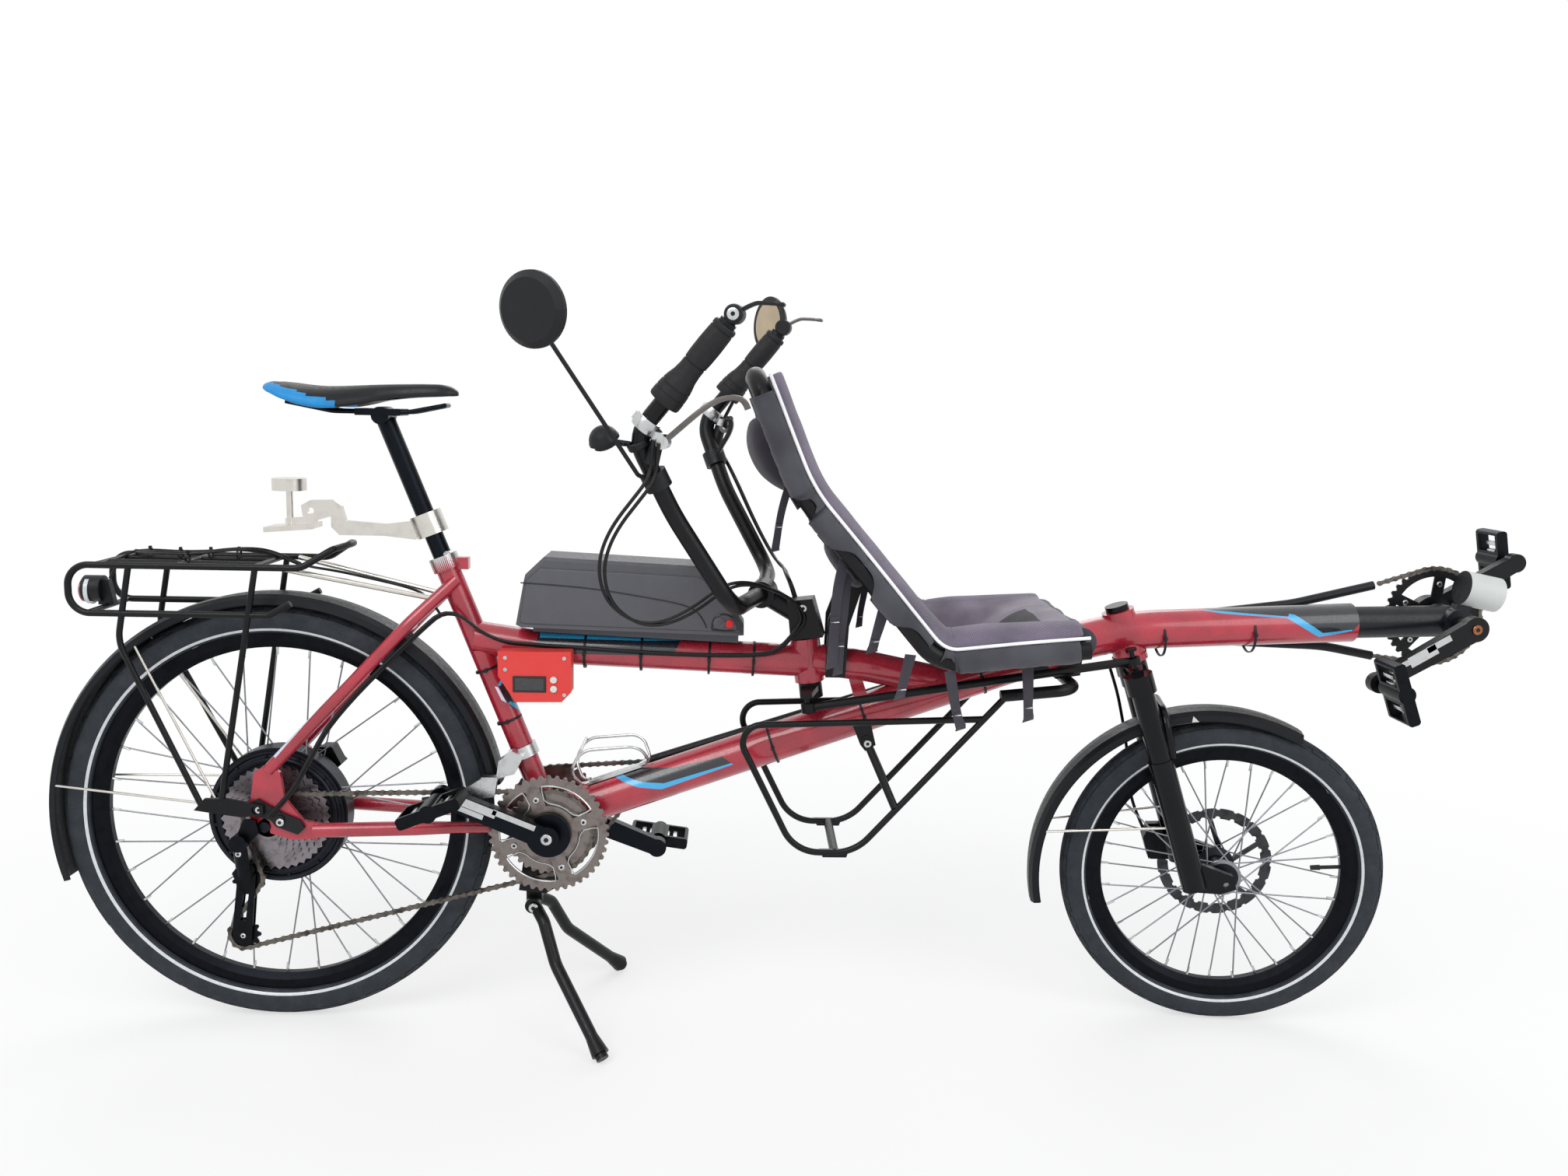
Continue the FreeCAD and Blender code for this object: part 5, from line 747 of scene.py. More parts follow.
def add_tube(bm: bmesh.types.BMesh, line: Sequence[Vector], diameter: float | Callable[[float], float], sides: int = 10,
             index: int = 0) -> None:
    """Adds a round tube along a line of points, with its ends closed.

    Args:
        bm: Mesh that gets it.
        line: Points in metres.
        diameter: In millimetres, or a function of the share of the line.
        sides: Faces round it.
        index: Material slot.
    """
    layer = bm.loops.layers.uv.verify()
    rings = []
    side_way = None
    length = 0.0
    lengths = []
    for i, point in enumerate(line):
        ahead = (line[min(i + 1, len(line) - 1)] - line[max(i - 1, 0)]).normalized()
        if side_way is None:
            side_way = ahead.orthogonal().normalized()
        side_way = (side_way - ahead * side_way.dot(ahead)).normalized()
        other = ahead.cross(side_way)
        wide = diameter(i / (len(line) - 1)) if callable(diameter) else diameter
        ring = []
        for k in range(sides):
            a = math.tau * k / sides
            ring.append(bm.verts.new(point + (side_way * math.cos(a) + other * math.sin(a)) * wide / 2000))
        rings.append(ring)
        length += (point - line[i - 1]).length if i else 0.0
        lengths.append(length)
    girth = math.pi * (diameter(0.5) if callable(diameter) else diameter) / 1000
    for i, (first, second) in enumerate(zip(rings, rings[1:])):
        for k in range(sides):
            face = bm.faces.new((first[k], first[(k + 1) % sides], second[(k + 1) % sides], second[k]))
            face.material_index = index
            for loop, (u, v) in zip(face.loops, ((k, i), (k + 1, i), (k + 1, i + 1), (k, i + 1))):
                loop[layer].uv = (u / sides * girth, lengths[v])
    for ring, flip in ((rings[0], True), (rings[-1], False)):
        face = bm.faces.new(ring[::-1] if flip else ring)
        face.material_index = index


def add_strip(bm: bmesh.types.BMesh, line: Sequence[Vector], across: Callable[[float], Vector], width: float,
              thickness: float,
              index: int = 0) -> None:
    """Adds a flat strap along a line.

    Args:
        bm: Mesh that gets it.
        line: Centre line in metres.
        across: Unit vector over the strap's width at a share of the line.
        width: In millimetres.
        thickness: In millimetres.
        index: Material slot.
    """
    layer = bm.loops.layers.uv.verify()
    rings = []
    length = 0.0
    lengths = []
    for i, point in enumerate(line):
        ahead = (line[min(i + 1, len(line) - 1)] - line[max(i - 1, 0)]).normalized()
        over = across(i / (len(line) - 1))
        over = (over - ahead * over.dot(ahead)).normalized()
        up = over.cross(ahead)
        half, deep = width / 2000, thickness / 2000
        rings.append([bm.verts.new(point + over * a * half + up * b * deep) for a, b in
                      ((-1, -0.4), (-0.94, -1), (0.94, -1), (1, -0.4), (1, 0.4), (0.94, 1), (-0.94, 1), (-1, 0.4))])
        length += (point - line[i - 1]).length if i else 0.0
        lengths.append(length)
    places = (0, 0.03, 0.97, 1, 1, 0.97, 0.03, 0, 0)
    for i, (first, second) in enumerate(zip(rings, rings[1:])):
        for k in range(8):
            n = (k + 1) % 8
            face = bm.faces.new((first[k], first[n], second[n], second[k]))
            face.material_index = index
            for loop, (u, v) in zip(face.loops,
                                    ((places[k], i), (places[k + 1], i), (places[k + 1], i + 1), (places[k], i + 1))):
                loop[layer].uv = (u * width / 1000, lengths[v])
    bm.faces.new(rings[0][::-1]).material_index = index
    bm.faces.new(rings[-1]).material_index = index


# where things are turned as the bicycle is parked


def steered(lean_degrees: float, pivot: Vector) -> Matrix:
    """Turn about a leaning steering axis, by the angle that the bicycle is parked at.

    Args:
        lean_degrees: How far the axis leans back.
        pivot: Point on the axis, in metres.

    Returns:
        4 by 4 turn.
    """
    a = math.radians(lean_degrees)
    up = Vector((-math.sin(a), 0, math.cos(a)))
    return Matrix.Translation(pivot) @ Matrix.Rotation(math.radians(PARKED_TURN), 4, up) @ Matrix.Translation(-pivot)


def front_axes() -> tuple[Vector, Vector]:
    """Forward and upward unit vectors of the fork."""
    a = math.radians(FORK_LEAN)
    return Vector((math.cos(a), 0, math.sin(a))), Vector((-math.sin(a), 0, math.cos(a)))


FORK_AHEAD, FORK_UP = front_axes()
FORK_PIVOT = at(FRONT_AXLE[0], 0, FRONT_AXLE[1]) - FORK_AHEAD * FORK_OFFSET + FORK_UP * FORK_LENGTH
FORK_TURN = steered(FORK_LEAN, FORK_PIVOT)
BAR_TURN = steered(STEM_LEAN, at(816, 0, 548))


@dataclass
class Tyre:
    """City tyre with a smooth side wall, a reflective band beside the rim and cut tread blocks."""

    name: str
    axle: tuple[float, float]
    outer: float
    half: float
    rim: float
    body: str
    turn: Matrix = field(default_factory=lambda: Matrix.Identity(4))
    steps: int = 168
    lug: float = 1.3
    # degrees from the crown: the reflective band, and the rows of tread blocks from the middle outwards
    band: tuple[float, float] = (114.5, 125)
    rows: tuple[tuple[float, float], ...] = ((0, 7.2), (9, 20), (22, 34), (36, 50))

    def section(self) -> list[tuple[float, float]]:
        """Outline of the tyre from the crown round.

        Returns:
            Radius and offset along the axle of each corner, in millimetres.
        """
        centre = self.outer - self.half
        angles = (0, 7, 9, 20, 22, 34, 36, 50, 54, 70, 90, 106, *self.band, 134)
        right = []
        for angle in angles:
            a = math.radians(angle)
            size = self.half - (self.lug if angle < 52 else 0)
            right.append((centre + size * math.cos(a), size * math.sin(a)))
        bead, edge = self.rim + 0.3, right[-1][1] - 3
        return right + [(bead, edge), (bead, -edge)] + [(r, -y) for r, y in right[:0:-1]]

    def build(self) -> bpy.types.Object:
        """Builds the tyre and raises its tread blocks.

        Returns:
            The tyre.
        """
        bm = bmesh.new()
        axle = at(self.axle[0], 0, self.axle[1])
        verts = [bm.verts.new(axle + Vector((r / 1000, y / 1000, 0))) for r, y in self.section()]
        edges = [bm.edges.new((a, b)) for a, b in zip(verts, verts[1:] + verts[:1])]
        bmesh.ops.spin(bm, geom=verts + edges, cent=axle, axis=Vector((0, 1, 0)), angle=math.tau, steps=self.steps,
                       use_merge=True)
        bmesh.ops.remove_doubles(bm, verts=bm.verts, dist=1e-6)
        bmesh.ops.recalc_face_normals(bm, faces=bm.faces)
        blocks = []
        centre = self.outer - self.half
        for face in bm.faces:
            spot = face.calc_center_median() - axle
            radius, along = math.hypot(spot.x, spot.z) * 1000 - centre, spot.y * 1000
            angle = math.degrees(math.atan2(abs(along), radius))
            step = int(round((math.atan2(spot.z, spot.x) % math.tau) / math.tau * self.steps - 0.5))
            face.material_index = 1 if self.band[0] < angle < self.band[1] else 0
            row = next((n for n, (low, high) in enumerate(self.rows) if low <= angle <= high), None)
            if row is None or face.normal.dot(spot) < 0:
                continue
            shift = step + (2 if along < 0 else 0) + row
            if row == 0 or shift % (3 if row == 3 else 4) != 0:
                blocks.append(face)
        raised = bmesh.ops.extrude_face_region(bm, geom=blocks)
        tops = {v for v in raised["geom"] if isinstance(v, bmesh.types.BMVert)}
        for vert in tops:
            spot = vert.co - axle
            ring = Vector((spot.x, 0, spot.z)).normalized() * centre / 1000
            vert.co += (spot - ring).normalized() * self.lug / 1000
        bmesh.ops.delete(bm, geom=blocks, context="FACES_ONLY")
        bm.transform(self.turn)
        return placed(self.name + "_tread", bm, (TYRE, STRIPE), self.body, (self.name,), 28, False)


@dataclass
class SpokeDressing:
    """Nipples at the rim and a valve, on the model's laced wheel, and bright spokes on its hub."""

    name: str
    axle: tuple[float, float]
    rim_inner: float
    shell: float
    body: str
    turn: Matrix = field(default_factory=lambda: Matrix.Identity(4))
    count: int = 32

    def build(self) -> bpy.types.Object:
        """Builds the nipples and valve, and gives the hub's spokes their bright finish.

        Returns:
            The nipples and valve.
        """
        bm = bmesh.new()
        axle = at(self.axle[0], 0, self.axle[1])
        for i in range(self.count):
            a = math.tau * i / self.count
            out = Vector((math.cos(a), 0, math.sin(a)))
            side = Vector((0, 0.002 if i % 2 == 0 else -0.002, 0))
            add_rod(bm, axle + side + out * (self.rim_inner - 13) / 1000, axle + side + out * self.rim_inner / 1000,
                    3.4, 8, 0, 4.6)
        a = math.tau * 0.5 / self.count
        out = Vector((math.cos(a), 0, math.sin(a)))
        add_rod(bm, axle + out * (self.rim_inner - 34) / 1000, axle + out * self.rim_inner / 1000, 6, 10, 1)
        add_rod(bm, axle + out * (self.rim_inner - 44) / 1000, axle + out * (self.rim_inner - 30) / 1000, 7.5, 10, 1,
                8.5)
        bm.transform(self.turn)
        middle = self.turn @ axle
        brighten(self.name + "_hub", SPOKE, lambda spot: (spot - middle).length * 1000 > self.shell)
        return placed(self.name + "_nipples", bm, (ALLOY, BLACK_CAP_AND_SOCKET_SHADE), self.body)


def brighten(node: str, finish: Finish, chosen: Callable[[Vector], bool]) -> None:
    """Gives the faces of a CAD node whose middles are chosen a second finish.

    Args:
        node: Name of the CAD node.
        finish: Finish of the chosen faces.
        chosen: Tells from a face's middle in metres whether it is one.
    """
    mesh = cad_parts[node].data
    mesh.materials.append(material(finish))
    slot = len(mesh.materials) - 1
    for polygon in mesh.polygons:
        if chosen(polygon.center):
            polygon.material_index = slot


def seated(node: str, x: float, z: float, side: int = -1) -> Vector:
    """Spot where a line across the bicycle first meets a CAD node.

    Args:
        node: Name of the CAD node.
        x: Station in millimetres.
        z: Height in millimetres.
        side: -1 from the near side, 1 from the far side.

    Returns:
        The spot, in metres.
    """
    start = at(x, side * 400, z)
    hit, spot, _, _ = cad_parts[node].ray_cast(start, Vector((0, -side, 0)))
    return spot if hit else at(x, side * 30, z)


def belt_line(circles: Sequence[tuple[float, float, float, int]], closed: bool) -> list[tuple[float, float, float]]:
    """Chain positions one pitch apart round circles.

    Args:
        circles: Station, height, pitch radius and sense of each wheel, in millimetres.
            Sense is 1 where the run passes anticlockwise.
        closed: Whether the run comes back to its start.

    Returns:
        Station, height and heading in radians of each link's middle.
    """
    count = len(circles)
    legs = []
    for i in range(count if closed else count - 1):
        x1, z1, r1, s1 = circles[i]
        x2, z2, r2, s2 = circles[(i + 1) % count]
        heading = math.atan2(z2 - z1, x2 - x1) - math.asin((s2 * r2 - s1 * r1) / math.hypot(x2 - x1, z2 - z1))
        nx, nz = -math.sin(heading), math.cos(heading)
        legs.append(((x1 - s1 * r1 * nx, z1 - s1 * r1 * nz), (x2 - s2 * r2 * nx, z2 - s2 * r2 * nz), heading))
    runs: list[tuple[float, Callable[[float], tuple[float, float, float]]]] = []
    for i, (start, end, heading) in enumerate(legs):
        long = math.hypot(end[0] - start[0], end[1] - start[1])
        runs.append((long, lambda d, s=start, h=heading: (s[0] + math.cos(h) * d, s[1] + math.sin(h) * d, h)))
        if not closed and i == len(legs) - 1:
            break
        cx, cz, r, s = circles[(i + 1) % count]
        after = legs[(i + 1) % len(legs)]
        a_in = math.atan2(end[1] - cz, end[0] - cx)
        a_out = math.atan2(after[0][1] - cz, after[0][0] - cx)
        turn = (a_out - a_in) % math.tau if s > 0 else -((a_in - a_out) % math.tau)
        if r > 0:
            runs.append((abs(turn) * r, lambda d, c=(cx, cz), q=r, a=a_in, g=s: (
                c[0] + q * math.cos(a + g * d / q), c[1] + q * math.sin(a + g * d / q),
                a + g * d / q + g * math.pi / 2)))
    total = sum(long for long, _ in runs)
    links = int(round(total / CHAIN_PITCH)) if closed else int(total // CHAIN_PITCH)
    if closed and links % 2:
        links += 1
    step = total / links if closed else CHAIN_PITCH
    places = []
    for k in range(links):
        d = (k + 0.5) * step
        for long, spot in runs:
            if d <= long:
                places.append(spot(d))
                break
            d -= long
    return places


@dataclass
class Chain:
    """Bush roller chain, one pitch to a link, in place of the model's plain strips."""

    name: str
    runs: tuple[tuple[tuple[tuple[float, float, float, int], ...], bool], ...]
    side: float
    body: str = "frame"
    node: str = ""

    def build(self) -> bpy.types.Object:
        """Builds every link.

        Returns:
            The chain.
        """
        bm = bmesh.new()
        for circles, closed in self.runs:
            for k, (x, z, heading) in enumerate(belt_line(circles, closed)):
                self.link(bm, at(x, self.side, z), heading, k % 2 == 0)
        return placed(self.name, bm, (CHAIN,), self.body, (self.node,), 30)

    def link(self, bm: bmesh.types.BMesh, middle: Vector, heading: float, wide: bool) -> None:
        """Adds two waisted side plates and a roller.

        Args:
            bm: Mesh that gets the link.
            middle: Link's middle in metres.
            heading: Direction of the run in radians.
            wide: Outer link, whose plates lie outside its neighbours'.
        """
        turn = Matrix.Translation(middle) @ Matrix.Rotation(-heading, 4, "Y")
        outline = ((-10.2, 0), (-8.8, 3.3), (-5.6, 3.9), (-2.2, 2.6), (2.2, 2.6), (5.6, 3.9), (8.8, 3.3), (10.2, 0),
                   (8.8, -3.3), (5.6, -3.9),
                   (2.2, -2.6), (-2.2, -2.6), (-5.6, -3.9), (-8.8, -3.3))
        near = 2.3 if wide else 1.4
        for way in (-1, 1):
            low = [bm.verts.new(turn @ Vector((x / 1000, way * near / 1000, z / 1000))) for x, z in outline]
            face = bm.faces.new(low if way > 0 else low[::-1])
            top = bmesh.ops.extrude_face_region(bm, geom=[face])
            for vert in top["geom"]:
                if isinstance(vert, bmesh.types.BMVert):
                    vert.co += turn.to_3x3() @ Vector((0, way * 0.8 / 1000, 0))
        half = CHAIN_PITCH / 2
        pin = turn @ Vector((half / 1000, 0, 0))
        over = turn.to_3x3() @ Vector((0, 1, 0))
        add_rod(bm, pin - over * 0.0013, pin + over * 0.0013, 7.4, 8)
        if wide:
            for way in (-1, 1):
                end = turn @ Vector((way * half / 1000, 0, 0))
                add_rod(bm, end - over * 0.0035, end + over * 0.0035, 3.4, 6)


@dataclass
class Grips:
    """Smooth rubber grips: a flared, grooved foot, a slim waist with a joint and a fuller top."""

    low: tuple[float, float, float] = (597, 250, 930)
    high: tuple[float, float, float] = (724, 258, 1084)
    start: float = 62
    diameter: float = 34

    def profile(self, long: float) -> list[tuple[float, float]]:
        """Outer outline of a grip from its lower end.

        Args:
            long: Length in millimetres.

        Returns:
            Radius and offset along the bar of each corner.
        """
        r = self.diameter / 2
        shape = ((0, 5.2), (0.02, 6.2), (0.10, 6.0), (0.105, 5.2), (0.115, 5.2), (0.12, 5.8), (0.19, 5.0), (0.194, 4.0),
                 (0.206, 3.9), (0.21, 4.6),
                 (0.27, 3.0), (0.34, 0.6), (0.42, -0.6), (0.495, -0.7), (0.50, -1.6), (0.508, -1.6), (0.513, -0.2),
                 (0.60, 0.5), (0.74, 0.7), (0.88, 0.2),
                 (0.925, -0.1), (0.93, -1.0), (0.94, -1.0), (0.945, 0.2), (0.985, 0.2), (1.0, -1.2))
        return [(13.2, 0)] + [(r + extra, share * long) for share, extra in shape] + [(13.2, long)]

    def build(self) -> bpy.types.Object:
        """Builds both grips.

        Returns:
            One piece with both.
        """
        bm = bmesh.new()
        for side in (-1, 1):
            low, high = mirrored(self.low, side), mirrored(self.high, side)
            along = (high - low).normalized()
            start = low + along * self.start / 1000
            long = (high - start).length * 1000 - 6
            add_ring(bm, start, along, self.profile(long), 40)
        bmesh.ops.remove_doubles(bm, verts=bm.verts, dist=1e-6)
        bm.transform(BAR_TURN)
        return placed("smooth_grips", bm, (GRIP,), "handlebar", ("grips",), 30)


@dataclass
class Controls:
    """Brake levers, bar-end shifters, clamps, the bell and the mirrors' glass, on both sides of the turned bar."""

    low: tuple[float, float, float] = (597, 250, 930)
    high: tuple[float, float, float] = (724, 258, 1084)
    blade_y: tuple[float, float] = (222, -250)
    blades: tuple[tuple[tuple[float, float], ...], ...] = (
        ((682, 950), (688, 936), (682, 918), (672, 902), (666, 890)),
        ((634, 950), (655, 967), (674, 978), (694, 981), (707, 976), (711, 965)))

    def axes(self, side: int) -> tuple[Vector, Vector, Vector, Vector]:
        """Where a grip's tube runs.

        Args:
            side: -1 near, 1 far.

        Returns:
            Its lower end, its upper end, its direction and the way that faces ahead of it.
        """
        low, high = mirrored(self.low, side), mirrored(self.high, side)
        along = (high - low).normalized()
        return low, high, along, Vector((along.z, 0, -along.x)).normalized()

    def lever(self, bm: bmesh.types.BMesh, side: int) -> None:
        """Adds one brake lever: body, reservoir with its cap, clamp band, pivot and forged blade.

        Args:
            bm: Mesh that gets it.
            side: -1 near, 1 far.
        """
        low, _, along, ahead = self.axes(side)
        start, end = low + along * 0.026 + ahead * 0.022, low - along * 0.0135 + ahead * 0.0395
        way = (end - start).normalized()
        add_rod(bm, start, end, 17, 20, 0, 21)
        add_rod(bm, start - way * 0.002, start + way * 0.010, 22, 20, 1)
        add_rod(bm, end - way * 0.007, end, 13, 16, 0, 9)
        add_ring(bm, low + along * 0.024, along, ((11.4, -9), (17.5, -9), (18.3, -7), (18.3, 7), (17.5, 9), (11.4, 9)),
                 32, (1,) * 6)
        bolt = low + along * 0.024 - ahead * 0.017
        add_rod(bm, bolt - along * 0.006, bolt + along * 0.006, 8, 12, 1)
        add_rod(bm, low + along * 0.024 + ahead * 0.014, low + along * 0.022 + ahead * 0.028, 15, 16, 0)
        near = side < 0
        pivot = low + along * 0.020 + ahead * 0.034
        add_rod(bm, pivot - Vector((0, 0.0105, 0)), pivot + Vector((0, 0.0105, 0)), 18, 20, 1 if near else 2)
        add_rod(bm, pivot - Vector((0, 0.012, 0)), pivot + Vector((0, 0.012, 0)), 6, 12, 1)
        route = [pivot] + [BAR_TURN.inverted() @ at(x, self.blade_y[near], z) for x, z in self.blades[near]]
        add_strip(bm, spline_points(route, 8), lambda s: Vector((0, 1, 0)), 12, 7, 2 if near else 0)

    def shifter(self, bm: bmesh.types.BMesh, side: int) -> None:
        """Adds one bar-end shifter: round pod with a bright disc, and its flat lever.

        Args:
            bm: Mesh that gets it.
            side: -1 near, 1 far.
        """
        _, high, along, _ = self.axes(side)
        middle = high + along * 0.012
        add_ring(bm, middle, Vector((0, side, 0)),
                 ((0.5, -15), (11, -15), (13, -13), (13.4, 9), (12.5, 13), (10.5, 14), (10, 16.5), (0.5, 16.5)), 32,
                 (0,) * 8)
        add_ring(bm, middle + Vector((0, side * 0.0165, 0)), Vector((0, side, 0)),
                 ((2.4, 0), (8, 0), (8, 0.8), (7, 1.2), (3, 1.2), (2.4, 0.2)), 28, (1,) * 6)
        add_rod(bm, high + along * 0.0005, high + along * 0.012, 19, 20, 0)
        route = (middle + Vector((0.006, 0, 0.004)), middle + Vector((0.024, 0, 0.014)),
                 middle + Vector((0.036, 0, 0.0155)), middle + Vector((0.064, 0, 0.0135)))
        line = spline_points(route, 8)
        add_strip(bm, line, lambda s: Vector((0, 1, 0)), 13, 5, 2 if side > 0 else 0)
        add_block(bm, line[-1] + Vector((-0.005, 0, 0)), (14, 15, 5), Matrix.Rotation(math.radians(8), 4, "Y"), 1.4,
                  2 if side > 0 else 0)

    def bell(self, bm: bmesh.types.BMesh) -> None:
        """Adds the bell: band, stem, domed cap with a ridge and a striker.

        Args:
            bm: Mesh that gets it.
        """
        bend, before = at(597, -250, 930), at(643, -216, 823)
        down = (before - bend).normalized()
        spot = bend + down * 0.011
        add_ring(bm, spot, down, ((11.4, -5), (15, -5), (16, -3.5), (16, 3.5), (15, 5), (11.4, 5)), 28)
        base = spot + Vector((-0.046, -0.004, 0.004))
        add_rod(bm, spot + Vector((-0.012, 0, 0)), base, 8, 12)
        axis = Vector((-0.3, -0.35, 0.9)).normalized()
        dome = [(0.4, 21)] + [(21 * math.sin(math.radians(a)), 21 * math.cos(math.radians(a))) for a in range(8, 79,
            10)]
        add_ring(bm, base, axis, dome + [(21.4, 2.5), (21.4, -1.0), (19, -1.4), (19, 0.6), (0.4, 0.6)], 36)
        add_ring(bm, base - axis * 0.0012, axis, ((0.4, 0), (17, 0), (17, -6), (14, -8), (0.4, -8)), 28)
        add_rod(bm, base - axis * 0.005 + Vector((0.014, 0, 0)), base - axis * 0.005 + Vector((0.028, -0.006, 0)), 5,
                10)

    def build(self) -> list[bpy.types.Object]:
        """Builds the controls and the mirrors' glass.

        Returns:
            Both pieces.
        """
        bm = bmesh.new()
        for side in (-1, 1):
            self.lever(bm, side)
            self.shifter(bm, side)
        self.bell(bm)
        bm.transform(BAR_TURN)
        controls = placed("levers_and_shifters", bm, (ABS, ALLOY, LEVER), "handlebar", ("bar_controls",),
                          32)
        bm = bmesh.new()
        for x, y, z, facing in ((499, -386, 1090, Vector((0.28, 0.94, 0.1))),
                                (700, 328, 1100, Vector((-0.75, -0.62, 0.05)))):
            middle = at(x, y, z) + facing.normalized() * 0.0048
            add_ring(bm, middle, facing, ((0.5, 0), (39.5, 0), (39.5, 0.8), (30, 1.2), (0.5, 1.7)), 56)
        bm.transform(BAR_TURN)
        glass = placed("mirror_glass", bm, (MIRROR,), "handlebar", sharp=40)
        return [controls, glass]


def puffed(obj: bpy.types.Object, voxel: float, pressure: float, cap: float) -> None:
    """Swells a closed mesh as stuffed fabric, in place.

    Args:
        obj: Piece whose mesh is remeshed and swollen.
        voxel: Remesh size in millimetres.
        pressure: Cloth pressure.
        cap: Furthest that a point may move, in millimetres.
    """
    remesh = obj.modifiers.new("remesh", "REMESH")
    remesh.mode = "VOXEL"
    remesh.voxel_size = voxel / 1000
    apply_modifiers(obj)
    rest = [v.co.copy() for v in obj.data.vertices]
    cloth = obj.modifiers.new("cloth", "CLOTH")
    cloth.settings.use_pressure = True
    cloth.settings.uniform_pressure_force = pressure
    cloth.settings.effector_weights.gravity = 0
    cloth.settings.tension_stiffness = 12
    cloth.settings.bending_stiffness = 0.6
    scene = bpy.context.scene
    for frame_number in range(1, 21):
        scene.frame_set(frame_number)
    bpy.context.view_layer.update()
    shaped = obj.evaluated_get(bpy.context.evaluated_depsgraph_get()).to_mesh()
    moved = [v.co.copy() for v in shaped.vertices]
    obj.evaluated_get(bpy.context.evaluated_depsgraph_get()).to_mesh_clear()
    obj.modifiers.remove(cloth)
    scene.frame_set(1)
    for vertex, before, after in zip(obj.data.vertices, rest, moved):
        step = after - before
        if step.length > cap / 1000:
            step *= cap / 1000 / step.length
        vertex.co = before + step


def walled(obj: bpy.types.Object, millimetres: float) -> None:
    """Gives a sheet a wall, inwards from its face.

    Args:
        obj: Sheet.
        millimetres: Thickness of the wall.
    """
    wall = obj.modifiers.new("wall", "SOLIDIFY")
    wall.thickness = millimetres / 1000
    wall.offset = -1


def smoothed(obj: bpy.types.Object, levels: int) -> None:
    """Subdivides a piece smoothly, alike in the view and the render."""
    smooth = obj.modifiers.new("smooth", "SUBSURF")
    smooth.levels = smooth.render_levels = levels


def apply_modifiers(obj: bpy.types.Object) -> None:
    """Makes a piece's modifiers part of its mesh.

    Args:
        obj: The piece.
    """
    graph = bpy.context.evaluated_depsgraph_get()
    graph.update()
    old = obj.data
    obj.data = bpy.data.meshes.new_from_object(obj.evaluated_get(graph))
    obj.modifiers.clear()
    bpy.data.meshes.remove(old)


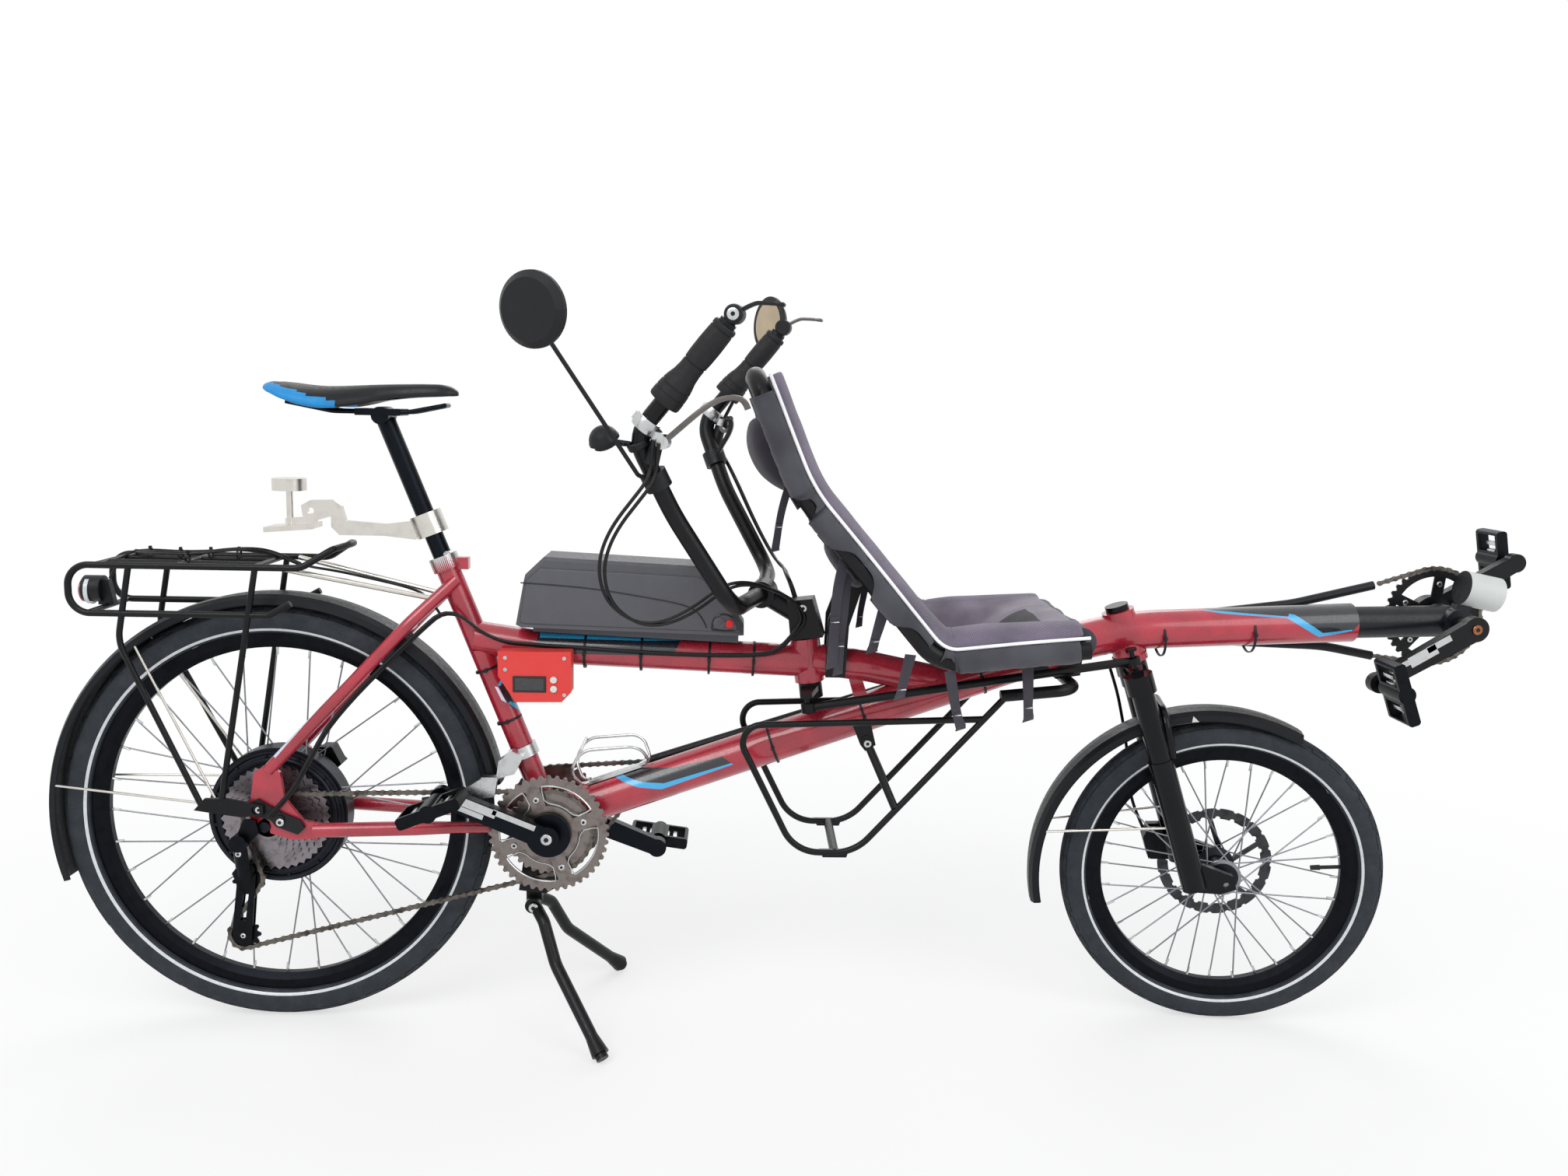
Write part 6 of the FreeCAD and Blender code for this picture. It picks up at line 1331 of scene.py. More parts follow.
@dataclass
class FrontSeat:
    """Sling seat: sleeves round the frame's two side tubes, rolled edges with white piping, and a middle that sags."""

    path: tuple[tuple[float, float], ...] = ((722, 1010), (742, 962), (758, 922), (790, 846), (844, 784), (894, 725),
        (944, 665), (990, 611),
                                             (1052, 618), (1130, 627), (1212, 634))
    tube_y: float = 166
    sleeve: float = 18.5
    width_steps: int = 36
    line: list[Vector] = field(default_factory=list)

    def side_line(self) -> list[Vector]:
        """Tube's centre line in the plane y = 0, from the top, worked out once.

        Returns:
            Close points in metres.
        """
        if not self.line:
            self.line = spline_points([at(x, 0, z) for x, z in self.path], 12)
        return self.line

    def length(self) -> float:
        """Length of the tube's line in metres."""
        line = self.side_line()
        return sum((b - a).length for a, b in zip(line, line[1:]))

    def station(self, share: float) -> tuple[Vector, Vector, Vector]:
        """Where the sling is at a share of the tube's length.

        Args:
            share: Share of the way from the top to the front edge.

        Returns:
            Point on the tube's line, its direction and the way that faces the rider.
        """
        line = self.side_line()
        spot = share * (len(line) - 1)
        i = min(int(spot), len(line) - 2)
        here = line[i].lerp(line[i + 1], spot - i)
        ahead = (line[min(i + 2, len(line) - 1)] - line[max(i - 1, 0)]).normalized()
        return here, ahead, Vector((-ahead.z, 0, ahead.x))

    def height(self, share: float, y: float) -> float:
        """How far the sling's face stands in front of the tubes' centres, in millimetres.

        Args:
            share: Share of the way from the top to the front edge.
            y: Offset from the middle.

        Returns:
            Height in millimetres.
        """
        a = abs(y)
        base = math.exp(-((share - 0.82) / 0.16) ** 2)
        roll = 31 + 9 * base
        rise = eased(clamped((share - 0.88) / 0.09))
        full = math.exp(-((share - 0.5) / 0.13) ** 2)
        dip = (-2 - 10 * base + 13 * full) * (1 - rise) + 29 * rise
        inner = max(dip, roll * 0.62)
        knots = ((0, dip), (40, dip + 1), (80, min(dip + 6, inner)), (104, inner), (122, roll * 0.97), (138, roll),
                 (152, roll * 0.9), (164, 24.0), (173, 18.5))
        for (y1, n1), (y2, n2) in zip(knots, knots[1:]):
            if a <= y2:
                return n1 + (n2 - n1) * eased((a - y1) / (y2 - y1))
        return 13.0

    def surface(self, share: float, y: float, lift: float = 0.0) -> Vector:
        """Point on the sling's face."""
        here, _, out = self.station(share)
        return here + out * (self.height(share, y) + lift) / 1000 + Vector((0, y / 1000, 0))

    def build(self) -> list[bpy.types.Object]:
        """Builds the cover, its pouches and the straps.

        Returns:
            All of the seat's pieces.
        """
        return [self.cover(), self.piping(), self.sleeves(), self.pouch(), self.side_pocket(), self.straps()]

    def cover(self) -> bpy.types.Object:
        """Builds the sling with its zones: rolled mesh edges, woven middle and an open mesh strip in the seat.

        Returns:
            The sling.
        """
        bm = bmesh.new()
        layer = bm.loops.layers.uv.verify()
        rows, columns = 96, self.width_steps
        bmesh.ops.create_grid(bm, x_segments=columns, y_segments=rows, size=0.5)
        long = self.length()
        share_of = {}
        for vert in bm.verts:
            across, share = vert.co.x * 2, 0.006 + (vert.co.y + 0.5) * 0.985
            y = 172 * flattened(across, 0.92)
            fold = 0.8 * math.sin(share * 61 + y * 0.05) + 0.7 * math.sin(share * 37 - y * 0.09 + 2)
            calm = 1.0 if abs(y) < 120 else 0.25
            share_of[vert] = (share, y)
            vert.co = self.surface(share, y, fold * calm)
        for face in bm.faces:
            for loop in face.loops:
                share, y = share_of[loop.vert]
                loop[layer].uv = (y / 1000, share * long)
            share = sum(share_of[v][0] for v in face.verts) / 4
            y = sum(share_of[v][1] for v in face.verts) / 4
            reach = clamped((share - 0.66) / 0.2) ** 0.7
            near_gap = 0.70 < share < 0.962 and -112 < y < -112 + 140 * reach
            face.material_index = 0 if abs(y) > 118 else 2 if near_gap else 1
        seams = [e for e in bm.edges if len({f.material_index for f in e.link_faces}) > 1]
        dented = {v for e in seams for v in e.verts}
        for vert in dented:
            share, y = share_of[vert]
            _, _, out = self.station(share)
            vert.co -= out * 0.0022
        obj = placed("seat_sling", bm, (MESH, PANEL, OPEN_MESH), "frame", ("seat_cover",), 60, False)
        walled(obj, 5.5)
        smoothed(obj, 1)
        return obj

    def piping(self) -> bpy.types.Object:
        """Builds the white cord sewn between the sleeves and the rolled edges.

        Returns:
            The cord of both sides.
        """
        bm = bmesh.new()
        for side in (-1, 1):
            points = [self.surface(0.004 + 0.992 * k / 60, side * 173,
                                   0.6) + Vector((0, side * 0.0025, 0)) for k in range(61)]
            add_tube(bm, points, 5.2, 8)
        return placed("seat_piping", bm, (PIPING,), "frame", sharp=60)

    def sleeves(self) -> bpy.types.Object:
        """Builds the dark sleeves round the tubes, cut away in four places, and the roll across the front edge.

        Returns:
            One piece with all of them.
        """
        bm = bmesh.new()
        layer = bm.loops.layers.uv.verify()
        spans = ((0.03, 0.455), (0.455, 0.675), (0.72, 0.985))
        hollows = ((0.455, 0.085), (0.655, 0.085), (0.30, 0.03), (0.74, 0.035))
        long = self.length()
        sides = 20
        for side in (-1, 1):
            for start, end in spans:
                count = max(6, int((end - start) * 110))
                rings = []
                for k in range(count + 1):
                    share = start + (end - start) * k / count
                    here, _, out = self.station(share)
                    hem = 0.8 if k in (0, count) else 0.0
                    cut = eased(max(0.0, max(1 - ((share - middle) / wide) ** 2 for middle, wide in hollows)))
                    ring = []
                    for n in range(sides + 1):
                        a = -2.0 + 2.35 * cut + (math.tau - 2.75 * cut) * n / sides
                        wrinkle = 0.7 * math.sin(a * 3 + share * 90) * math.sin(share * 210 + a)
                        r = (self.sleeve - hem + wrinkle) / 1000
                        ring.append(
                            bm.verts.new(here + Vector((0, side * (self.tube_y / 1000 + math.cos(a) * r),
                                0)) + out * math.sin(a) * r))
                    rings.append(ring)
                for k, (first, second) in enumerate(zip(rings, rings[1:])):
                    for n in range(sides):
                        face = bm.faces.new((first[n], first[n + 1], second[n + 1], second[n]))
                        for loop, (u, v) in zip(face.loops, ((n, k), (n + 1, k), (n + 1, k + 1), (n, k + 1))):
                            loop[layer].uv = (u / sides * math.tau * self.sleeve / 1000,
                                (start + (end - start) * v / count) * long)
        front = [at(1199 + 3 * math.sin(k * 2.1), -150 + 300 * k / 24, 640 + 2 * math.cos(k * 1.7)) for k in range(25)]
        add_tube(bm, front, lambda s: 42 + 1.5 * math.sin(s * 23), 20)
        obj = placed("seat_sleeves", bm, (BAND,), "frame", sharp=50)
        walled(obj, 1.8)
        return obj

    def pouch(self) -> bpy.types.Object:
        """Builds the bag that hangs behind the upper back.

        Returns:
            The bag.
        """
        def shape(x: float, y: float, z: float) -> tuple[float, float, float]:
            """Fuller below its middle and drawn forward at its foot.

            Args:
                x: Ahead, from -1 to 1.
                y: Across, from -1 to 1.
                z: Up, from -1 to 1.

            Returns:
                Millimetres from the middle.
            """
            down = (1 - z) / 2
            wide = 0.62 + 0.5 * math.sin(math.pi * min(1, down * 0.92 + 0.05))
            return (flattened(x, 0.8) * 30 * wide + 20 * down - 10, flattened(y, 0.7) * 74 * (0.8 + 0.2 * wide),
                    flattened(z, 0.85) * 60)

        return self.bag("back_pouch", at(752, -52, 898), -20, shape, 9, 0.55)

    def side_pocket(self) -> bpy.types.Object:
        """Builds the flat pad pocket lower on the back.

        Returns:
            The pocket.
        """
        def shape(x: float, y: float, z: float) -> tuple[float, float, float]:
            """Flat pad with round corners."""
            return flattened(x, 0.8) * 17, flattened(y, 0.7) * 48, flattened(z, 0.75) * 42

        return self.bag("side_pocket", at(858, -84, 744), -38, shape, 7, 0.4)

    def bag(self, name: str, middle: Vector, tilt: float,
            shape: Callable[[float, float, float], tuple[float, float, float]],
            cap: float, fill: float) -> bpy.types.Object:
        """Builds one swollen bag from a ball and wraps it behind the sling.

        Args:
            name: Name of the piece.
            middle: Where it hangs, in metres.
            tilt: Degrees that it leans.
            shape: Millimetres from the middle for a point of the ball.
            cap: Furthest that it swells, in millimetres.
            fill: How full the padding is; not used.

        Returns:
            The bag.
        """
        bm = bmesh.new()
        made = bmesh.ops.create_icosphere(bm, subdivisions=4, radius=1.0)
        for vert in made["verts"]:
            vert.co = Vector(shape(*vert.co)) / 1000
        lean = Matrix.Translation(middle) @ Matrix.Rotation(math.radians(tilt), 4, "Y")
        bmesh.ops.transform(bm, matrix=lean, verts=bm.verts)
        bag = placed(name, bm, (POUCH,), "", sharp=60)
        puffed(bag, 5, 3.0, cap)
        return self.wrapped(bag)

    def wrapped(self, bag: bpy.types.Object) -> bpy.types.Object:
        """Presses a swollen bag flat behind the sling, gives it its weave and rides it on the frame.

        Args:
            bag: The bag.

        Returns:
            The bag.
        """
        mesh = bag.data
        stations = [(k / 60, *self.station(k / 60)) for k in range(61)]
        for vert in mesh.vertices:
            flat = Vector((vert.co.x, 0, vert.co.z))
            share, here, _, out = min(stations, key=lambda s: (flat - s[1]).length)
            over = (flat - here).dot(out) * 1000 - min(self.height(share, vert.co.y * 1000), 0) + 11
            if over > 0:
                vert.co -= out * (over * 0.96) / 1000
        layer = mesh.uv_layers.new(name="weave")
        for polygon in mesh.polygons:
            normal = polygon.normal
            for loop in polygon.loop_indices:
                co = mesh.vertices[mesh.loops[loop].vertex_index].co
                layer.data[loop].uv = (co.x, co.z) if abs(normal.y) > 0.6 else (co.y, co.z)
        mesh.materials.clear()
        mesh.materials.append(material(POUCH))
        for polygon in mesh.polygons:
            polygon.use_smooth = True
        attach(bag, "frame")
        log.info("%s: %d faces on frame", bag.name, len(mesh.polygons))
        return bag

    def straps(self) -> bpy.types.Object:
        """Builds the lacing straps behind the back and their hanging tails.

        Returns:
            One piece with all of them.
        """
        bm = bmesh.new()
        for share in (0.10, 0.19, 0.28, 0.37, 0.46, 0.54, 0.80, 0.90):
            points = []
            for k in range(-8, 9):
                y = k / 8 * 160
                here, _, out = self.station(share)
                back = -19 if abs(y) > 140 else -12
                points.append(here + out * back / 1000 + Vector((0, y / 1000, 0)))
            _, ahead, _ = self.station(share)
            add_strip(bm, points, lambda s, d=ahead: d, 24, 1.6)
        tails = (
            ((776, 868), (768, 844), (759, 803), (755, 763), -120, 13),
            ((858, 776), (846, 735), (841, 682), (838, 600), -160, 18),
            ((858, 776), (856, 700), (850, 634), (848, 588), -148, 16),
            ((912, 690), (905, 660), (900, 640), (896, 622), -152, 19),
            ((948, 625), (942, 596), (938, 575), (935, 560), -178, 18),
            ((1005, 602), (1012, 566), (1018, 540), (1025, 516), -176, 17),
            ((1122, 606), (1125, 575), (1127, 545), (1128, 524), -150, 19),
            ((908, 703), (901, 664), (898, 640), (897, 622), 66, 12),
        )
        for *route, y, wide in tails:
            line = spline_points([at(x, y + 3 * k, z) for k, (x, z) in enumerate(route)], 10)
            facing = lambda s: Vector((1, 0.35 + 0.5 * s, 0.2)).normalized()
            add_strip(bm, line, facing, wide, 2.0)
            lift = Vector((0, -0.0032, 0))
            add_strip(bm,
                      [line[-1] + Vector((0, -0.001, -0.001)), line[-1] + lift * 1.4 + Vector((0, 0, 0.004)),
                       line[-5] + lift, line[-9] + lift * 0.8], facing, wide, 1.8)
            stitch = line[-8] + lift * 1.35
            add_strip(bm, [stitch - Vector((0, 0, 0.0006)), stitch + Vector((0, 0, 0.0006))], facing, wide - 3, 0.8, 1)
        return placed("seat_webbing", bm, (WEBBING, PIPING), "frame", ("seat_straps",), 40)


@dataclass
class Saddle:
    """Vinyl saddle: broad tail with drooping wings, blue under the tail, and a slim nose that turns down."""

    stations: tuple[tuple[float, float, float, float, float], ...] = (
        # station, half width, crest, edge at the wing, underside in the middle
        (3, 30, 985, 980, 978), (8, 46, 988.5, 977, 977), (22, 62, 989.5, 972, 976), (48, 73, 987, 962, 974),
        (76, 74.5, 985, 955, 971),
        (104, 69, 985, 953, 968), (126, 57, 986, 955, 965), (150, 42, 987.5, 959.5, 964), (180, 30, 989, 966, 967),
        (212, 24, 990, 970, 971),
        (244, 20.5, 990.5, 972, 973), (264, 16, 988.5, 973, 974.5), (276, 9, 983, 974, 975), (280, 4, 979, 975, 976))

    def ring(self, bm: bmesh.types.BMesh, x: float, wide: float, crest: float, edge: float,
             under: float) -> list[bmesh.types.BMVert]:
        """Adds one cross section: crowned top, round shoulders, wings turned in below and a raised underside.

        Args:
            bm: Mesh that gets it.
            x: Station.
            wide: Half width.
            crest: Height of the top.
            edge: Height of the wing's edge.
            under: Height of the underside in the middle.

        Returns:
            Its points in order.
        """
        over = []
        for k in range(13):
            share = -1 + k / 6
            fall = abs(share) ** 2.6
            z = crest - (crest - edge) * (0.16 * share * share + 0.70 * fall)
            if abs(share) < 0.19 and 20 < x < 250:
                z -= 3.2 * (1 - abs(share) / 0.19)
            over.append((wide * math.sin(share * math.pi / 2 * 0.94) / math.sin(math.pi / 2 * 0.94), z))
        lower = [(wide * 0.985, edge + (crest - edge) * 0.06), (wide * 0.95, edge), (wide * 0.84, edge + 1),
                 (wide * 0.70, under - 2), (wide * 0.35, under)]
        outline = over + lower + [(0.0, under)] + [(-y, z) for y, z in reversed(lower)]
        return [bm.verts.new(at(x, y, z)) for y, z in outline]

    def build(self) -> bpy.types.Object:
        """Builds the saddle, blue under its tail.

        Returns:
            The saddle.
        """
        bm = bmesh.new()
        rings = [self.ring(bm, *station) for station in self.stations]
        sides = len(rings[0])
        for first, second in zip(rings, rings[1:]):
            for k in range(sides):
                bm.faces.new((first[k], first[(k + 1) % sides], second[(k + 1) % sides], second[k]))
        bm.faces.new(rings[0])
        bm.faces.new(rings[-1][::-1])
        bmesh.ops.recalc_face_normals(bm, faces=bm.faces)
        bmesh.ops.subdivide_edges(bm, edges=bm.edges, cuts=1, use_grid_fill=True, smooth=1.0)
        for face in bm.faces:
            spot = face.calc_center_median() * 1000
            x, y, z = spot.x + ORIGIN_AHEAD, abs(spot.y), spot.z
            seam = 990 - 0.27 * max(0, x - 10)
            face.material_index = 1 if x < 112 and z < seam and (y > 22 or x < 14) else 0
        obj = placed("padded_saddle", bm, (SADDLE, SADDLE_BLUE), "frame", ("saddle",), 60, False)
        smoothed(obj, 2)
        return obj


@dataclass
class Hoses:
    """Brake hoses and gear cables: a loop from the near lever, one down the far bar, both on along the frame."""

    loop: tuple[tuple[float, float, float], ...] = (
        (586, -244, 922), (584, -238, 904), (583, -231.5, 886), (577, -238, 866), (557, -240, 840), (535, -236, 811),
        (519, -224, 781), (511, -216, 750),
        (514, -206, 717), (526, -192, 690), (553, -176, 667), (581, -162, 661), (610, -148, 667), (641, -134, 683),
        (667, -120, 702), (692, -106, 714),
        (723, -86, 712), (759, -56, 696), (786, -26, 676), (802, -24, 650))
    far: tuple[tuple[float, float, float], ...] = (
        (606, 248, 930), (612, 256, 905), (626, 252, 889), (657, 232, 842), (700, 204, 762), (738, 178, 706),
        (762, 120, 702), (774, 50, 704), (786, 26, 690),
        (800, 26, 652))
    front: tuple[tuple[float, float, float], ...] = (
        (800, 26, 652), (806, 28, 620), (812, 27, 596), (834, 41, 570), (884, 41, 564), (960, 34, 552),
        (1080, 32.9, 561), (1160, 38, 564), (1240, 36, 590),
        (1300, 32, 598))
    rear: tuple[tuple[float, float, float], ...] = (
        (800, -26, 650), (788, -30, 628), (768, -29, 604), (740, -30, 592), (600, -29, 592), (460, -29, 600),
        (400, -29, 603), (330, -27, 608),
        (268, -30, 662), (222, -46, 622), (100, -64, 496), (66, -78, 430), (40, -84, 380), (8, -86, 348))

    def build(self) -> list[bpy.types.Object]:
        """Builds the hoses; what hangs from the bar is blended to the frame at the stem, and the rest rides the
        frame.

        Returns:
            The pieces.
        """
        pieces = []
        for name, bar, along, offsets in (
            ("near_hoses", self.loop, self.rear, ((0, 0, 0), (7, 3, -4))),
            ("far_hoses", self.far, self.front, ((0, 0, 0), (-5, 4, 5))),
        ):
            bm, fixed = bmesh.new(), bmesh.new()
            for dx, dy, dz in offsets:
                turned = []
                for i, (x, y, z) in enumerate(bar):
                    share = 1.0 if bar is self.loop else clamped((i - len(bar) + 5) / 4)
                    point = at(x + dx, y + dy, z + dz)
                    turned.append((BAR_TURN @ point).lerp(point, share * share))
                rest = [at(x + dx * 0.3, y + dy, z + dz * 0.6) for x, y, z in along[1:]]
                line = spline_points(turned + rest, 6)
                joint = min(range(len(line)), key=lambda i: (line[i] - turned[-1]).length)
                add_tube(bm, line[:joint + 1], 5, 8)
                add_tube(fixed, line[joint:], 5, 8)
            near = name == "near_hoses"
            obj = placed(name, bm, (HOSE,), "", ("bar_cables",) if near else (), 60)
            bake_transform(obj)
            pieces.append(obj)
            pieces.append(placed(name[:-6] + "_runs", fixed, (HOSE,), "frame", ("frame_cables",) if near else (),
                                 60))
        return pieces


@dataclass
class Battery:
    """Battery case: grey side shells with a moulded groove on the dark case, a lock recess and its red button."""

    outline: tuple[tuple[float, float], ...] = ((376, 640), (386, 704), (408, 722), (640, 713), (660, 704), (704, 642),
        (704, 630), (384, 638))
    half: float = 44

    def build(self) -> list[bpy.types.Object]:
        """Builds the side shells, and the lock with its button.

        Returns:
            Both pieces.
        """
        bm = bmesh.new()
        for side in (-1, 1):
            low = [bm.verts.new(at(x, side * (self.half - 0.6), z)) for x, z in self.outline]
            face = bm.faces.new(low)
            bmesh.ops.extrude_face_region(bm, geom=[face])
            top = [
                f for f in bm.faces if all(
                    v not in low and abs(v.co.y - side * (self.half - 0.6) / 1000) < 1e-7 for v in f.verts)]
            for vert in {v for f in top for v in f.verts}:
                vert.co.y += side * 0.0032
            rim = [e for f in top for e in f.edges]
            bmesh.ops.bevel(bm, geom=rim, offset=0.002, offset_type="OFFSET", affect="EDGES", segments=3, profile=0.5,
                            material=-1)
        shells = placed("battery_shells", bm, (CASE,), "frame", sharp=30)
        bm = bmesh.new()
        for side in (-1, 1):
            y = side * (self.half + 2.7)
            groove = [at(x, y, z) for x, z in ((378, 700), (466, 696), (560, 682), (628, 670), (648, 655), (656, 636))]
            add_tube(bm, spline_points(groove, 8), 2.2, 6, 0)
            arch = [at(x, y, z) for x,
                    z in ((664, 634), (664, 646), (672, 656), (684, 658), (696, 652), (702, 640), (702, 633),
                          (690, 632), (676, 632))]
            add_tube(bm, spline_points(arch + arch[:1], 8), 3.0, 8, 0)
            middle = at(675, y, 644)
            add_ring(bm, middle, Vector((0, side, 0)), ((0.5, 0), (9, 0), (9, 1.6), (7.5, 2.4), (0.5, 2.4)), 24,
                     (1,) * 5)
            add_block(bm, middle + Vector((0, side * 0.003, 0)), (14, 1.6, 3),
                      Matrix.Rotation(math.radians(-50), 4, "Y"), 0.4, 1)
            spot = at(690, y, 643)
            if side < 0:
                add_ring(bm, spot, Vector((0, side, 0)), ((0.5, 0), (6.2, 0), (6.2, 2.6), (5, 3.8), (0.5, 4.2)), 28,
                         (2,) * 5)
        lock = placed("battery_lock", bm, (CASE_TOP, CASE, RED_BUTTON), "frame", sharp=35)
        return [shells, lock]


@dataclass
class DisplayBox:
    """Window, two buttons and four screws on the printed display box."""

    face_y: float = -57.6

    def build(self) -> bpy.types.Object:
        """Builds what is on the box's near face.

        Returns:
            The piece.
        """
        bm = bmesh.new()
        y = self.face_y
        add_block(bm, at(392, y, 548), (50, 2.4, 25), None, 1.0, 0)
        add_block(bm, at(392, y - 0.9, 548), (43, 1.6, 18), None, 0.5, 1)
        for z in (555, 541):
            add_ring(bm, at(428, y, z), Vector((0, -1, 0)), ((0.5, 0), (5.2, 0), (5.2, 1.6), (4.2, 2.6), (0.5, 3.0)),
                     24, (2,) * 5)
        for x in (356, 444):
            for z in (588, 532 if x > 400 else 570):
                add_ring(bm, at(x, y, z), Vector((0, -1, 0)), ((0.4, 0), (3, 0), (3, 0.8), (0.4, 1.0)), 16, (3,) * 4)
        return placed("display_face", bm, (CASE_TOP, SCREEN, WHITE_BUTTON, ALLOY), "frame",
                      sharp=35)


@dataclass
class CableTies:
    """Nylon ties and clips that hold the cables on the frame tubes."""

    rings: tuple[tuple[tuple[float, float, float], tuple[float, float, float], float], ...] = (
        ((470, 0, 590), TOP_TUBE_WAY, 26), ((556, 0, 587), TOP_TUBE_WAY, 26), ((660, 0, 583), TOP_TUBE_WAY, 26),
        ((728, 0, 581), TOP_TUBE_WAY, 26), ((352, 0, 480), SEAT_TUBE_WAY, 19), ((320, 0, 560), SEAT_TUBE_WAY, 19),
        ((1360, 0, 628), (0.99, 0, 0.1), 32), ((1500, 0, 636), (0.998, 0, 0.06), 32),
        ((900, 0, 497), MAIN_TUBE_WAY, 31),
        ((1080, 0, 562), MAIN_TUBE_WAY, 31), ((760, 0, 447), MAIN_TUBE_WAY, 31))

    def build(self) -> bpy.types.Object:
        """Builds the ties.

        Returns:
            One piece with all of them.
        """
        bm = bmesh.new()
        for centre, axis, radius in self.rings:
            section = ((radius - 0.5, -1.8), (radius + 1.1, -1.8), (radius + 1.1, 1.8), (radius - 0.5, 1.8))
            add_ring(bm, at(*centre), Vector(axis), section, 32)
            head = at(*centre) + Vector((0, -(radius + 2) / 1000, 0))
            add_block(bm, head, (5, 4, 6), None, 0.6)
        return placed("cable_ties", bm, (TIE,), "frame", sharp=35)


@dataclass
class Fittings:
    """Bright bolts, machined edges, lenses, cleats and cables that the model leaves plain."""

    crank: tuple[float, float] = REAR_CRANK
    boom_crank: tuple[float, float] = BOOM_CRANK
    pedal_tilts: tuple[tuple[str, float], ...] = (
        ("rear_right_pedal", 21), ("rear_left_pedal", -8), ("front_right_pedal", 112), ("front_left_pedal", 95))

    def bolt(self, bm: bmesh.types.BMesh, spot: Vector, wide: float = 9, side: int = -1, index: int = 0,
             proud: float = 2.2) -> None:
        """Adds a socket-head bolt with a dark hexagon of painted shade in its socket recess, seated on a face that
        looks to one side.

        Args:
            bm: Mesh that gets it.
            spot: Middle of its seat, in metres.
            wide: Diameter of the head in millimetres.
            side: -1 near, 1 far.
            index: Material slot of the head; the painted shade in the recess has slot 1.
            proud: Height of the head in millimetres.
        """
        r = wide / 2
        add_ring(bm, spot, Vector((0, side, 0)),
                 ((0.3, -1.5), (r, -1.5), (r, proud - 0.8), (r - 0.8, proud), (0.3, proud)), 24, (index,) * 5)
        # painted shade: a thin dark hexagon on the head stands in for the shade inside the socket
        add_rod(bm, spot + Vector((0, side * (proud - 0.4) / 1000, 0)),
                spot + Vector((0, side * (proud + 0.15) / 1000, 0)), r * 0.95, 6, 1)

    def facet(self, bm: bmesh.types.BMesh, start: tuple[float, float], angle: float,
              spans: Sequence[tuple[float, float, float, float]]) -> None:
        """Adds polished flats along the upper edge of a near arm.

        Args:
            bm: Mesh that gets them.
            start: Station and height of the arm's axis.
            angle: Way of the arm, in degrees.
            spans: For each flat its start and end along the arm, its offset across and its width, in millimetres.
        """
        a = math.radians(angle)
        along = Vector((math.cos(a), 0, math.sin(a)))
        up = Vector((-along.z, 0, along.x)) * (1 if along.x > 0 else -1)
        base = at(start[0], -83.3, start[1])
        for first, last, offset, wide in spans:
            line = [base + along * (first + (last - first) * k / 6) / 1000 + up * offset / 1000 for k in range(7)]
            add_strip(bm, line, lambda s: up, wide, 1.6, 0)

    def window(self, bm: bmesh.types.BMesh, middle: float, spread: float) -> None:
        """Adds the machined edge of one opening between the outer chainring's arms.

        Args:
            bm: Mesh that gets it.
            middle: Way of the opening's middle, in degrees.
            spread: Half of its width, in degrees.
        """
        points = []
        for k in range(11):
            points.append((75.2, middle - spread + 2 * spread * k / 10))
        points += [(68, middle + spread * 1.02), (54, middle + spread * 0.98), (49, middle + spread * 0.8)]
        for k in range(5):
            points.append((47.2, middle + spread * (0.6 - 0.3 * k)))
        points += [(49, middle - spread * 0.8), (54, middle - spread * 0.98), (68, middle - spread * 1.02), points[0]]
        line = [at(self.crank[0] + r * math.cos(math.radians(a)), -56.6,
                   self.crank[1] + r * math.sin(math.radians(a))) for r, a in points]
        add_tube(bm, line, 2.4, 6, 0)

    def drive(self) -> list[bpy.types.Object]:
        """Builds the trim of both chainsets.

        Returns:
            The rear and the front trim.
        """
        bm = bmesh.new()
        self.bolt(bm, at(self.crank[0], -83, self.crank[1]), 17, -1, 0, 3.0)
        self.bolt(bm, at(self.crank[0], 83, self.crank[1]), 17, 1, 0, 3.0)
        self.facet(bm, self.crank, 158, ((22, 90, 9.5, 9), (84, 152, 6.5, 13), (100, 140, -4.5, 8)))
        for i in range(4):
            a = math.radians(90 * i + 20)
            self.bolt(bm, at(self.crank[0] + 56 * math.cos(a), -56.5, self.crank[1] + 56 * math.sin(a)), 10)
            self.window(bm, 90 * i + 65, 33)
        rear = placed("chainset_trim", bm, (ALLOY, BLACK_CAP_AND_SOCKET_SHADE), "rear_crank", sharp=30)
        bm = bmesh.new()
        self.bolt(bm, at(self.boom_crank[0], -83, self.boom_crank[1]), 15, -1, 2, 3.0)
        self.bolt(bm, at(self.boom_crank[0], 83, self.boom_crank[1]), 15, 1, 0, 3.0)
        self.facet(bm, self.boom_crank, self.front_angle(), ((40, 80, 9.5, 10), (66, 112, 5.5, 17), (112, 138, 8, 9)))
        for i in range(5):
            a = math.radians(72 * i + 12)
            x, z = self.boom_crank[0] + 52 * math.cos(a), self.boom_crank[1] + 52 * math.sin(a)
            self.bolt(bm, at(x, 45.4, z), 9)
        front = placed("front_chainset_trim", bm, (ALLOY, BLACK_CAP_AND_SOCKET_SHADE, COPPER), "front_crank", sharp=30)
        return [rear, front]

    def front_angle(self) -> float:
        """Way of the near front arm, from its pedal's middle.

        Returns:
            Degrees above forward.
        """
        low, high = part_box("front_right_pedal")
        axle = at(self.boom_crank[0], 0, self.boom_crank[1])
        return math.degrees(math.atan2((low[2] + high[2]) / 2 - axle.z, (low[0] + high[0]) / 2 - axle.x))

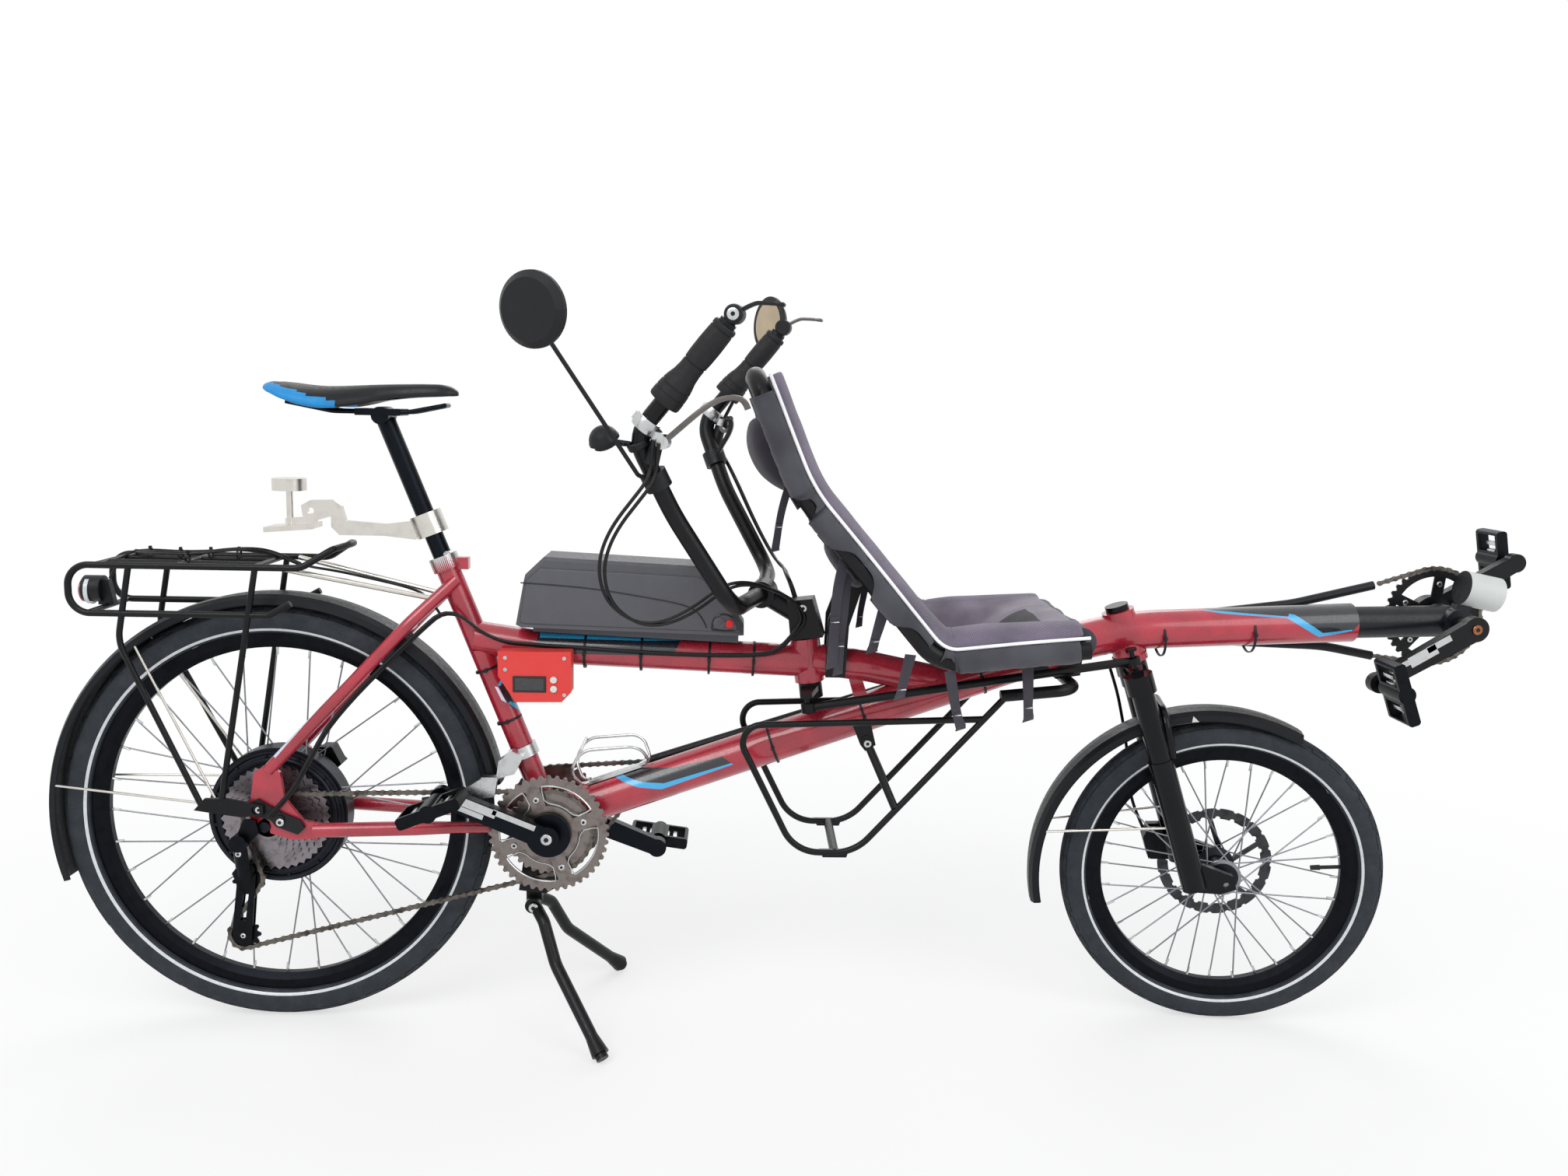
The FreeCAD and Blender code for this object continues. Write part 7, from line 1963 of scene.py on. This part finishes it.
    def pedals(self) -> list[bpy.types.Object]:
        """Builds an alloy cleat plate for each pedal.

        Returns:
            The four plates.
        """
        pieces = []
        for node, tilt in self.pedal_tilts:
            low, high = Vector(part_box(node)[0]), Vector(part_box(node)[1])
            middle = (low + high) / 2
            out = 0.008 if "left" in node else -0.008
            turn = Matrix.Rotation(-math.radians(tilt), 4, "Y")
            bm = bmesh.new()
            add_block(bm, middle + Vector((0, out, 0)), (34, 24, 13), turn, 2.5, 0)
            for way in (-1, 1):
                add_block(bm, middle + Vector((0, out, 0)) + turn.to_3x3() @ Vector((way * 0.026, 0, 0.001)),
                          (7, 30, 9), turn, 1.5, 0)
            pieces.append(placed(node + "_cleat", bm, (ALLOY,), node, sharp=35))
        return pieces

    def rear_end(self) -> bpy.types.Object:
        """Builds the bolts of the dropouts, derailleur, brackets and caliper, and the post's collar bolt.

        Returns:
            One piece with all of them.
        """
        bm = bmesh.new()
        for node, x, z, wide in (("dropout_inserts", -5, 357, 12), ("dropout_inserts", 25, 338, 12),
                                 ("rear_derailleur", -40, 330, 10),
                                 ("rear_derailleur", -50, 318, 9), ("rear_derailleur", -20, 300, 11),
                                 ("rear_derailleur", -36, 290, 9),
                                 ("rear_derailleur", -46, 148, 8), ("stem", 802, 664, 12),
                                 ("seat_bracket", 853, 606, 11), ("low_rack", 905, 459, 12),
                                 ("stand_bracket", 392, 186, 15), ("front_caliper", 1434, 262, 8)):
            self.bolt(bm, seated(node, x, z), wide)
        collar = at(263, 0, 735)
        add_rod(bm, collar - Vector((0, 0.013, 0)), collar + Vector((0, 0.013, 0)), 13, 20, 0)
        self.bolt(bm, collar - Vector((0, 0.013, 0)), 11)
        return placed("frame_bolts", bm, (ALLOY, BLACK_CAP_AND_SOCKET_SHADE), "frame", sharp=30)

    def motor(self) -> bpy.types.Object:
        """Builds the cast ledges and screws on the near face of the hub motor.

        Returns:
            The piece.
        """
        bm = bmesh.new()
        near = at(REAR_AXLE[0], -23, REAR_AXLE[1])
        side = Vector((0, -1, 0))
        add_ring(bm, near, side, ((84, -4), (84, 1.6), (86, 2.4), (90, 2.4), (92, 0.6), (92, -4)), 96)
        add_ring(bm, near, side, ((97, -6), (97, -2.2), (98, -1.4), (101, -1.6), (102, -3), (102, -6)), 96)
        for i in range(12):
            a = math.tau * (i + 0.3) / 12
            add_ring(bm, near + Vector((math.cos(a) * 0.0945, 0.0018, math.sin(a) * 0.0945)), side,
                     ((0.3, -1), (2.6, -1), (2.6, 1.6), (0.3, 2.2)), 12)
        return placed("motor_cover", bm, (HUB,), "rear_wheel", sharp=35)

    def lamps(self) -> bpy.types.Object:
        """Builds the tail lamp's red lens and its clear rim.

        Returns:
            The piece.
        """
        bm = bmesh.new()
        low, high = Vector(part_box("tail_lamp")[0]), Vector(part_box("tail_lamp")[1])
        middle = Vector((low.x, 0, (low.z + high.z) / 2))
        back = Vector((-1, 0, 0))
        add_ring(bm, middle, back, ((0.4, -1), (18.5, -1), (18.5, 2.5), (15, 5.5), (8, 7), (0.4, 7.4)), 40, (0,) * 6)
        add_ring(bm, middle + Vector((0.008, 0, 0)), back, ((20.2, -3), (21.6, -3), (21.6, 3), (20.2, 3)), 40, (1,) * 4)
        return placed("tail_lamp_lens", bm, (RED_LENS, LENS), "frame", sharp=30)

    def rack_cables(self) -> bpy.types.Object:
        """Builds the lamp's cable and the spare loop tied along the rack's top, down to the seat tube.

        Returns:
            The piece.
        """
        bm = bmesh.new()
        along = ((-246, 0, 690), (-240, 14, 712), (-226, 24, 728), (-196, 30, 731), (-150, 27, 729), (-104, 26, 731),
                 (-62, 28, 733), (-30, 30, 730), (4, 34, 720),
                 (34, 45, 707), (80, 44, 701), (140, 36, 690), (196, 28, 679), (226, 18, 668), (246, 12, 640))
        loop = ((-222, 30, 727), (-190, -6, 730), (-140, -27, 731), (-96, -25, 733), (-60, -8, 737), (-30, 16, 735),
                (-8, 26, 728), (10, 40, 716), (20, 54, 708))
        for k, route in enumerate((along, loop, tuple((x, y + 6, z + 2) for x, y, z in loop))):
            add_tube(bm, spline_points([at(*p) for p in route], 8), 4.2 - 0.5 * k, 8, 0)
        for x, y, z in ((-150, 27, 725), (-104, 26, 726), (-62, 27, 727), (-196, 28, 726), (-118, -26, 727)):
            add_ring(bm, at(x, y, z), Vector((1, 0, 0)), ((7.2, -1.6), (8.4, -1.6), (8.4, 1.6), (7.2, 1.6)), 20)
            add_block(bm, at(x, y, z + 9), (4, 5, 4), None, 0.6)
        return placed("rack_cables", bm, (HOSE,), "frame", sharp=45)

    def build(self) -> list[bpy.types.Object]:
        """Builds every fitting and brightens the parts of CAD nodes that are bare metal or a pale housing.

        Returns:
            The pieces.
        """
        tube = Vector(SEAT_TUBE_WAY)
        top = at(240, 0, 741)
        brighten("seat_tube", ALLOY, lambda spot: (spot - top).dot(tube) > -0.024)
        rear, front = at(REAR_AXLE[0], 0, REAR_AXLE[1]), FORK_TURN @ at(FRONT_AXLE[0], 0, FRONT_AXLE[1])
        brighten("rear_mudguard", BRUSHED, lambda spot: math.hypot(spot.x - rear.x, spot.z - rear.z) < 0.322)
        brighten("front_mudguard", BRUSHED,
                 lambda spot: spot.x < front.x - 0.06 and math.hypot(spot.x - front.x, spot.z - front.z) < 0.262)
        brighten("front_lamp", PALE_CAP, lambda spot: spot.x > at(1846, 0, 0).x)
        return [*self.drive(), *self.pedals(), self.rear_end(), self.motor(), self.lamps(), self.rack_cables()]


class Studio:
    """Camera at the photograph's place, a pale floor and soft light."""

    focal_pixels = 1702.0
    picture = (2016, 1512)
    place = Vector((-0.116, -2.014, 0.979))
    yaw, pitch, roll = (math.radians(a) for a in (-2.10, -8.10, 1.27))
    sensor = 36.0
    # name, place in metres, width in metres and power in watts of each lamp
    lamps = (("key", (-1.6, -2.6, 3.2), 2.4, 62), ("fill", (2.4, -2.2, 2.2), 2.6, 34),
             ("back", (0.4, 2.8, 2.8), 2.6, 34))

    def camera(self) -> bpy.types.Object:
        """Adds the camera.

        Returns:
            The camera.
        """
        data = bpy.data.cameras.new("camera")
        data.sensor_width = self.sensor
        data.lens = self.focal_pixels / self.picture[0] * self.sensor
        data.clip_end = 50.0
        forward = Vector((-math.sin(self.yaw) * math.cos(self.pitch), math.cos(self.yaw) * math.cos(self.pitch),
                          math.sin(self.pitch)))
        right = Vector((math.cos(self.yaw), math.sin(self.yaw), 0))
        up = right.cross(forward)
        across = right * math.cos(self.roll) + up * math.sin(self.roll)
        above = up * math.cos(self.roll) - right * math.sin(self.roll)
        obj = bpy.data.objects.new("camera", data)
        bpy.context.scene.collection.objects.link(obj)
        obj.matrix_world = Matrix((across, above, -forward)).transposed().to_4x4()
        obj.location = self.place
        bpy.context.scene.camera = obj
        return obj

    def floor(self) -> bpy.types.Object:
        """Adds the pale floor, white to the camera, mirrors and glass.

        Returns:
            The floor.
        """
        bm = bmesh.new()
        bmesh.ops.create_grid(bm, x_segments=1, y_segments=1, size=15)
        mesh = bpy.data.meshes.new("floor")
        bm.to_mesh(mesh)
        bm.free()
        obj = bpy.data.objects.new("floor", mesh)
        obj.location.z = -0.0005
        bpy.context.scene.collection.objects.link(obj)
        tree = Tree(bpy.data.materials.new("pale_floor"))
        plain = tree.add("BsdfDiffuse", {"Color": linear("F1F1F0")})
        white = tree.add("Emission", {"Color": (1.0, 1.0, 1.0, 1.0), "Strength": 1.0})
        where = tree.add("TexCoord").outputs["Object"]
        away = tree.add("VectorMath", {0: where}, operation="LENGTH").outputs["Value"]
        share = tree.spread(away, 0.9, 2.2, 0.62, 1.0)
        part = tree.math("MULTIPLY", tree.background(), share)
        mix = tree.add("MixShader", {0: part, 1: plain.outputs[0], 2: white.outputs[0]})
        mesh.materials.append(tree.finish(mix))
        obj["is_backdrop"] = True
        return obj

    def light(self) -> None:
        """Adds a white world and three large soft lamps."""
        tree = Tree(bpy.data.worlds.new("studio"))
        sky = tree.add("Background", {"Strength": 0.72, "Color": linear("F4F6FA")})
        white = tree.add("Background", {"Strength": 1.0, "Color": (1, 1, 1, 1)})
        mix = tree.add("MixShader", {0: tree.background(), 1: sky.outputs[0], 2: white.outputs[0]})
        bpy.context.scene.world = tree.finish(mix)
        for name, place, size, power in self.lamps:
            data = bpy.data.lights.new(name, "AREA")
            data.energy = power
            data.shape = "DISK"
            data.size = size
            lamp = bpy.data.objects.new(name, data)
            bpy.context.scene.collection.objects.link(lamp)
            lamp.location = place
            lamp.rotation_euler = (Vector((0, 0, 0.45)) - Vector(place)).to_track_quat("-Z", "Y").to_euler()
        bpy.context.scene.view_settings.view_transform = "Standard"


def dress_nodes() -> None:
    """Gives every CAD node its finish."""
    for name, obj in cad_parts.items():
        obj.data.materials.clear()
        obj.data.materials.append(material(NODE_FINISH[name]))
        log.info("%s dressed in %s", name, NODE_FINISH[name].name)


def main() -> None:
    """Builds the studio and every piece, in order."""
    logging.basicConfig(level=logging.INFO, format="%(name)s %(message)s")
    cad_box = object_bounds()
    studio = Studio()
    studio.camera()
    studio.floor()
    studio.light()
    Hoses().build()
    dress_nodes()
    rear = Tyre("rear_tyre", REAR_AXLE, 328, 25, 285, "rear_wheel")
    front = Tyre("front_tyre", FRONT_AXLE, 250, 23.5, 209, "front_wheel", FORK_TURN, 132)
    for wheel in (rear, front):
        wheel.build()
    SpokeDressing("rear", REAR_AXLE, 261, 108, "rear_wheel").build()
    SpokeDressing("front", FRONT_AXLE, 185, 40, "front_wheel", FORK_TURN).build()
    pitch = CHAIN_PITCH / math.tau
    rear_ring, cog, jockey, front_ring = (teeth * pitch for teeth in (32, 21, 11, 38))
    Chain("rear_link_chain", (
        (((*REAR_CRANK, rear_ring, 1), (*REAR_AXLE, cog, 1), (-38, 238, jockey, -1), (-46, 148, jockey, 1)), True),
    ), -48, node="rear_chain").build()
    Chain("front_link_chain", (
        (((1722, 592, 0, 1), (*BOOM_CRANK, front_ring, 1), (1716, 706, 0, 1)), False),
        (((560, 402, 0, 1), (*REAR_CRANK, front_ring, 1), (560, 372, 0, 1)), False)), 47, node="front_chain").build()
    Grips().build()
    Controls().build()
    FrontSeat().build()
    Saddle().build()
    Battery().build()
    DisplayBox().build()
    CableTies().build()
    Fittings().build()
    final_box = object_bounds()
    for label, (low, high) in (("CAD", cad_box), ("final", final_box)):
        log.info("%s box %s to %s", label, [round(v, 4) for v in low], [round(v, 4) for v in high])


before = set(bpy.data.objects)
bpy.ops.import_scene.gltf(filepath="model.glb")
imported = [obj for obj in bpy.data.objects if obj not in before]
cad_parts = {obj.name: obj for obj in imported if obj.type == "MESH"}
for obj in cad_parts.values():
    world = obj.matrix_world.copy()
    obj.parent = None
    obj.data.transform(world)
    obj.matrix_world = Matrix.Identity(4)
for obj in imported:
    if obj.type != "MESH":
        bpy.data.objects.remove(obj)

if __name__ == "__main__":
    main()
